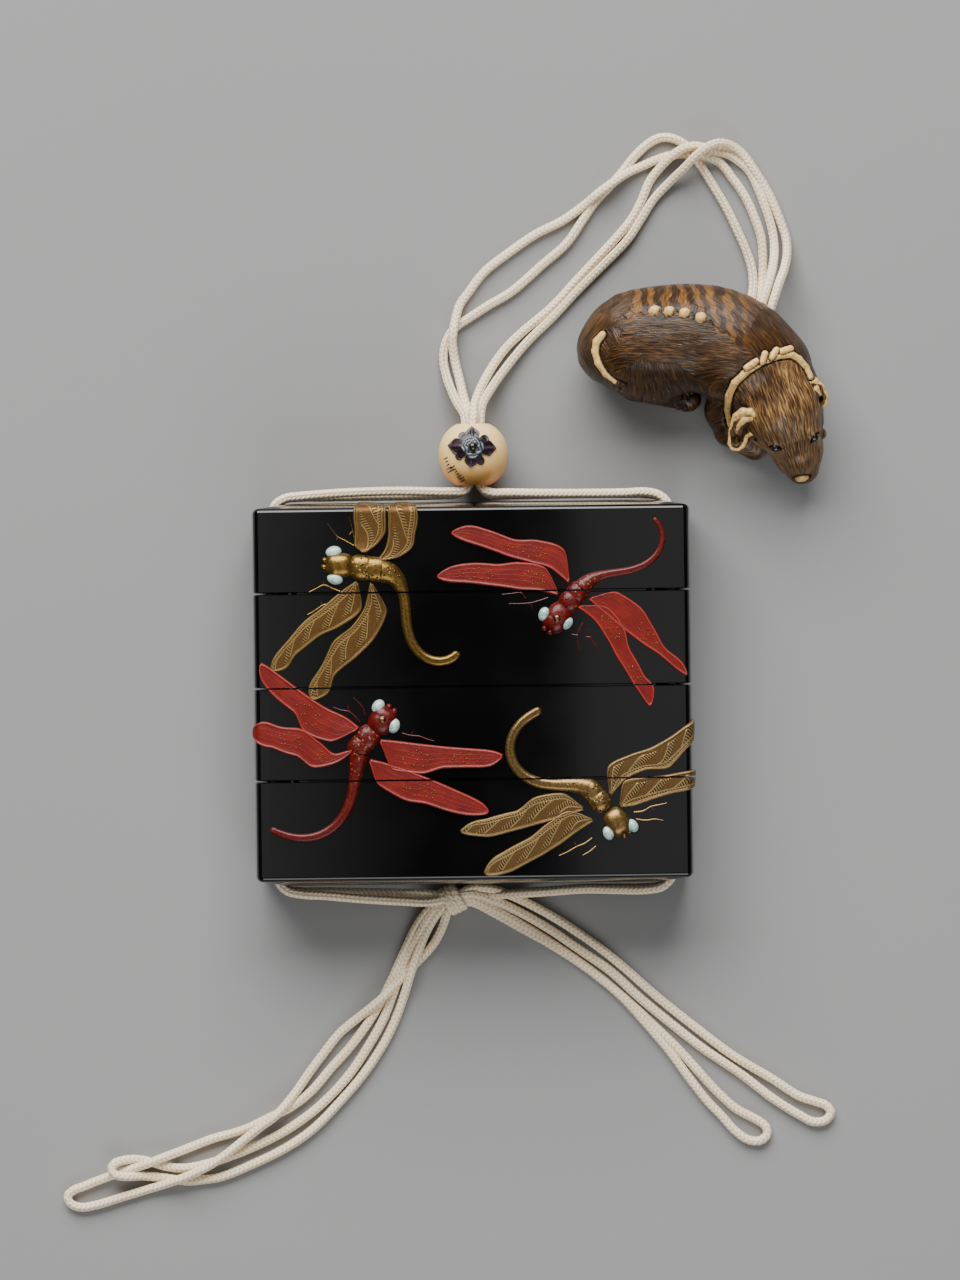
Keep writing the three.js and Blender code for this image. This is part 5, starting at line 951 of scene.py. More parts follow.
def gold_wing(name, mid, deep, light, metal):
    L = Look(name)
    u, w, W, y, flat = wing_space(L)
    e = L.attr("edge", "Fac")
    # two long veins run beside one edge with a ladder of strokes between them, and
    # branches leave the inner one at a slant, each with its own row of curved strokes
    half = L.math("MULTIPLY", W, 0.5)
    a = L.math("MULTIPLY", L.math("ADD", w, 0.5), half)
    near_line = lambda d, wide=0.085: L.fit(L.math("ABSOLUTE", d), wide + 0.045, wide)
    lines = L.math("MAXIMUM", near_line(a), near_line(L.math("MULTIPLY", L.math("ADD", w, 0.74), half), 0.06))
    out = L.math("MULTIPLY", L.math("SUBTRACT", w, 0.8), half)
    lines = L.math("MAXIMUM", lines, L.math("MULTIPLY", near_line(out, 0.05), 0.6))
    run = L.math("SUBTRACT", u, L.math("DIVIDE", L.math("SUBTRACT", a, L.math("MULTIPLY", L.math("MULTIPLY", a, a), 0.05)), 0.5))
    f = L.math("FRACT", L.math("DIVIDE", run, 5.0))
    away = L.math("MULTIPLY", f, 2.25)
    reach = L.math("MULTIPLY", L.fit(a, 0.0, 0.15), L.fit(w, 0.62, 0.5))
    reach = L.math("MULTIPLY", reach, L.fit(u, 26.0, 22.0))
    branch = L.math("MULTIPLY", L.math("MAXIMUM", L.fit(away, 0.14, 0.09), L.fit(away, 2.13, 2.18)), reach)
    lines = L.math("MAXIMUM", lines, branch)
    along_ = L.math("ADD", L.math("MULTIPLY", u, 0.89), L.math("MULTIPLY", a, 0.45))
    ph = L.math("FRACT", L.math("DIVIDE", L.math("ADD", along_, L.math("MULTIPLY", L.math("MULTIPLY", away, away), 0.35)), 0.5))
    bar = L.fit(L.math("ABSOLUTE", L.math("SUBTRACT", ph, 0.5)), 0.27, 0.17)
    row = L.math("MULTIPLY", L.math("MULTIPLY", L.fit(away, 0.14, 0.2), L.fit(away, 0.98, 0.86)), reach)
    ladder = L.math("MULTIPLY", L.fit(a, -0.06, -0.12), L.fit(w, -0.7, -0.66))
    rung = L.fit(L.math("ABSOLUTE", L.math("SUBTRACT", L.math("FRACT", L.math("DIVIDE", L.math("ADD", u, L.math("MULTIPLY", a, 0.5)), 0.5)), 0.5)), 0.27, 0.17)
    ladder = L.math("MULTIPLY", ladder, L.math("MULTIPLY", L.fit(u, 2.0, 4.0), L.fit(u, 27.0, 24.0)))
    bed = L.math("MAXIMUM", row, ladder)
    strokes = L.math("MAXIMUM", L.math("MULTIPLY", bar, row), L.math("MULTIPLY", rung, ladder))
    field = L.fit(e, 0.35, 0.5)
    work = L.math("MULTIPLY", L.math("MAXIMUM", lines, strokes), field)
    rim = L.fit(L.math("ABSOLUTE", L.math("SUBTRACT", e, 0.17)), 0.2, 0.1)
    grain = L.noise(flat, 5.0, 4.0, 0.65)
    powder = L.noise(flat, 26.0, 2.0, 0.6)
    base = L.mix(L.fit(grain, 0.3, 0.7), deep, mid)
    base = L.mix(L.math("MULTIPLY", L.math("MULTIPLY", bed, field), 0.8), base, srgb(62, 42, 20))
    base = L.mix(L.math("MULTIPLY", work, 0.9), base, light)
    base = L.mix(L.fit(e, 0.5, 0.36, 0.0, 0.35), base, srgb(70, 48, 24))
    # the rim is painted pale gold: a painted highlight along the raised edge of the wing
    base = L.mix(L.math("MULTIPLY", rim, 0.8), base, light)
    L.set(
        Base_Color=base,
        Metallic=metal,
        Roughness=L.fit(powder, 0.3, 0.7, 0.34, 0.5),
        Normal=L.bump(L.math("ADD", L.math("MULTIPLY", work, 1.0), L.math("MULTIPLY", powder, 0.25)), 0.00012, 1.0),
    )
    return L.m


def red_wing(name):
    L = Look(name)
    u, w, W, y, flat = wing_space(L)
    e = L.attr("edge", "Fac")
    speck = L.noise(L.stretch(flat, (1, 1, 1), (9, 4, 0)), 7.5, 3.0, 0.7)
    broad = L.noise(L.stretch(flat, (0.5, 1, 1)), 0.5, 2.0)
    dark = L.math("MULTIPLY", L.fit(speck, 0.52, 0.62), L.math("MULTIPLY", L.fit(e, 0.35, 0.9), L.fit(broad, 0.35, 0.6, 0.15, 0.75)))
    rim = L.fit(L.math("ABSOLUTE", L.math("SUBTRACT", e, 0.24)), 0.2, 0.08)
    base = L.mix(L.fit(broad, 0.3, 0.7), srgb(96, 15, 10), srgb(119, 22, 15))
    base = L.mix(L.math("MULTIPLY", dark, 0.75), base, srgb(52, 26, 18))
    # the rim is painted pink: a painted highlight along the raised edge of the wing
    base = L.mix(L.math("MULTIPLY", rim, 0.5), base, srgb(178, 79, 70))
        # faint veins run down the wing
    vein = L.math("SINE", L.math("MULTIPLY", L.math("ADD", w, L.math("MULTIPLY", L.math("SINE", L.math("MULTIPLY", u, 0.13)), 0.15)), 17.0))
    vein = L.math("MULTIPLY", L.fit(vein, 0.8, 0.98), L.fit(e, 0.4, 0.8))
    h = L.math("ADD", L.math("MULTIPLY", vein, 0.35), L.math("MULTIPLY", speck, 0.8))
    L.set(Base_Color=base, Roughness=L.mix(rim, L.fit(speck, 0.35, 0.65, 0.34, 0.46), (0.2, 0.2, 0.2)), IOR=1.5, Normal=L.bump(h, 0.00006, 0.7))
    L.b.inputs["Specular IOR Level"].default_value = 0.32
    return L.m


def body_look(name, base_a, base_b, dot_a, dot_b, metal, line):
    """Head, thorax and abdomen: spots on the thorax, joint lines on the abdomen."""
    L = Look(name)
    p = L.attr("wing")
    c = L.coord()
    spotty = L.attr("spotty", "Fac")
    on, rnd = dots(L, L.stretch(c, (1000, 1000, 1000)), 1.5, 0.34, 5.1)
    on = L.math("MULTIPLY", on, spotty)
    a = L.split(p)
    joint = L.attr("joint", "Fac")
    grain = L.noise(L.stretch(c, (1000, 1000, 1000)), 2.2, 4.0, 0.6)
    base = L.mix(L.fit(grain, 0.3, 0.7), base_a, base_b)
    base = L.mix(L.math("MULTIPLY", on, L.fit(rnd[0], 0.45, 0.5, smooth=False)), base, dot_a)
    base = L.mix(L.math("MULTIPLY", on, L.fit(rnd[0], 0.5, 0.45, smooth=False)), base, dot_b)
    base = L.mix(L.math("MULTIPLY", joint, 0.75), base, line)
    h = L.math("ADD", L.math("MULTIPLY", grain, 0.5), L.math("MULTIPLY", on, 0.8))
    L.set(Base_Color=base, Metallic=metal, Roughness=L.fit(grain, 0.3, 0.7, 0.24, 0.38), Normal=L.bump(L.math("SUBTRACT", h, joint), 0.00007, 0.8))
    if not metal:
        L.b.inputs["Specular IOR Level"].default_value = 0.35
    return L.m


GOLD_WING = gold_wing("gold_relief_wing", srgb(104, 73, 33), srgb(82, 56, 22), srgb(155, 127, 74), 0.72)
BRONZE_WING = gold_wing("bronze_relief_wing", srgb(106, 80, 42), srgb(81, 58, 28), srgb(159, 134, 86), 0.68)
RED_WING = red_wing("red_relief_wing")
GOLD_BODY = body_look("gold_relief_body", srgb(118, 89, 39), srgb(133, 105, 53), srgb(41, 23, 7), srgb(159, 139, 85), 0.85, srgb(41, 23, 7))
BRONZE_BODY = body_look("bronze_relief_body", srgb(119, 93, 51), srgb(136, 109, 65), srgb(41, 28, 13), srgb(166, 143, 96), 0.8, srgb(41, 28, 13))
RED_BODY = body_look("red_relief_body", srgb(73, 7, 5), srgb(93, 20, 14), srgb(16, 6, 4), srgb(137, 94, 43), 0.0, srgb(53, 5, 3))

L = Look("mother_of_pearl")
c = L.stretch(L.coord(), (1000, 1000, 1000))
bands = L.noise(L.stretch(c, (0.5, 1.3, 1.0), (0, 0, 0), (0, 0, 0.6)), 1.1, 2.0, 0.5, 1.2)
L.set(
    Base_Color=L.ramp(bands, [(0.25, srgb(96, 152, 150)), (0.42, srgb(138, 184, 178)), (0.56, srgb(198, 218, 208)), (0.75, srgb(128, 168, 172))]),
    Roughness=L.fit(bands, 0.3, 0.7, 0.12, 0.2),
    Normal=L.bump(bands, 0.00003, 0.4),
)
L.b.inputs["Coat Weight"].default_value = 0.6
L.b.inputs["Coat Roughness"].default_value = 0.05
SHELL = L.m

SPANS = [("lid", SEAMS[0] + G, 60.0), ("upper_case", SEAMS[1] + G, SEAMS[0] - G), ("middle_case", SEAMS[2] + G, SEAMS[1] - G), ("lower_case", -60.0, SEAMS[2] - G)]


def cut_to(o, lo, hi):
    bm = bmesh.new()
    bm.from_mesh(o.data)
    for y, sgn in ((lo, 1), (hi, -1)):
        if abs(y) > 50:
            continue
        geom = bm.verts[:] + bm.edges[:] + bm.faces[:]
        cut = bmesh.ops.bisect_plane(bm, geom=geom, plane_co=(0, y * MM, 0), plane_no=(0, -sgn, 0), clear_outer=True, dist=1e-8)
        edge = [e for e in cut["geom_cut"] if isinstance(e, bmesh.types.BMEdge)]
        if edge:
            bmesh.ops.holes_fill(bm, edges=edge, sides=0)
    n = len(bm.faces)
    bm.to_mesh(o.data)
    bm.free()
    return n


def relief_part(name, built, mat, spotty=0.0, joints=None, square=True):
    v, f, inf = built[:3]
    o = mesh_object(name, v, f, [mat])
    point_attribute(o, "wing", inf)
    point_attribute(o, "edge", built[3] if len(built) > 3 else np.full(len(v), 9.0))
    point_attribute(o, "spotty", np.full(len(v), spotty) if np.isscalar(spotty) else spotty)
    point_attribute(o, "joint", np.zeros(len(v)) if joints is None else joints)
    outward(o)
    return o


def leg_tube(points, r=0.11):
    p = np.array([on_case(x, y, 0.07) for x, y in points])
    line = smooth_path(p, 0.25)
    t = np.linspace(0, 1, len(line))
    v, f, at = sweep(line, r * (1 - 0.45 * t), 7)
    return v, f, at


# clusters of gold spots on the red wings: place along the wing, spread, number
SPOTS = {
    "top_right": [[(0.4, 0.15, 16)], [(0.2, 0.09, 15), (0.68, 0.15, 15)], [(0.29, 0.13, 16), (0.72, 0.1, 11)], [(0.56, 0.12, 15)]],
    "lower_left": [[(0.42, 0.14, 16)], [(0.25, 0.1, 12), (0.62, 0.12, 12)], [(0.3, 0.12, 15), (0.7, 0.12, 13)], [(0.45, 0.14, 15)]],
}

LEGS = {
    "top_left": [
        [(-21.01, 26.66), (-22.70, 27.67), (-23.80, 28.25), (-24.83, 29.48), (-25.65, 30.71)],
        [(-23.80, 28.25), (-24.10, 27.63)],
        [(-20.87, 28.00), (-21.28, 29.98), (-21.79, 31.77)],
        [(-21.18, 29.26), (-21.79, 28.62)],
        [(-23.53, 18.48), (-25.04, 19.10), (-26.41, 19.67), (-27.82, 19.05), (-29.08, 18.44)],
        [(-26.41, 19.67), (-26.58, 20.41)],
        [(-26.06, 16.21), (-26.71, 16.04), (-28.05, 15.13), (-29.45, 14.36)],
        [(-26.71, 16.04), (-27.02, 16.62)],
    ],
    "top_right": [
        [(13.69, 16.95), (12.25, 16.46), (10.56, 16.05), (8.48, 15.90), (6.69, 15.94)],
        [(10.56, 16.05), (10.87, 14.99)],
        [(9.71, 16.78), (8.92, 17.83), (7.07, 17.74), (5.42, 17.57)],
        [(19.90, 12.40), (19.27, 11.22), (18.87, 10.13), (18.96, 8.90), (19.23, 7.46)],
        [(18.87, 10.13), (17.83, 10.31)],
        [(20.94, 11.33), (21.15, 9.80), (21.93, 8.58), (22.88, 7.24)],
        [(21.15, 9.80), (20.31, 9.81)],
    ],
    "lower_left": [
        [(-20.24, -4.94), (-21.29, -3.77), (-22.18, -3.04), (-23.61, -2.75), (-25.04, -2.20)],
        [(-22.18, -3.04), (-22.35, -1.88)],
        [(-19.32, -3.70), (-19.67, -2.44), (-20.73, -1.18), (-21.43, -0.45)],
        [(-12.74, -7.00), (-11.14, -7.45), (-9.71, -7.58), (-8.28, -8.13), (-7.03, -8.51)],
        [(-11.14, -7.45), (-10.77, -6.60)],
        [(-13.48, -8.61), (-12.23, -8.91), (-10.97, -8.82)],
    ],
    "lower_right": [
        [(28.61, -21.65), (30.22, -21.49), (31.67, -20.70), (33.28, -20.38), (34.54, -20.11)],
        [(31.67, -20.70), (32.19, -21.45)],
        [(28.95, -22.91), (30.74, -23.15), (32.35, -22.95), (33.78, -23.22)],
        [(21.04, -26.21), (19.77, -27.09), (18.33, -27.68), (16.53, -28.67), (15.09, -29.29)],
        [(18.33, -27.68), (17.81, -26.89)],
        [(21.73, -27.65), (20.65, -28.54), (19.39, -29.24)],
    ],
}

for d in DRAGONFLIES:
    name, colour = d["name"], d["colour"]
    wing_mat = {"gold": GOLD_WING, "red": RED_WING, "bronze": BRONZE_WING}[colour]
    body_mat = {"gold": GOLD_BODY, "red": RED_BODY, "bronze": BRONZE_BODY}[colour]
    parts = []
    for w in d["wings"]:
        parts.append(relief_part("wing", wing_mesh(w, WING_RAISE), wing_mat))
    hx, hy, ha, hb, ht = d["head"]
    tx, ty, ta, tb, tt = d["thorax"]
    dx, dy = hx - tx, hy - ty
    dist = math.hypot(dx, dy)
    ux_, uy_ = dx / dist, dy / dist
    head = blob(hx, hy, ha, hb, 1.9, ht, square=2.7, bumps=lambda X, Y, Z: 1 - 0.07 * np.exp(-((X / ha - 1.0) ** 2 + (Y / hb) ** 2) / 0.06) - 0.04 * np.exp(-((X / ha - 0.15) / 0.07) ** 2))
    parts.append(relief_part("head", head, body_mat, spotty=0.0))
    for side in (-0.62, 0.62):  # the two small knobs of the mouth
        mx, my = hx + ux_ * (ha - 0.05) - uy_ * side, hy + uy_ * (ha - 0.05) + ux_ * side
        parts.append(relief_part("mouth", blob(mx, my, 0.6, 0.55, 0.8, ht, nu=20, nv=12), body_mat))
    plain_body = colour != "red"
    turn_t = math.degrees(math.atan2(uy_, ux_))
    for off, ka, kb, kc in ((0.3, 0.76, 1.0, 1.7), (-0.42, 0.8, 0.96, 1.62)):
        bl = blob(tx + ux_ * ta * off, ty + uy_ * ta * off, ta * ka, tb * kb * (1.0 if plain_body else 1.16), kc, turn_t, square=2.6)
        parts.append(relief_part("thorax", bl, body_mat, spotty=1.0))
    plain = colour != "red"
    v, f, inf = tail_mesh(d["tail"], joints=not plain)
    length = d["tail"]["length"]
    s = inf[:, 0] / length
    seg = np.abs((s * 9.5) % 1 - 0.5) * 2
    parts.append(relief_part("abdomen", (v, f, inf), body_mat, spotty=np.clip(1.2 - s * 4.5, 0, 1), joints=np.clip(0.75 - np.abs(inf[:, 1]) * 1.6, 0, 1) * np.clip(s * 5 - 1, 0, 1) * (0.9 if plain else 0.45)))
    if colour == "red":
        for wi, clusters in enumerate(SPOTS[name]):
            w = d["wings"][wi]
            length_ = math.hypot(w[2] - w[0], w[3] - w[1])
            ux, uy = (w[2] - w[0]) / length_, (w[3] - w[1]) / length_
            for ci, (t0, spread, n) in enumerate(clusters):
                for i in range(n):
                    q = (i + 0.5) / n
                    t = t0 + spread * (2 * q - 1) + 0.014 * math.sin(7.3 * i + wi)
                    L_, R_ = (float(profile([0.35, *vals, vals[4] * 0.8], np.array([t]))[0]) for vals in (w[5:10], w[10:15]))
                    off = w[4] * 4 * t * (1 - t) + (L_ - R_) / 2 + 0.27 * (L_ + R_) * math.sin(2.4 * i + 1.7 * wi + ci) * math.sqrt(max(0.1, 1 - (2 * q - 1) ** 2))
                    x, y = w[0] + ux * t * length_ - uy * off, w[1] + uy * t * length_ + ux * off
                    parts.append(relief_part("spot", blob(x, y, 0.155, 0.14, 0.15, 30 * i, lift=0.3 + WING_RAISE + 0.04, nu=8, nv=6), GOLD_BODY))
        for r_, m_, up_by in ((0.95, LACQUER, 0.0), (0.68, GOLD_BODY, 0.06)):
            parts.append(relief_part("brow_spot", blob(hx + 0.1 * ux_, hy + 0.1 * uy_, r_, r_ * 0.85, 0.5, ht, lift=1.46 + up_by, nu=24, nv=10), m_))
    for leg in LEGS[name]:
        parts.append(relief_part("leg", leg_tube(leg), body_mat))
    for e in d["eyes"]:  # the dark setting of each eye
        parts.append(relief_part("setting", blob(e[0], e[1], e[2] * 1.16, e[3] * 1.2, 0.75, e[4], nu=30, nv=12), LACQUER))
    for node, lo, hi in SPANS:
        mine = []
        for o in parts:
            ys = np.array([q.co.y for q in o.data.vertices]) / MM
            if ys.max() <= lo + 0.02 or ys.min() >= hi - 0.02:
                continue
            q = o.copy()
            q.data = o.data.copy()
            bpy.context.scene.collection.objects.link(q)
            if ys.min() < lo or ys.max() > hi:
                if not cut_to(q, lo, hi):
                    bpy.data.objects.remove(q)
                    continue
            mine.append(q)
        if mine:
            o = join_objects(f"{node}_dragonfly_{name}", mine)
            o.data.polygons.foreach_set("use_smooth", [True] * len(o.data.polygons))
            o.data.set_sharp_from_angle(angle=math.radians(45))
            piece(o, node, slot="lacquer")
    for o in parts:
        bpy.data.objects.remove(o)
    for i, (ex, ey, ea, eb, et) in enumerate(d["eyes"]):
        z = float(on_case(ex, ey, 0.0)[2])
        u_, p_ = np.meshgrid(np.linspace(0, 2 * np.pi, 36, endpoint=False), np.linspace(-np.pi / 2, np.pi / 2, 20)[1:-1])
        t = math.radians(et)
        X, Y = ea * np.cos(u_) * np.cos(p_), eb * np.sin(u_) * np.cos(p_)
        v = np.stack([ex + X * math.cos(t) - Y * math.sin(t), ey + X * math.sin(t) + Y * math.cos(t), z + 0.1 + 1.15 * np.sin(p_)], -1).reshape(-1, 3)
        v = np.vstack([v, [[ex, ey, z + 0.1 - 1.15], [ex, ey, z + 0.1 + 1.15]]])
        n, k = u_.shape
        f = [(a * k + b, a * k + (b + 1) % k, (a + 1) * k + (b + 1) % k, (a + 1) * k + b) for a in range(n - 1) for b in range(k)]
        f += [(n * k, (b + 1) % k, b) for b in range(k)] + [(n * k + 1, (n - 1) * k + b, (n - 1) * k + (b + 1) % k) for b in range(k)]
        eye = mesh_object(f"dragonfly_eye_{name}_{i + 1}", v, f, [SHELL])
        piece(eye, f"dragonfly_eye_{name}_{i + 1}", slot="shell")


# --------------------------------------------------------------- the dog netsuke
def blend(a, b, k):
    h = np.clip(0.5 + 0.5 * (b - a) / k, 0, 1)
    return b + (a - b) * h - k * h * (1 - h)


def rod(p, a, b):
    a, b = np.asarray(a, float), np.asarray(b, float)
    d = b[:3] - a[:3]
    t = np.clip(((p - a[:3]) @ d) / (d @ d), 0, 1)
    return np.linalg.norm(p - a[:3] - t[:, None] * d, axis=1) - (a[3] + (b[3] - a[3]) * t)


def rods(p, chain, k=0.3):
    d = None
    for a, b in zip(chain[:-1], chain[1:]):
        e = rod(p, a, b)
        d = e if d is None else blend(d, e, k)
    return d


def egg(p, c, r, turn=0.0):
    t = math.radians(turn)
    q = p - np.asarray(c, float)
    q = np.stack([q[:, 0] * math.cos(t) + q[:, 1] * math.sin(t), -q[:, 0] * math.sin(t) + q[:, 1] * math.cos(t), q[:, 2]], 1) / np.asarray(r, float)
    l = np.linalg.norm(q, axis=1)
    return (l - 1) * min(r) * (l + 1) / 2 / np.maximum(0.6, l)


def rounded_chain(chain, n=3):
    """The same chain with extra balls between, on a smooth curve."""
    c = np.array([chain[0], *chain, chain[-1]], float)
    out = []
    for i in range(1, len(c) - 2):
        for j in range(n):
            t = j / n
            out.append(0.5 * (2 * c[i] + (c[i + 1] - c[i - 1]) * t + (2 * c[i - 1] - 5 * c[i] + 4 * c[i + 1] - c[i + 2]) * t * t + (3 * c[i] - c[i - 1] - 3 * c[i + 1] + c[i + 2]) * t ** 3))
    return [list(q) for q in out] + [list(c[-1])]


TRUNK = rounded_chain(TORSO)


def body_shape(p):
    head = blend(egg(p, HEAD["c"], HEAD["r"], HEAD["turn"]), rods(p, MUZZLE, 1.0), 2.0)
    d = rods(p, TRUNK, 1.0)
    d = blend(d, egg(p, THIGH["c"], THIGH["r"], THIGH["turn"]), 1.6)
    d = blend(d, rods(p, HIND_LEG, 0.8), 1.0)
    d = blend(d, rods(p, FORE_LEG, 0.8), 1.4)
    return blend(d, head, 1.6)


def on_dog(points, sink=0.0, r=None):
    """Puts each place (x, y) at the top of the body, sunk a little into it."""
    out = []
    for q in points:
        z = np.linspace(24, 0.5, 236)
        d = body_shape(np.stack([np.full_like(z, q[0]), np.full_like(z, q[1]), z], 1))
        hit = np.where(d < 0)[0]
        top = z[hit[0]] if len(hit) else 5.0
        out.append([q[0], q[1], top - sink, q[2] if r is None else r])
    return out


tail_line = on_dog([[-18.65, 8.08], [-19.66, 6.91], [-19.94, 5.3], [-19.42, 3.2], [-18.16, 1.26], [-16.41, -0.11], [-14.81, -0.71]], 0.05, 0.78)
for i, w in enumerate((0.72, 0.8, 0.8, 0.76, 0.66, 0.55, 0.4)):
    tail_line[i][3] = w
strap = on_dog([[4.5, -8.02], [3.9, -5.44], [3.9, -2.87], [4.85, -0.79], [7.08, 1.27], [9.9, 2.9], [12.6, 3.9], [14.99, 4.13], [16.43, 3.25], [17.7, 1.79], [18.42, 0.17]], 0.12, 0.72)
lump_lines = [on_dog(l, -0.25, 0.62) for l in (
    [[6.95, 1.75], [8.65, 2.85]],
    [[9.75, 2.75], [10.25, 4.15]],
    [[11.4, 3.6], [12.35, 4.85]],
    [[13.2, 4.6], [14.95, 5.15]],
)]
knob_places = on_dog([[-9.34, 12.24], [-6.77, 12.05], [-4.04, 11.7], [-1.16, 10.86]], 0.12, 1.02)
nose_place = [17.2, -17.7, 6.75]
EAR_LEFT = [[8.6, -6.4, 14.2, 0.9], [7.0, -6.6, 13.6, 1.25], [5.7, -7.5, 12.7, 1.4], [5.2, -9.2, 11.5, 1.3], [5.2, -10.8, 10.5, 1.2], [6.0, -11.5, 10.0, 0.95]]
EAR_LEFT_RIM = [[4.45, -8.3, 12.6, 0.35], [4.1, -10.0, 11.5, 0.3], [3.95, -11.6, 10.8, 0.3], [4.5, -12.5, 10.5, 0.32], [5.5, -12.7, 10.6, 0.32], [6.4, -12.2, 11.0, 0.32], [6.85, -11.2, 11.4, 0.36], [7.05, -10.3, 11.8, 0.42], [7.9, -9.85, 12.2, 0.4], [9.0, -9.8, 12.2, 0.25]]
EAR_LEFT_FOLD = [[8.9, -7.0, 15.0, 0.3], [7.7, -6.0, 15.1, 0.62], [6.3, -5.95, 14.7, 0.7], [5.1, -6.8, 13.8, 0.62], [4.6, -8.2, 12.8, 0.45]]
EAR_LEFT_INNER = [[7.9, -7.2, 14.6, 0.4], [6.6, -7.35, 14.4, 0.55], [5.6, -8.3, 13.5, 0.45], [5.2, -9.4, 12.5, 0.3]]
EAR_RIGHT = [[17.9, -1.0, 13.0, 1.15], [19.6, -1.6, 12.2, 1.35], [20.5, -3.0, 11.2, 1.2], [20.2, -4.4, 10.5, 0.9]]
EAR_RIGHT_RIM = [[17.5, -2.4, 13.9, 0.4], [18.2, -0.8, 13.9, 0.5], [19.5, -0.5, 13.3, 0.55], [20.7, -1.7, 12.4, 0.5], [21.5, -3.3, 11.4, 0.42], [21.5, -4.5, 10.8, 0.4], [20.7, -5.1, 10.7, 0.42], [19.9, -4.5, 11.3, 0.42]]
EAR_RIGHT_FOLD = [[18.6, -2.2, 13.8, 0.5], [19.6, -2.0, 13.3, 0.55], [20.2, -3.0, 12.5, 0.4]]
TOES = [[[-5.67, -2.4, 4.3, 0.8], [-4.9, -4.5, 2.9, 0.72]], [[-4.54, -2.2, 4.5, 0.8], [-3.65, -4.75, 2.9, 0.7]], [[-3.5, -1.9, 4.4, 0.75], [-2.55, -4.45, 2.9, 0.66]], [[-2.76, -1.6, 4.0, 0.7], [-1.8, -3.4, 2.9, 0.6]]]
eye_centres = []
for x, y, z in DOG_EYES:
    zz = np.linspace(24, 0.5, 472)
    d = body_shape(np.stack([np.full_like(zz, x), np.full_like(zz, y), zz], 1))
    eye_centres.append([x, y, float(zz[np.where(d < 0)[0][0]]) - 0.25])
LIDS = []
for (x, y, z), turn, flip in ((eye_centres[0], 18, 1), (eye_centres[1], 22, 1)):
    c0 = np.array([x, y, z + 0.25])
    e = 0.05
    g = np.array([body_shape(np.array([c0 + e * a]))[0] - body_shape(np.array([c0 - e * a]))[0] for a in np.eye(3)])
    n = g / np.linalg.norm(g)
    a = np.array([math.cos(math.radians(turn)), math.sin(math.radians(turn)), 0.0])
    a -= n * (a @ n)
    a /= np.linalg.norm(a)
    b = np.cross(n, a)
    LIDS.append((c0, n, a, b))


def lid_rods(c0, n, a, b):
    upper = [list(c0 + a * 1.5 * math.cos(t) + b * 0.98 * math.sin(t) + n * 0.12) + [0.2] for t in np.linspace(0.1, math.pi - 0.1, 7)]
    lower = [list(c0 + a * 1.5 * math.cos(t) - b * 0.88 * math.sin(t) + n * 0.08) + [0.16] for t in np.linspace(0.1, math.pi - 0.1, 7)]
    return upper, lower


def socket_shape(p, c0, n, a, b):
    q = p - (c0 + n * 0.1)
    q = np.stack([q @ a / 1.4, q @ b / 0.86, q @ n / 0.8], 1)
    l = np.linalg.norm(q, axis=1)
    return (l - 1) * 0.72


MOUTH = [[13.0, -14.6, 4.6, 0.2], [13.7, -16.4, 4.1, 0.22], [14.5, -17.8, 3.9, 0.24], [15.8, -18.75, 3.9, 0.26], [17.3, -19.2, 3.9, 0.26], [18.8, -18.7, 3.9, 0.24], [19.8, -17.2, 4.1, 0.22], [20.5, -15.2, 4.6, 0.2]]
tunnel_inside = [[*q, TUNNEL["r"]] for q in tunnel_line(0, 4)]


def ivory_shapes(p):
    d = rods(p, tail_line[:6], 0.2)
    d = np.minimum(d, rods(p, strap, 0.2))
    for l in lump_lines:
        d = np.minimum(d, rods(p, l))
    for x, y, z, r in knob_places:
        d = np.minimum(d, egg(p, [x, y, z], [r * 1.05, r * 0.92, r], 20))
    d = np.minimum(d, egg(p, nose_place, [1.35, 0.85, 1.1], 12))
    for l in (EAR_LEFT_RIM, EAR_LEFT_FOLD, EAR_LEFT_INNER, EAR_RIGHT_RIM, EAR_RIGHT_FOLD):
        d = np.minimum(d, rods(p, l, 0.1))
    return d


LIP_LINES = [on_dog([[13.3, -15.2], [13.9, -16.3], [14.7, -17.1], [15.5, -17.6], [15.8, -18.3]], -0.05, 0.2), on_dog([[18.7, -18.0], [18.9, -17.3], [19.5, -16.4], [19.9, -15.2]], -0.05, 0.2)]


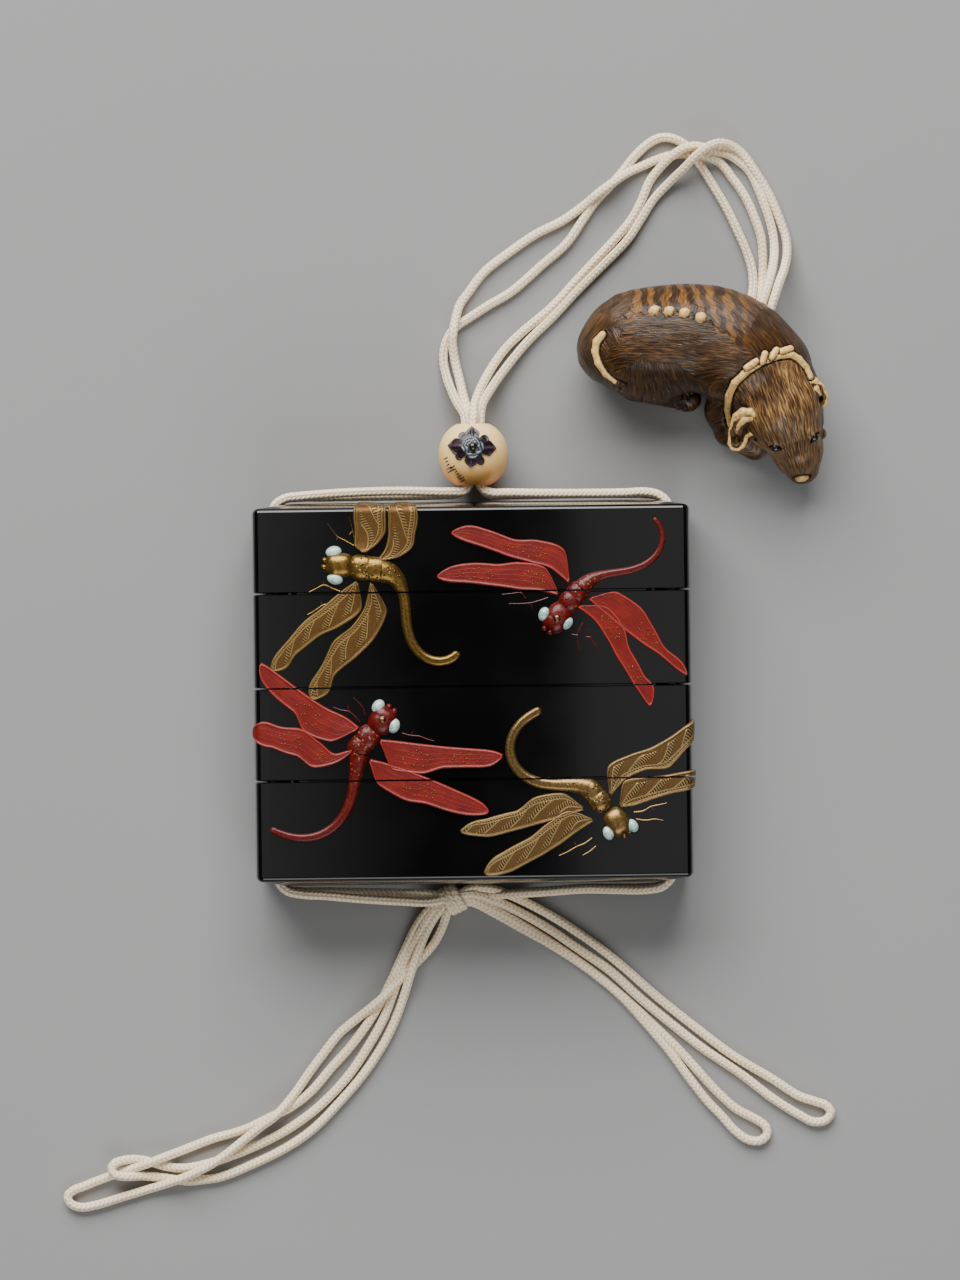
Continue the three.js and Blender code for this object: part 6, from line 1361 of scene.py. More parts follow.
def dog_shape(p):
    d = body_shape(p)
    # a hollow between the shoulder and the ribs, and one before the thigh
    d = np.maximum(d, -(rods(p, [[-15.4, -1.2, 10.5, 0.35], [-17.2, 1.4, 10.8, 0.4], [-18.4, 4.0, 10.6, 0.3]], 0.2)))
    brow = rods(p, [[13.0, -11.2, 11.9, 0.5], [11.6, -11.8, 11.2, 0.4]], 0.3)
    brow2 = rods(p, [[18.2, -9.3, 12.6, 0.5], [19.9, -9.6, 11.2, 0.4]], 0.3)
    d = blend(d, np.minimum(brow, brow2), 1.0)
    d = np.maximum(d, -rods(p, [[4.95, -12.6, 2.0, 0.4], [3.5, -5.0, 5.6, 0.4]], 0.2))
    # ears: the flap, its hollow, the rolled edge and a fold
    d = blend(d, rods(p, EAR_LEFT, 0.4), 0.35)
    d = blend(d, rods(p, EAR_RIGHT, 0.4), 0.35)
    d = np.maximum(d, -egg(p, [5.35, -11.1, 11.9], [0.85, 1.15, 1.4], -5))
    d = np.maximum(d, -egg(p, [8.1, -10.8, 11.7], [1.0, 0.6, 1.3], -20))
    d = np.maximum(d, -egg(p, [20.35, -3.7, 12.3], [0.55, 0.9, 1.1], 20))
    d = np.maximum(d, -egg(p, [19.3, -1.3, 14.0], [0.8, 0.3, 0.5], -30))
    for l, k in ((EAR_LEFT_RIM, 0.12), (EAR_LEFT_FOLD, 0.2), (EAR_LEFT_INNER, 0.2), (EAR_RIGHT_RIM, 0.12), (EAR_RIGHT_FOLD, 0.2)):
        d = blend(d, rods(p, l, 0.1), k)
    # a groove under what lies on the body, then the thing itself
    d = np.maximum(d, -(rods(p, strap, 0.2) - 0.22))
    d = blend(d, rods(p, strap, 0.2), 0.12)
    for l in lump_lines:
        d = np.maximum(d, -(rods(p, l) - 0.14))
        d = blend(d, rods(p, l), 0.08)
    d = np.maximum(d, -(rods(p, tail_line, 0.2) - 0.24))
    d = blend(d, rods(p, tail_line, 0.2), 0.12)
    for x, y, z, r in knob_places:
        k = egg(p, [x, y, z], [r * 1.05, r * 0.92, r], 20)
        d = blend(np.maximum(d, -(k - 0.09)), k, 0.16)
    for l in TOES:
        t = rod(p, *l)
        d = blend(np.maximum(d, -(t - 0.13)), t, 0.15)
    # the face
    for s in LIDS:
        d = np.maximum(d, -socket_shape(p, *s))
        for l in lid_rods(*s):
            d = blend(d, rods(p, l, 0.1), 0.22)
    n = egg(p, nose_place, [1.35, 0.85, 1.1], 12)
    d = blend(np.maximum(d, -(n - 0.14)), n, 0.08)
    for l in (MOUTH, *LIP_LINES):
        d = np.maximum(d, -rods(p, l, 0.1))
    d = np.maximum(d, -rods(p, [[17.0, -18.6, 4.6, 0.13], [16.9, -19.0, 3.9, 0.13]], 0.1))
    d = blend(d, egg(p, [20.95, -9.83, 7.6], [0.7, 0.95, 1.0], 10), 0.3)
    # flat under the belly, and the way through for the cord
    d = np.maximum(d, -rods(p, tunnel_inside, 0.02))
    return np.maximum(d, 0.02 - p[:, 2])


def in_chunks(fn, p, size=200000):
    return np.concatenate([fn(p[i : i + size]) for i in range(0, len(p), size)])


def surface_of(fn, coarse_fn, lo, hi, step, block):
    """Surface net of fn = 0: whole blocks far from it are skipped."""
    lo = np.asarray(lo, float)
    n = np.ceil((np.asarray(hi) - lo) / (step * block)).astype(int)
    big = step * block
    ax = [lo[i] + (np.arange(n[i]) + 0.5) * big - 0.5 * step for i in range(3)]
    C = np.stack(np.meshgrid(*ax, indexing="ij"), -1).reshape(-1, 3)
    cd = in_chunks(coarse_fn, C).reshape(n)
    near = np.abs(cd) < big * 0.87 + 2.4
    val = np.repeat(np.repeat(np.repeat(np.sign(cd) * 9.0, block, 0), block, 1), block, 2)
    fine = np.repeat(np.repeat(np.repeat(near, block, 0), block, 1), block, 2)
    idx = np.argwhere(fine)
    val[fine] = in_chunks(fn, lo + idx * step)
    ins = val < 0
    corners = [(a, b, c) for a in (0, 1) for b in (0, 1) for c in (0, 1)]
    sh = tuple(s - 1 for s in val.shape)
    total = sum(ins[a : a + sh[0], b : b + sh[1], c : c + sh[2]].astype(np.int8) for a, b, c in corners)
    cells = np.argwhere((total > 0) & (total < 8))
    number = np.full(sh, -1, dtype=np.int64)
    number[tuple(cells.T)] = np.arange(len(cells))
    vs = {c: val[tuple((cells + np.array(c)).T)] for c in corners}
    acc, cnt = np.zeros((len(cells), 3)), np.zeros(len(cells))
    for a in corners:
        for axis in range(3):
            if a[axis]:
                continue
            b = tuple(1 if i == axis else a[i] for i in range(3))
            va, vb = vs[a], vs[b]
            cross = (va < 0) != (vb < 0)
            t = np.where(cross, va / np.where(cross, va - vb, 1), 0)
            q = np.tile(np.array(a, float), (len(cells), 1))
            q[:, axis] = t
            acc += q * cross[:, None]
            cnt += cross
    v = lo + (cells + acc / cnt[:, None]) * step
    faces = []
    for axis in range(3):
        o1, o2 = (axis + 1) % 3, (axis + 2) % 3
        s0 = [slice(None)] * 3
        s1 = [slice(None)] * 3
        s0[axis], s1[axis] = slice(0, -1), slice(1, None)
        change = ins[tuple(s0)] != ins[tuple(s1)]
        e = np.argwhere(change)
        e = e[(e[:, o1] > 0) & (e[:, o2] > 0) & (e[:, o1] < sh[o1]) & (e[:, o2] < sh[o2])]
        first = ins[tuple(e.T)]
        quad = []
        for d1, d2 in ((1, 1), (0, 1), (0, 0), (1, 0)):
            c = e.copy()
            c[:, o1] -= d1
            c[:, o2] -= d2
            quad.append(number[tuple(c.T)])
        quad = np.stack(quad, 1)
        quad[~first] = quad[~first][:, ::-1]
        faces.append(quad)
    return v, np.concatenate(faces)


dog_v, dog_f = surface_of(dog_shape, body_shape, [-26.4, -21.9, -1.1], [25.2, 20.8, 21.6], 0.26, 5)


def slope(fn, p, e=0.06):
    g = np.stack([in_chunks(fn, p + e * a) - in_chunks(fn, p - e * a) for a in np.eye(3)], 1)
    return g / np.maximum(np.linalg.norm(g, axis=1, keepdims=True), 1e-9)


dog_n = slope(dog_shape, dog_v)
dog_v = dog_v - dog_n * np.clip(in_chunks(dog_shape, dog_v), -0.12, 0.12)[:, None]
# how open each point is, below 1 in creases and hollows; it darkens the colour there as painted shade, together with
# the stain that gathers in them
cavity = np.clip(in_chunks(dog_shape, dog_v + dog_n * 0.9) / 0.9, 0, 1)
ivory = np.clip(1 - in_chunks(ivory_shapes, dog_v) / 0.16, 0, 1)

# the lie of the fur: each region has its own pair of directions, parted where they meet
X, Y, Zd = dog_v.T
SPINE = np.array([[-21.3, 5.6], [-16.4, 10.9], [-9.34, 12.24], [-4.0, 11.7], [-1.16, 10.86], [2.82, 8.4], [7.6, 4.6], [10.8, 3.6]])
s_dense = np.interp(np.linspace(0, 1, 200), np.linspace(0, 1, len(SPINE)), SPINE[:, 0]), np.interp(np.linspace(0, 1, 200), np.linspace(0, 1, len(SPINE)), SPINE[:, 1])
spine_y = np.interp(X, SPINE[:, 0], SPINE[:, 1])
over = Y > spine_y + 0.35 * np.sin(1.9 * X) + 0.2 * np.sin(4.1 * X)  # the side of the back away from the legs


def polar(px, py, radius):
    return np.hypot(X - px, Y - py), np.arctan2(Y - py, X - px) * radius


def lean(deg):
    t = math.radians(deg)
    return X * math.cos(t) + Y * math.sin(t), -X * math.sin(t) + Y * math.cos(t)


# height counts too, so that strokes do not stretch down the sides
def bend(pair, k=0.8):
    u, w = pair
    return u, w + k * (10 - Zd)


haunch = bend(polar(-4.0, -9.0, 24.0), 0.0)
flank = bend(lean(-8), 0.55)
shoulder_up = bend(polar(4.5, 30.0, 22.0), 0.0)
leg = bend(polar(-13.4, 14.0, 13.0), 0.0)
# the head: strokes spread from the nose over the brow to the collar
nose_at, back_at = np.array([17.1, -18.6, 5.0]), np.array([9.8, 2.8, 8.2])
ax_ = (back_at - nose_at) / np.linalg.norm(back_at - nose_at)
rel = dog_v - nose_at
along = rel @ ax_
side_ = np.cross(ax_, [0, 0, 1.0])
side_ /= np.linalg.norm(side_)
up_ = np.cross(side_, ax_)
head_pair = (along, np.arctan2(rel @ side_, rel @ up_) * 6.5)
fur_u, fur_w = flank[0].copy(), flank[1].copy()
region = np.zeros(len(X))


def assign(mask, pair, number):
    fur_u[mask], fur_w[mask] = pair[0][mask], pair[1][mask] + number * 40.0
    region[mask] = number


assign(over & (X > -30), (Y * 0.9 + X * 0.35 - 0.8 * Zd, X * 1.0 - Y * 0.25 + 0.12 * Zd), 1)
k = over & (X > -1.5 + 1.0 * np.sin(1.2 * Y) + 0.5 * np.sin(2.7 * Y))
assign(k, (X * 0.66 - Y * 0.75 + 0.5 * Zd, X * 0.75 + Y * 0.66 - 0.35 * Zd), 2)
assign(over & (X < -12.5 + 1.1 * np.sin(0.9 * Y) + 0.6 * np.sin(2.3 * Y)), (Y * 0.6 + X * 0.8 - 0.3 * Zd, -X * 0.6 + Y * 0.8 - 0.6 * Zd), 3)
wave = 0.7 * np.sin(X * 0.9) + 0.4 * np.sin(X * 2.1 + 1)
in_leg = (Y < np.interp(X, [-21, -15.5, -12.0, -7.0, -3.0, 0.5], [1.0, 1.6, 3.4, 2.9, 0.8, -2.0]) + wave * 0.5) & (X < 0.2) & ~over
assign(in_leg, leg, 4)
jag = 1.3 * np.sin(1.1 * Y) + 0.7 * np.sin(2.9 * Y + 1.0)
assign((X < -16.4 + 0.5 * (Y - 6) * 0.6 + jag) & ~over & ~in_leg, (Y * 0.8 - X * 0.6, X * 0.8 + Y * 0.6 + 0.3 * Zd), 5)
collar_y = np.interp(X, [s[0] for s in strap[2:]], [s[1] for s in strap[2:]])
in_head = ((X > 3.9) & (Y < collar_y) & (X < 18.4)) | ((X >= 18.0) & (Y < 0.4)) | ((X > 4.4) & (Y < -8))
in_head &= ~((X < 4.6) & (Zd < 7))
assign(in_head, head_pair, 6)

# broad bands over the ribs
d_spine = Y - spine_y
stripe_u = X - 0.16 * np.abs(d_spine) ** 1.2 * np.sign(d_spine) * np.where(X < -6, 0.5, -0.6)
band = 0.5 + 0.5 * np.cos(2 * np.pi * (stripe_u + 1.2 + 0.5 * np.sin(0.7 * X + 0.5 * Y) + 0.25 * np.sin(2.3 * Y)) / 2.95)
reach = np.clip((X + 15.5) / 3, 0, 1) * np.clip((8.6 - X) / 3.5, 0, 1) * np.clip((d_spine + 1.4) / 2.0, 0, 1) * np.clip((Zd - 3.5) / 6.0, 0, 1)
under = 0.45 * np.clip((X + 12) / 3, 0, 1) * np.clip((4 - X) / 3, 0, 1) * np.clip((-d_spine) / 1.0, 0, 1) * np.clip((d_spine + 8) / 5, 0, 1)
bands = np.stack([band, reach, under], 1)

# locks of fur in the surface itself; the finer strokes lie on top of them
def value_noise(a, b, seed):
    ia, ib = np.floor(a).astype(np.int64), np.floor(b).astype(np.int64)
    fa, fb = a - ia, b - ib
    fa, fb = fa * fa * (3 - 2 * fa), fb * fb * (3 - 2 * fb)

    def h(i, j):
        n = (i * 374761393 + j * 668265263 + seed * 144665) & 0x7FFFFFFF
        n = ((n ^ (n >> 13)) * 1274126177) & 0x7FFFFFFF
        return ((n ^ (n >> 16)) & 0xFFFF) / 65535.0

    return (h(ia, ib) * (1 - fa) + h(ia + 1, ib) * fa) * (1 - fb) + (h(ia, ib + 1) * (1 - fa) + h(ia + 1, ib + 1) * fa) * fb


locks = value_noise(fur_u / 3.2, fur_w / 0.62, 7) - 0.5
locks2 = value_noise(fur_u / 5.0, fur_w / 1.5, 3) - 0.5
furry = (1 - ivory) * np.clip((Zd - 0.4) / 0.8, 0, 1) * np.clip(cavity * 1.4, 0, 1)
for s in LIDS:
    furry *= np.clip((np.linalg.norm(dog_v - s[0], axis=1) - 1.2) / 0.8, 0, 1)
furry *= np.clip(in_chunks(lambda p: rods(p, tunnel_inside, 0.02), dog_v) / 0.8, 0, 1)
dog_v = dog_v + dog_n * ((0.15 * locks + 0.13 * locks2) * furry)[:, None]

L = Look("engraved_stained_ivory")
fur = L.split(L.attr("fur"))
crevice_shade_and_stain = L.attr("cavity", "Fac")
iv = L.attr("ivory", "Fac")
bd = L.split(L.attr("bands"))
v3 = lambda su, sw, z: L.merge(L.math("MULTIPLY", fur[0], su), L.math("MULTIPLY", fur[1], sw), z)
wander = L.noise(v3(0.35, 0.5, 2.0), 1.0, 2.0)
fw = L.math("ADD", fur[1], L.math("MULTIPLY", L.math("SUBTRACT", wander, 0.5), 0.55))
hair = L.noise(L.merge(L.math("MULTIPLY", fur[0], 0.36), L.math("MULTIPLY", fw, 4.8), 0.0), 1.0, 2.0, 0.55)
fine = L.noise(L.merge(L.math("MULTIPLY", fur[0], 0.6), L.math("MULTIPLY", fw, 10.0), 4.0), 1.0, 2.0, 0.5)
tuft = L.noise(v3(0.16, 0.6, 9.0), 1.0, 3.0)
obj = L.stretch(L.coord(), (1000, 1000, 1000))
patch = L.noise(obj, 0.16, 3.0, 0.55)
stroke = L.math("ADD", L.math("MULTIPLY", hair, 0.7), L.math("MULTIPLY", fine, 0.3))
tone = L.math("ADD", L.math("MULTIPLY", L.fit(stroke, 0.38, 0.62, smooth=False), 0.82), L.math("ADD", L.math("MULTIPLY", L.math("SUBTRACT", patch, 0.5), 0.9), L.math("MULTIPLY", L.math("SUBTRACT", tuft, 0.5), 0.5)))
tone = L.math("ADD", tone, 0.03)
brown = L.ramp(tone, [(0.0, srgb(44, 30, 20)), (0.28, srgb(78, 56, 36)), (0.52, srgb(112, 84, 54)), (0.75, srgb(150, 118, 76)), (1.0, srgb(190, 158, 112))])
orange = L.ramp(tone, [(0.0, srgb(112, 76, 32)), (0.35, srgb(200, 146, 64)), (0.75, srgb(248, 196, 108)), (1.0, srgb(255, 228, 150))])
dusk = L.ramp(tone, [(0.0, srgb(36, 24, 18)), (0.5, srgb(70, 46, 32)), (1.0, srgb(124, 88, 54))])
on_band = L.math("MULTIPLY", L.fit(bd[0], 0.4, 0.75), bd[1])
off_band = L.math("MULTIPLY", L.fit(bd[0], 0.5, 0.2), bd[1])
col = L.mix(L.math("MULTIPLY", on_band, 0.58), brown, orange)
col = L.mix(L.math("MULTIPLY", off_band, 0.6), col, dusk)
low = L.math("MULTIPLY", L.fit(bd[0], 0.45, 0.8), bd[2])
col = L.mix(low, col, L.ramp(tone, [(0.0, srgb(62, 52, 30)), (0.6, srgb(132, 116, 72)), (1.0, srgb(180, 160, 108))]))
col = L.mix(L.fit(fur[2], 5.4, 5.6, smooth=False), L.mix(1.0, col, (0.32, 0.25, 0.18), "MULTIPLY"), L.mix(1.0, col, (0.97, 0.9, 0.82), "MULTIPLY"))
bone = L.noise(obj, 1.6, 4.0, 0.6)
pale = L.mix(L.fit(bone, 0.25, 0.6), srgb(192, 138, 68), srgb(244, 204, 128))
pale = L.mix(L.fit(hair, 0.55, 0.72, 0.0, 0.8), pale, srgb(142, 92, 44))
col = L.mix(L.fit(iv, 0.35, 0.8), col, pale)
# creases and hollows darkened towards near black: painted shade, together with the stain in the grooves
col = L.mix(L.fit(crevice_shade_and_stain, 0.78, 0.25, 0.0, 0.88), col, srgb(34, 22, 15))
h = L.math("ADD", L.math("MULTIPLY", hair, 0.65), L.math("MULTIPLY", fine, 0.35))
L.set(
    Base_Color=col,
    Roughness=L.fit(stroke, 0.35, 0.65, 0.36, 0.26),
    Normal=L.bump(L.math("MULTIPLY", h, L.fit(iv, 0.2, 0.8, 1.0, 0.25)), 0.00022, 0.85),
)
L.b.inputs["Specular IOR Level"].default_value = 0.3
L.b.inputs["Coat Weight"].default_value = 0.05
L.b.inputs["Coat Roughness"].default_value = 0.15
IVORY = L.m

dog = mesh_object("netsuke", dog_v + np.array([NETSUKE[0], NETSUKE[1], 0.0]), [tuple(int(i) for i in q) for q in dog_f], [IVORY])
point_attribute(dog, "fur", np.stack([fur_u, fur_w, region], 1))
point_attribute(dog, "cavity", cavity)
point_attribute(dog, "ivory", ivory)
point_attribute(dog, "bands", bands)
outward(dog)
piece(dog, "netsuke", slot="stained_ivory")

L = Look("jet")
c = L.stretch(L.coord(), (1000, 1000, 1000))
g = L.noise(c, 2.0, 3.0)
L.set(Base_Color=L.mix(g, (0.006, 0.005, 0.005), (0.014, 0.011, 0.01)), Roughness=L.fit(g, 0.3, 0.7, 0.1, 0.2), Normal=L.bump(g, 0.00001, 0.3))
L.b.inputs["Coat Weight"].default_value = 0.5
L.b.inputs["Coat Roughness"].default_value = 0.06
JET = L.m


def ball(name, c, r, mat, nu=40, nv=24):
    u, p = np.meshgrid(np.linspace(0, 2 * np.pi, nu, endpoint=False), np.linspace(-np.pi / 2, np.pi / 2, nv + 1)[1:-1])
    r = np.broadcast_to(np.asarray(r, float), 3)
    v = np.stack([r[0] * np.cos(u) * np.cos(p), r[1] * np.sin(u) * np.cos(p), r[2] * np.sin(p)], -1).reshape(-1, 3)
    v = np.vstack([v, [[0, 0, -r[2]], [0, 0, r[2]]]]) + np.asarray(c, float)
    n, k = u.shape
    f = [(a * k + b, a * k + (b + 1) % k, (a + 1) * k + (b + 1) % k, (a + 1) * k + b) for a in range(n - 1) for b in range(k)]
    f += [(n * k, (b + 1) % k, b) for b in range(k)] + [(n * k + 1, (n - 1) * k + b, (n - 1) * k + (b + 1) % k) for b in range(k)]
    return mesh_object(name, v, f, [mat])


for side, (x, y, z) in zip(("left", "right"), eye_centres):
    piece(ball(f"netsuke_eye_{side}", (x + NETSUKE[0], y + NETSUKE[1], z), 0.95, JET), f"netsuke_eye_{side}", slot="jet")


# ------------------------------------------------------------- the sliding bead
BX, BY, BR, BH = BEAD["x"], BEAD["y"], BEAD["r"], BEAD["h"]
MOUTH_R = BEAD["bore"] + 0.3


def bead_radius(y):
    s = np.clip(np.abs(np.asarray(y, float) - BY) / BH, 0, 0.9995)
    return np.maximum(MOUTH_R + 0.15, BR * np.cos(np.arcsin(s)) ** 0.86)


def on_bead(x, y, h):
    """A point seen from above at x, y, at height h over the bead."""
    x, y, h = np.broadcast_arrays(*(np.asarray(q, float) for q in (x, y, h)))
    r = bead_radius(y)
    z = BEAD_Z + np.sqrt(np.maximum(r * r - (x - BX) ** 2, 0.3))
    e = 0.05
    zx = (np.sqrt(np.maximum(r * r - (x + e - BX) ** 2, 0.3)) - np.sqrt(np.maximum(r * r - (x - e - BX) ** 2, 0.3))) / (2 * e)
    zy = (np.sqrt(np.maximum(bead_radius(y + e) ** 2 - (x - BX) ** 2, 0.3)) - np.sqrt(np.maximum(bead_radius(y - e) ** 2 - (x - BX) ** 2, 0.3))) / (2 * e)
    n = np.stack([-zx, -zy, np.ones_like(zx)], -1)
    n /= np.linalg.norm(n, axis=-1, keepdims=True)
    return np.stack([x, y, z], -1) + n * h[..., None]


def turned(name, profile_, nu, mat):
    """A closed profile of (radius, y) turned about the bead's axis."""
    a = np.linspace(0, 2 * np.pi, nu, endpoint=False)
    v = np.array([[BX + r * math.cos(t), y, BEAD_Z + r * math.sin(t)] for r, y in profile_ for t in a])
    n = len(profile_)
    f = [(i * nu + j, i * nu + (j + 1) % nu, ((i + 1) % n) * nu + (j + 1) % nu, ((i + 1) % n) * nu + j) for i in range(n) for j in range(nu)]
    v[:, 2] = np.maximum(v[:, 2], 0.0)
    return mesh_object(name, v, f, [mat])


L = Look("bead_ivory")
c = L.split(L.coord())
up_down = L.math("MULTIPLY", L.math("SUBTRACT", c[1], BY * MM), 1000)
mm = L.stretch(L.coord(), (1000, 1000, 1000))
grain = L.noise(L.stretch(mm, (0.5, 0.12, 0.5)), 2.2, 4.0, 0.55, 0.6)
fine = L.noise(mm, 9.0, 2.0)
height_ = L.math("MULTIPLY", L.math("SUBTRACT", c[2], BEAD_Z * MM), 1000)
# colour runs from dark orange at the -y end to pale peach at the +y end, and the bead is painted lighter towards its
# top as painted light from above
g = L.math("ADD", L.math("ADD", up_down, L.math("MULTIPLY", height_, 0.55)), L.math("MULTIPLY", L.math("SUBTRACT", grain, 0.5), 2.6))
base = L.ramp(L.fit(g, -6.5, 6.5, smooth=False), [(0.0, srgb(206, 100, 36)), (0.15, srgb(246, 152, 70)), (0.32, srgb(255, 190, 104)), (0.62, srgb(255, 209, 134)), (1.0, srgb(255, 219, 152))])
base = L.mix(L.fit(fine, 0.55, 0.8, 0.0, 0.2), base, srgb(206, 150, 96))
L.set(Base_Color=base, Roughness=L.fit(grain, 0.3, 0.7, 0.3, 0.42), Normal=L.bump(L.math("ADD", grain, L.math("MULTIPLY", fine, 0.3)), 0.00003, 0.35))
L.b.inputs["Coat Weight"].default_value = 0.15
L.b.inputs["Coat Roughness"].default_value = 0.2
L.b.inputs["Subsurface Weight"].default_value = 0.3
L.b.inputs["Subsurface Radius"].default_value = (1.0, 0.5, 0.25)
L.b.inputs["Subsurface Scale"].default_value = 0.002
BEAD_IVORY = L.m

L = Look("dark_horn")
mm = L.stretch(L.coord(), (1000, 1000, 1000))
ridge = L.attr("ridge", "Fac")
g = L.noise(mm, 1.4, 4.0, 0.6, 0.4)
base = L.mix(L.fit(g, 0.3, 0.7), srgb(22, 12, 16), srgb(42, 26, 34))
# raised ridges and petal rims are painted lighter: a painted highlight
base = L.mix(L.fit(ridge, 0.35, 1.0, 0.0, 0.5), base, srgb(84, 62, 76))
L.set(Base_Color=base, Roughness=L.fit(g, 0.3, 0.7, 0.22, 0.34), Normal=L.bump(g, 0.00004, 0.5))
HORN = L.m

L = Look("smoky_shell")
mm = L.stretch(L.coord(), (1000, 1000, 1000))
ridge = L.attr("ridge", "Fac")
g = L.noise(mm, 1.2, 3.0, 0.6, 1.2)
# ripple crests are painted lighter: a painted highlight, over the shell's own cloudy tone
base = L.ramp(L.math("ADD", L.math("MULTIPLY", ridge, 0.6), L.math("MULTIPLY", g, 0.4)), [(0.1, srgb(22, 24, 30)), (0.45, srgb(50, 56, 66)), (0.62, srgb(72, 78, 90)), (0.88, srgb(108, 118, 126))])
L.set(Base_Color=base, Roughness=L.fit(g, 0.3, 0.7, 0.16, 0.26), Normal=L.bump(g, 0.00003, 0.5))
L.b.inputs["Coat Weight"].default_value = 0.5
L.b.inputs["Coat Roughness"].default_value = 0.08
SMOKY = L.m

L = Look("ink")
mm = L.stretch(L.coord(), (1000, 1000, 1000))
g = L.noise(mm, 6.0, 3.0)
L.set(Base_Color=L.mix(g, srgb(16, 11, 10), srgb(34, 24, 20)), Roughness=L.fit(g, 0.3, 0.7, 0.4, 0.55), Normal=L.bump(g, 0.00002, 0.4))
INK = L.m

t_end = math.acos(min(1.0, ((MOUTH_R + 0.15) / BR) ** (1 / 0.86)))
t_all = np.linspace(-t_end, t_end, 64)
outer = [(BR * math.cos(t) ** 0.86, BY + BH * math.sin(t)) for t in t_all]
y_end = outer[-1][1] - BY
lip = [(MOUTH_R + 0.15 - 0.2 * math.sin(q), y_end + 0.16 * (1 - math.cos(q)) * 0.6) for q in np.linspace(0.3, math.pi / 2, 4)]
inner_top = [(MOUTH_R - 0.1, BY + y_end - 0.05), (BEAD["bore"] + 0.06, BY + y_end - 0.5), (BEAD["bore"], BY + y_end - 1.3)]
loop = outer + inner_top + [(r, 2 * BY - y) for r, y in reversed(inner_top)]
bead_obj = turned("ojime_bead", loop, 96, BEAD_IVORY)
point_attribute(bead_obj, "ridge", np.zeros(len(bead_obj.data.vertices)))
outward(bead_obj)
marks = []
for row, (x0, y0, x1, y1, n) in enumerate(((-4.95, -0.7, -4.1, -3.0, 5), (-3.75, -2.3, -1.9, -4.75, 7))):
    for i in range(n):
        q = i / (n - 1)
        cx_, cy_ = BX + x0 + (x1 - x0) * q, BY + y0 + (y1 - y0) * q
        half = 0.42 + 0.16 * math.sin(5.1 * i + row)
        a = math.radians(28 + 9 * math.sin(3.3 * i + 2 * row))
        line = np.array([on_bead(cx_ + half * s * math.cos(a), cy_ + half * s * math.sin(a), 0.0) for s in np.linspace(-1, 1, 7)])
        v, f, _ = sweep(line, 0.11 * np.sqrt(np.clip(1 - 0.8 * np.linspace(-1, 1, 7) ** 2, 0, 1)), 8)
        m = mesh_object("mark", v, f, [INK])
        point_attribute(m, "ridge", np.zeros(len(v)))
        marks.append(m)
bead_obj = join_objects("ojime_bead", [bead_obj, *marks])
bead_obj.data.set_sharp_from_angle(angle=math.radians(40))
piece(bead_obj, "ojime_bead", slot="bead")

FX, FY = BX - 0.05, BY + 1.1
PETALS = ((92, 3.85, 0.45), (-2, 4.2, 0.43), (-98, 3.6, 0.44), (174, 4.5, 0.42))
LOBES = ((131, 2.75, 0.8), (36, 2.6, 0.8), (211, 2.9, 0.72), (-60, 2.75, 0.75))


def flower_reach(t):
    best, ridge_ = 2.15, 0.0
    for a, length, half in PETALS:
        dt = abs((t - math.radians(a) + math.pi) % (2 * math.pi) - math.pi)
        if dt < half:
            r = length * (1 - 0.2 * (dt / half) ** 0.85)
        else:
            r = length * 0.8 - (dt - half) * 9
        best = max(best, r)
        ridge_ = max(ridge_, math.exp(-((dt / 0.09) ** 2)))
    for a, d, rr in LOBES:
        dt = (t - math.radians(a) + math.pi) % (2 * math.pi) - math.pi
        k = rr * rr - (d * math.sin(dt)) ** 2
        if k > 0 and abs(dt) < 1:
            best = max(best, d * math.cos(dt) + math.sqrt(k))
    return best, ridge_


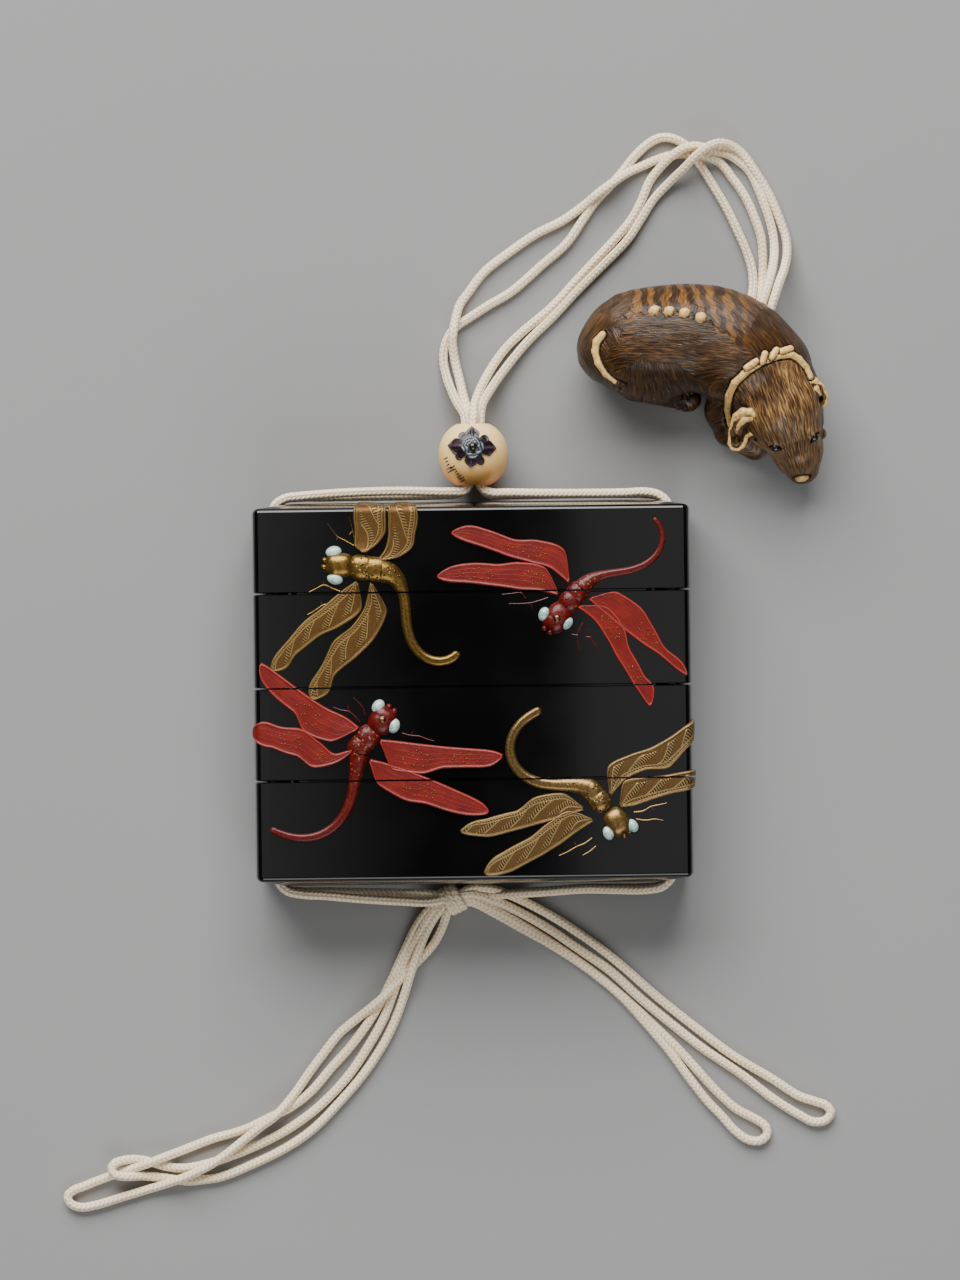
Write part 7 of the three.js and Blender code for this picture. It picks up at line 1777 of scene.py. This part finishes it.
def shallow(name, reach, height, nu, nr, mat, node, slot, sink=0.4):
    """A thin shape laid over the bead about the flower's middle."""
    t = np.linspace(0, 2 * np.pi, nu, endpoint=False)
    R, K = np.array([reach(q) for q in t]).T
    q = np.linspace(0, 1, nr + 1)[1:]
    q = 1 - (1 - q) ** 1.3
    rows, rid = [], []
    for s in q:
        h, g = height(s, R * s, t, K, R)
        rows.append(on_bead(FX + R * s * np.cos(t), FY + R * s * np.sin(t), h))
        rid.append(g)
    low = on_bead(FX + R * np.cos(t), FY + R * np.sin(t), -sink)
    v = np.vstack([on_bead(FX, FY, height(0.0, np.zeros(1), np.zeros(1), np.zeros(1), R[:1])[0][0])[None], *rows, low, on_bead(FX, FY, -sink)[None]])
    g = np.concatenate([[0.5], *rid, np.zeros(nu), [0.0]])
    f = [(0, 1 + j, 1 + (j + 1) % nu) for j in range(nu)]
    for i in range(nr):
        f += [(1 + i * nu + j, 1 + (i + 1) * nu + j, 1 + (i + 1) * nu + (j + 1) % nu, 1 + i * nu + (j + 1) % nu) for j in range(nu)]
    base_ = 1 + nr * nu
    f += [(base_ + nu, base_ + (j + 1) % nu, base_ + j) for j in range(nu)]
    o = mesh_object(name, v, f, [mat])
    point_attribute(o, "ridge", g)
    outward(o)
    o.data.set_sharp_from_angle(angle=math.radians(50))
    return piece(o, node, slot=slot)


def petal_height(s, r, t, K, R):
    edge = np.sqrt(np.clip(1 - (1 - np.clip((R - r) / 0.3, 0, 1)) ** 2, 0, 1))
    cup = 0.12 * np.clip((r - 1.6) / 1.2, 0, 1)
    rim = 0.1 * np.exp(-(((R - r - 0.25) / 0.16) ** 2))
    ridge = K * np.clip((r - 1.4) / 1.0, 0, 1)
    h = edge * (0.34 - cup + rim + 0.17 * ridge)
    # the second value marks the ridges and the rim, which the horn colour paints lighter as a painted highlight
    return h, np.clip(ridge + 0.8 * rim / 0.1, 0, 1)


def ripple(s, r, t, K, R):
    w = r + 0.16 * np.sin(4 * t + 0.6) + 0.09 * np.sin(7 * t + 2.0)
    wave_ = 0.5 + 0.5 * np.cos(2 * np.pi * w / 0.62)
    edge = np.sqrt(np.clip(1 - (1 - np.clip((R - r) / 0.25, 0, 1)) ** 2, 0, 1))
    # wave_ marks the ripple crests, which the shell colour paints lighter as a painted highlight
    return edge * (0.52 + 0.11 * wave_), wave_


shallow("ojime_flower", flower_reach, petal_height, 260, 26, HORN, "ojime_flower", "flower")
shallow("ojime_flower_disc", lambda t: (1.9 + 0.14 * math.cos(4 * t + 0.5) + 0.06 * math.sin(3 * t), 0.0), ripple, 120, 22, SMOKY, "ojime_flower_disc", "flower_disc", sink=0.1)
piece(ball("ojime_flower_bud", tuple(on_bead(FX, FY, 0.95)), 0.85, JET), "ojime_flower_bud", slot="jet")
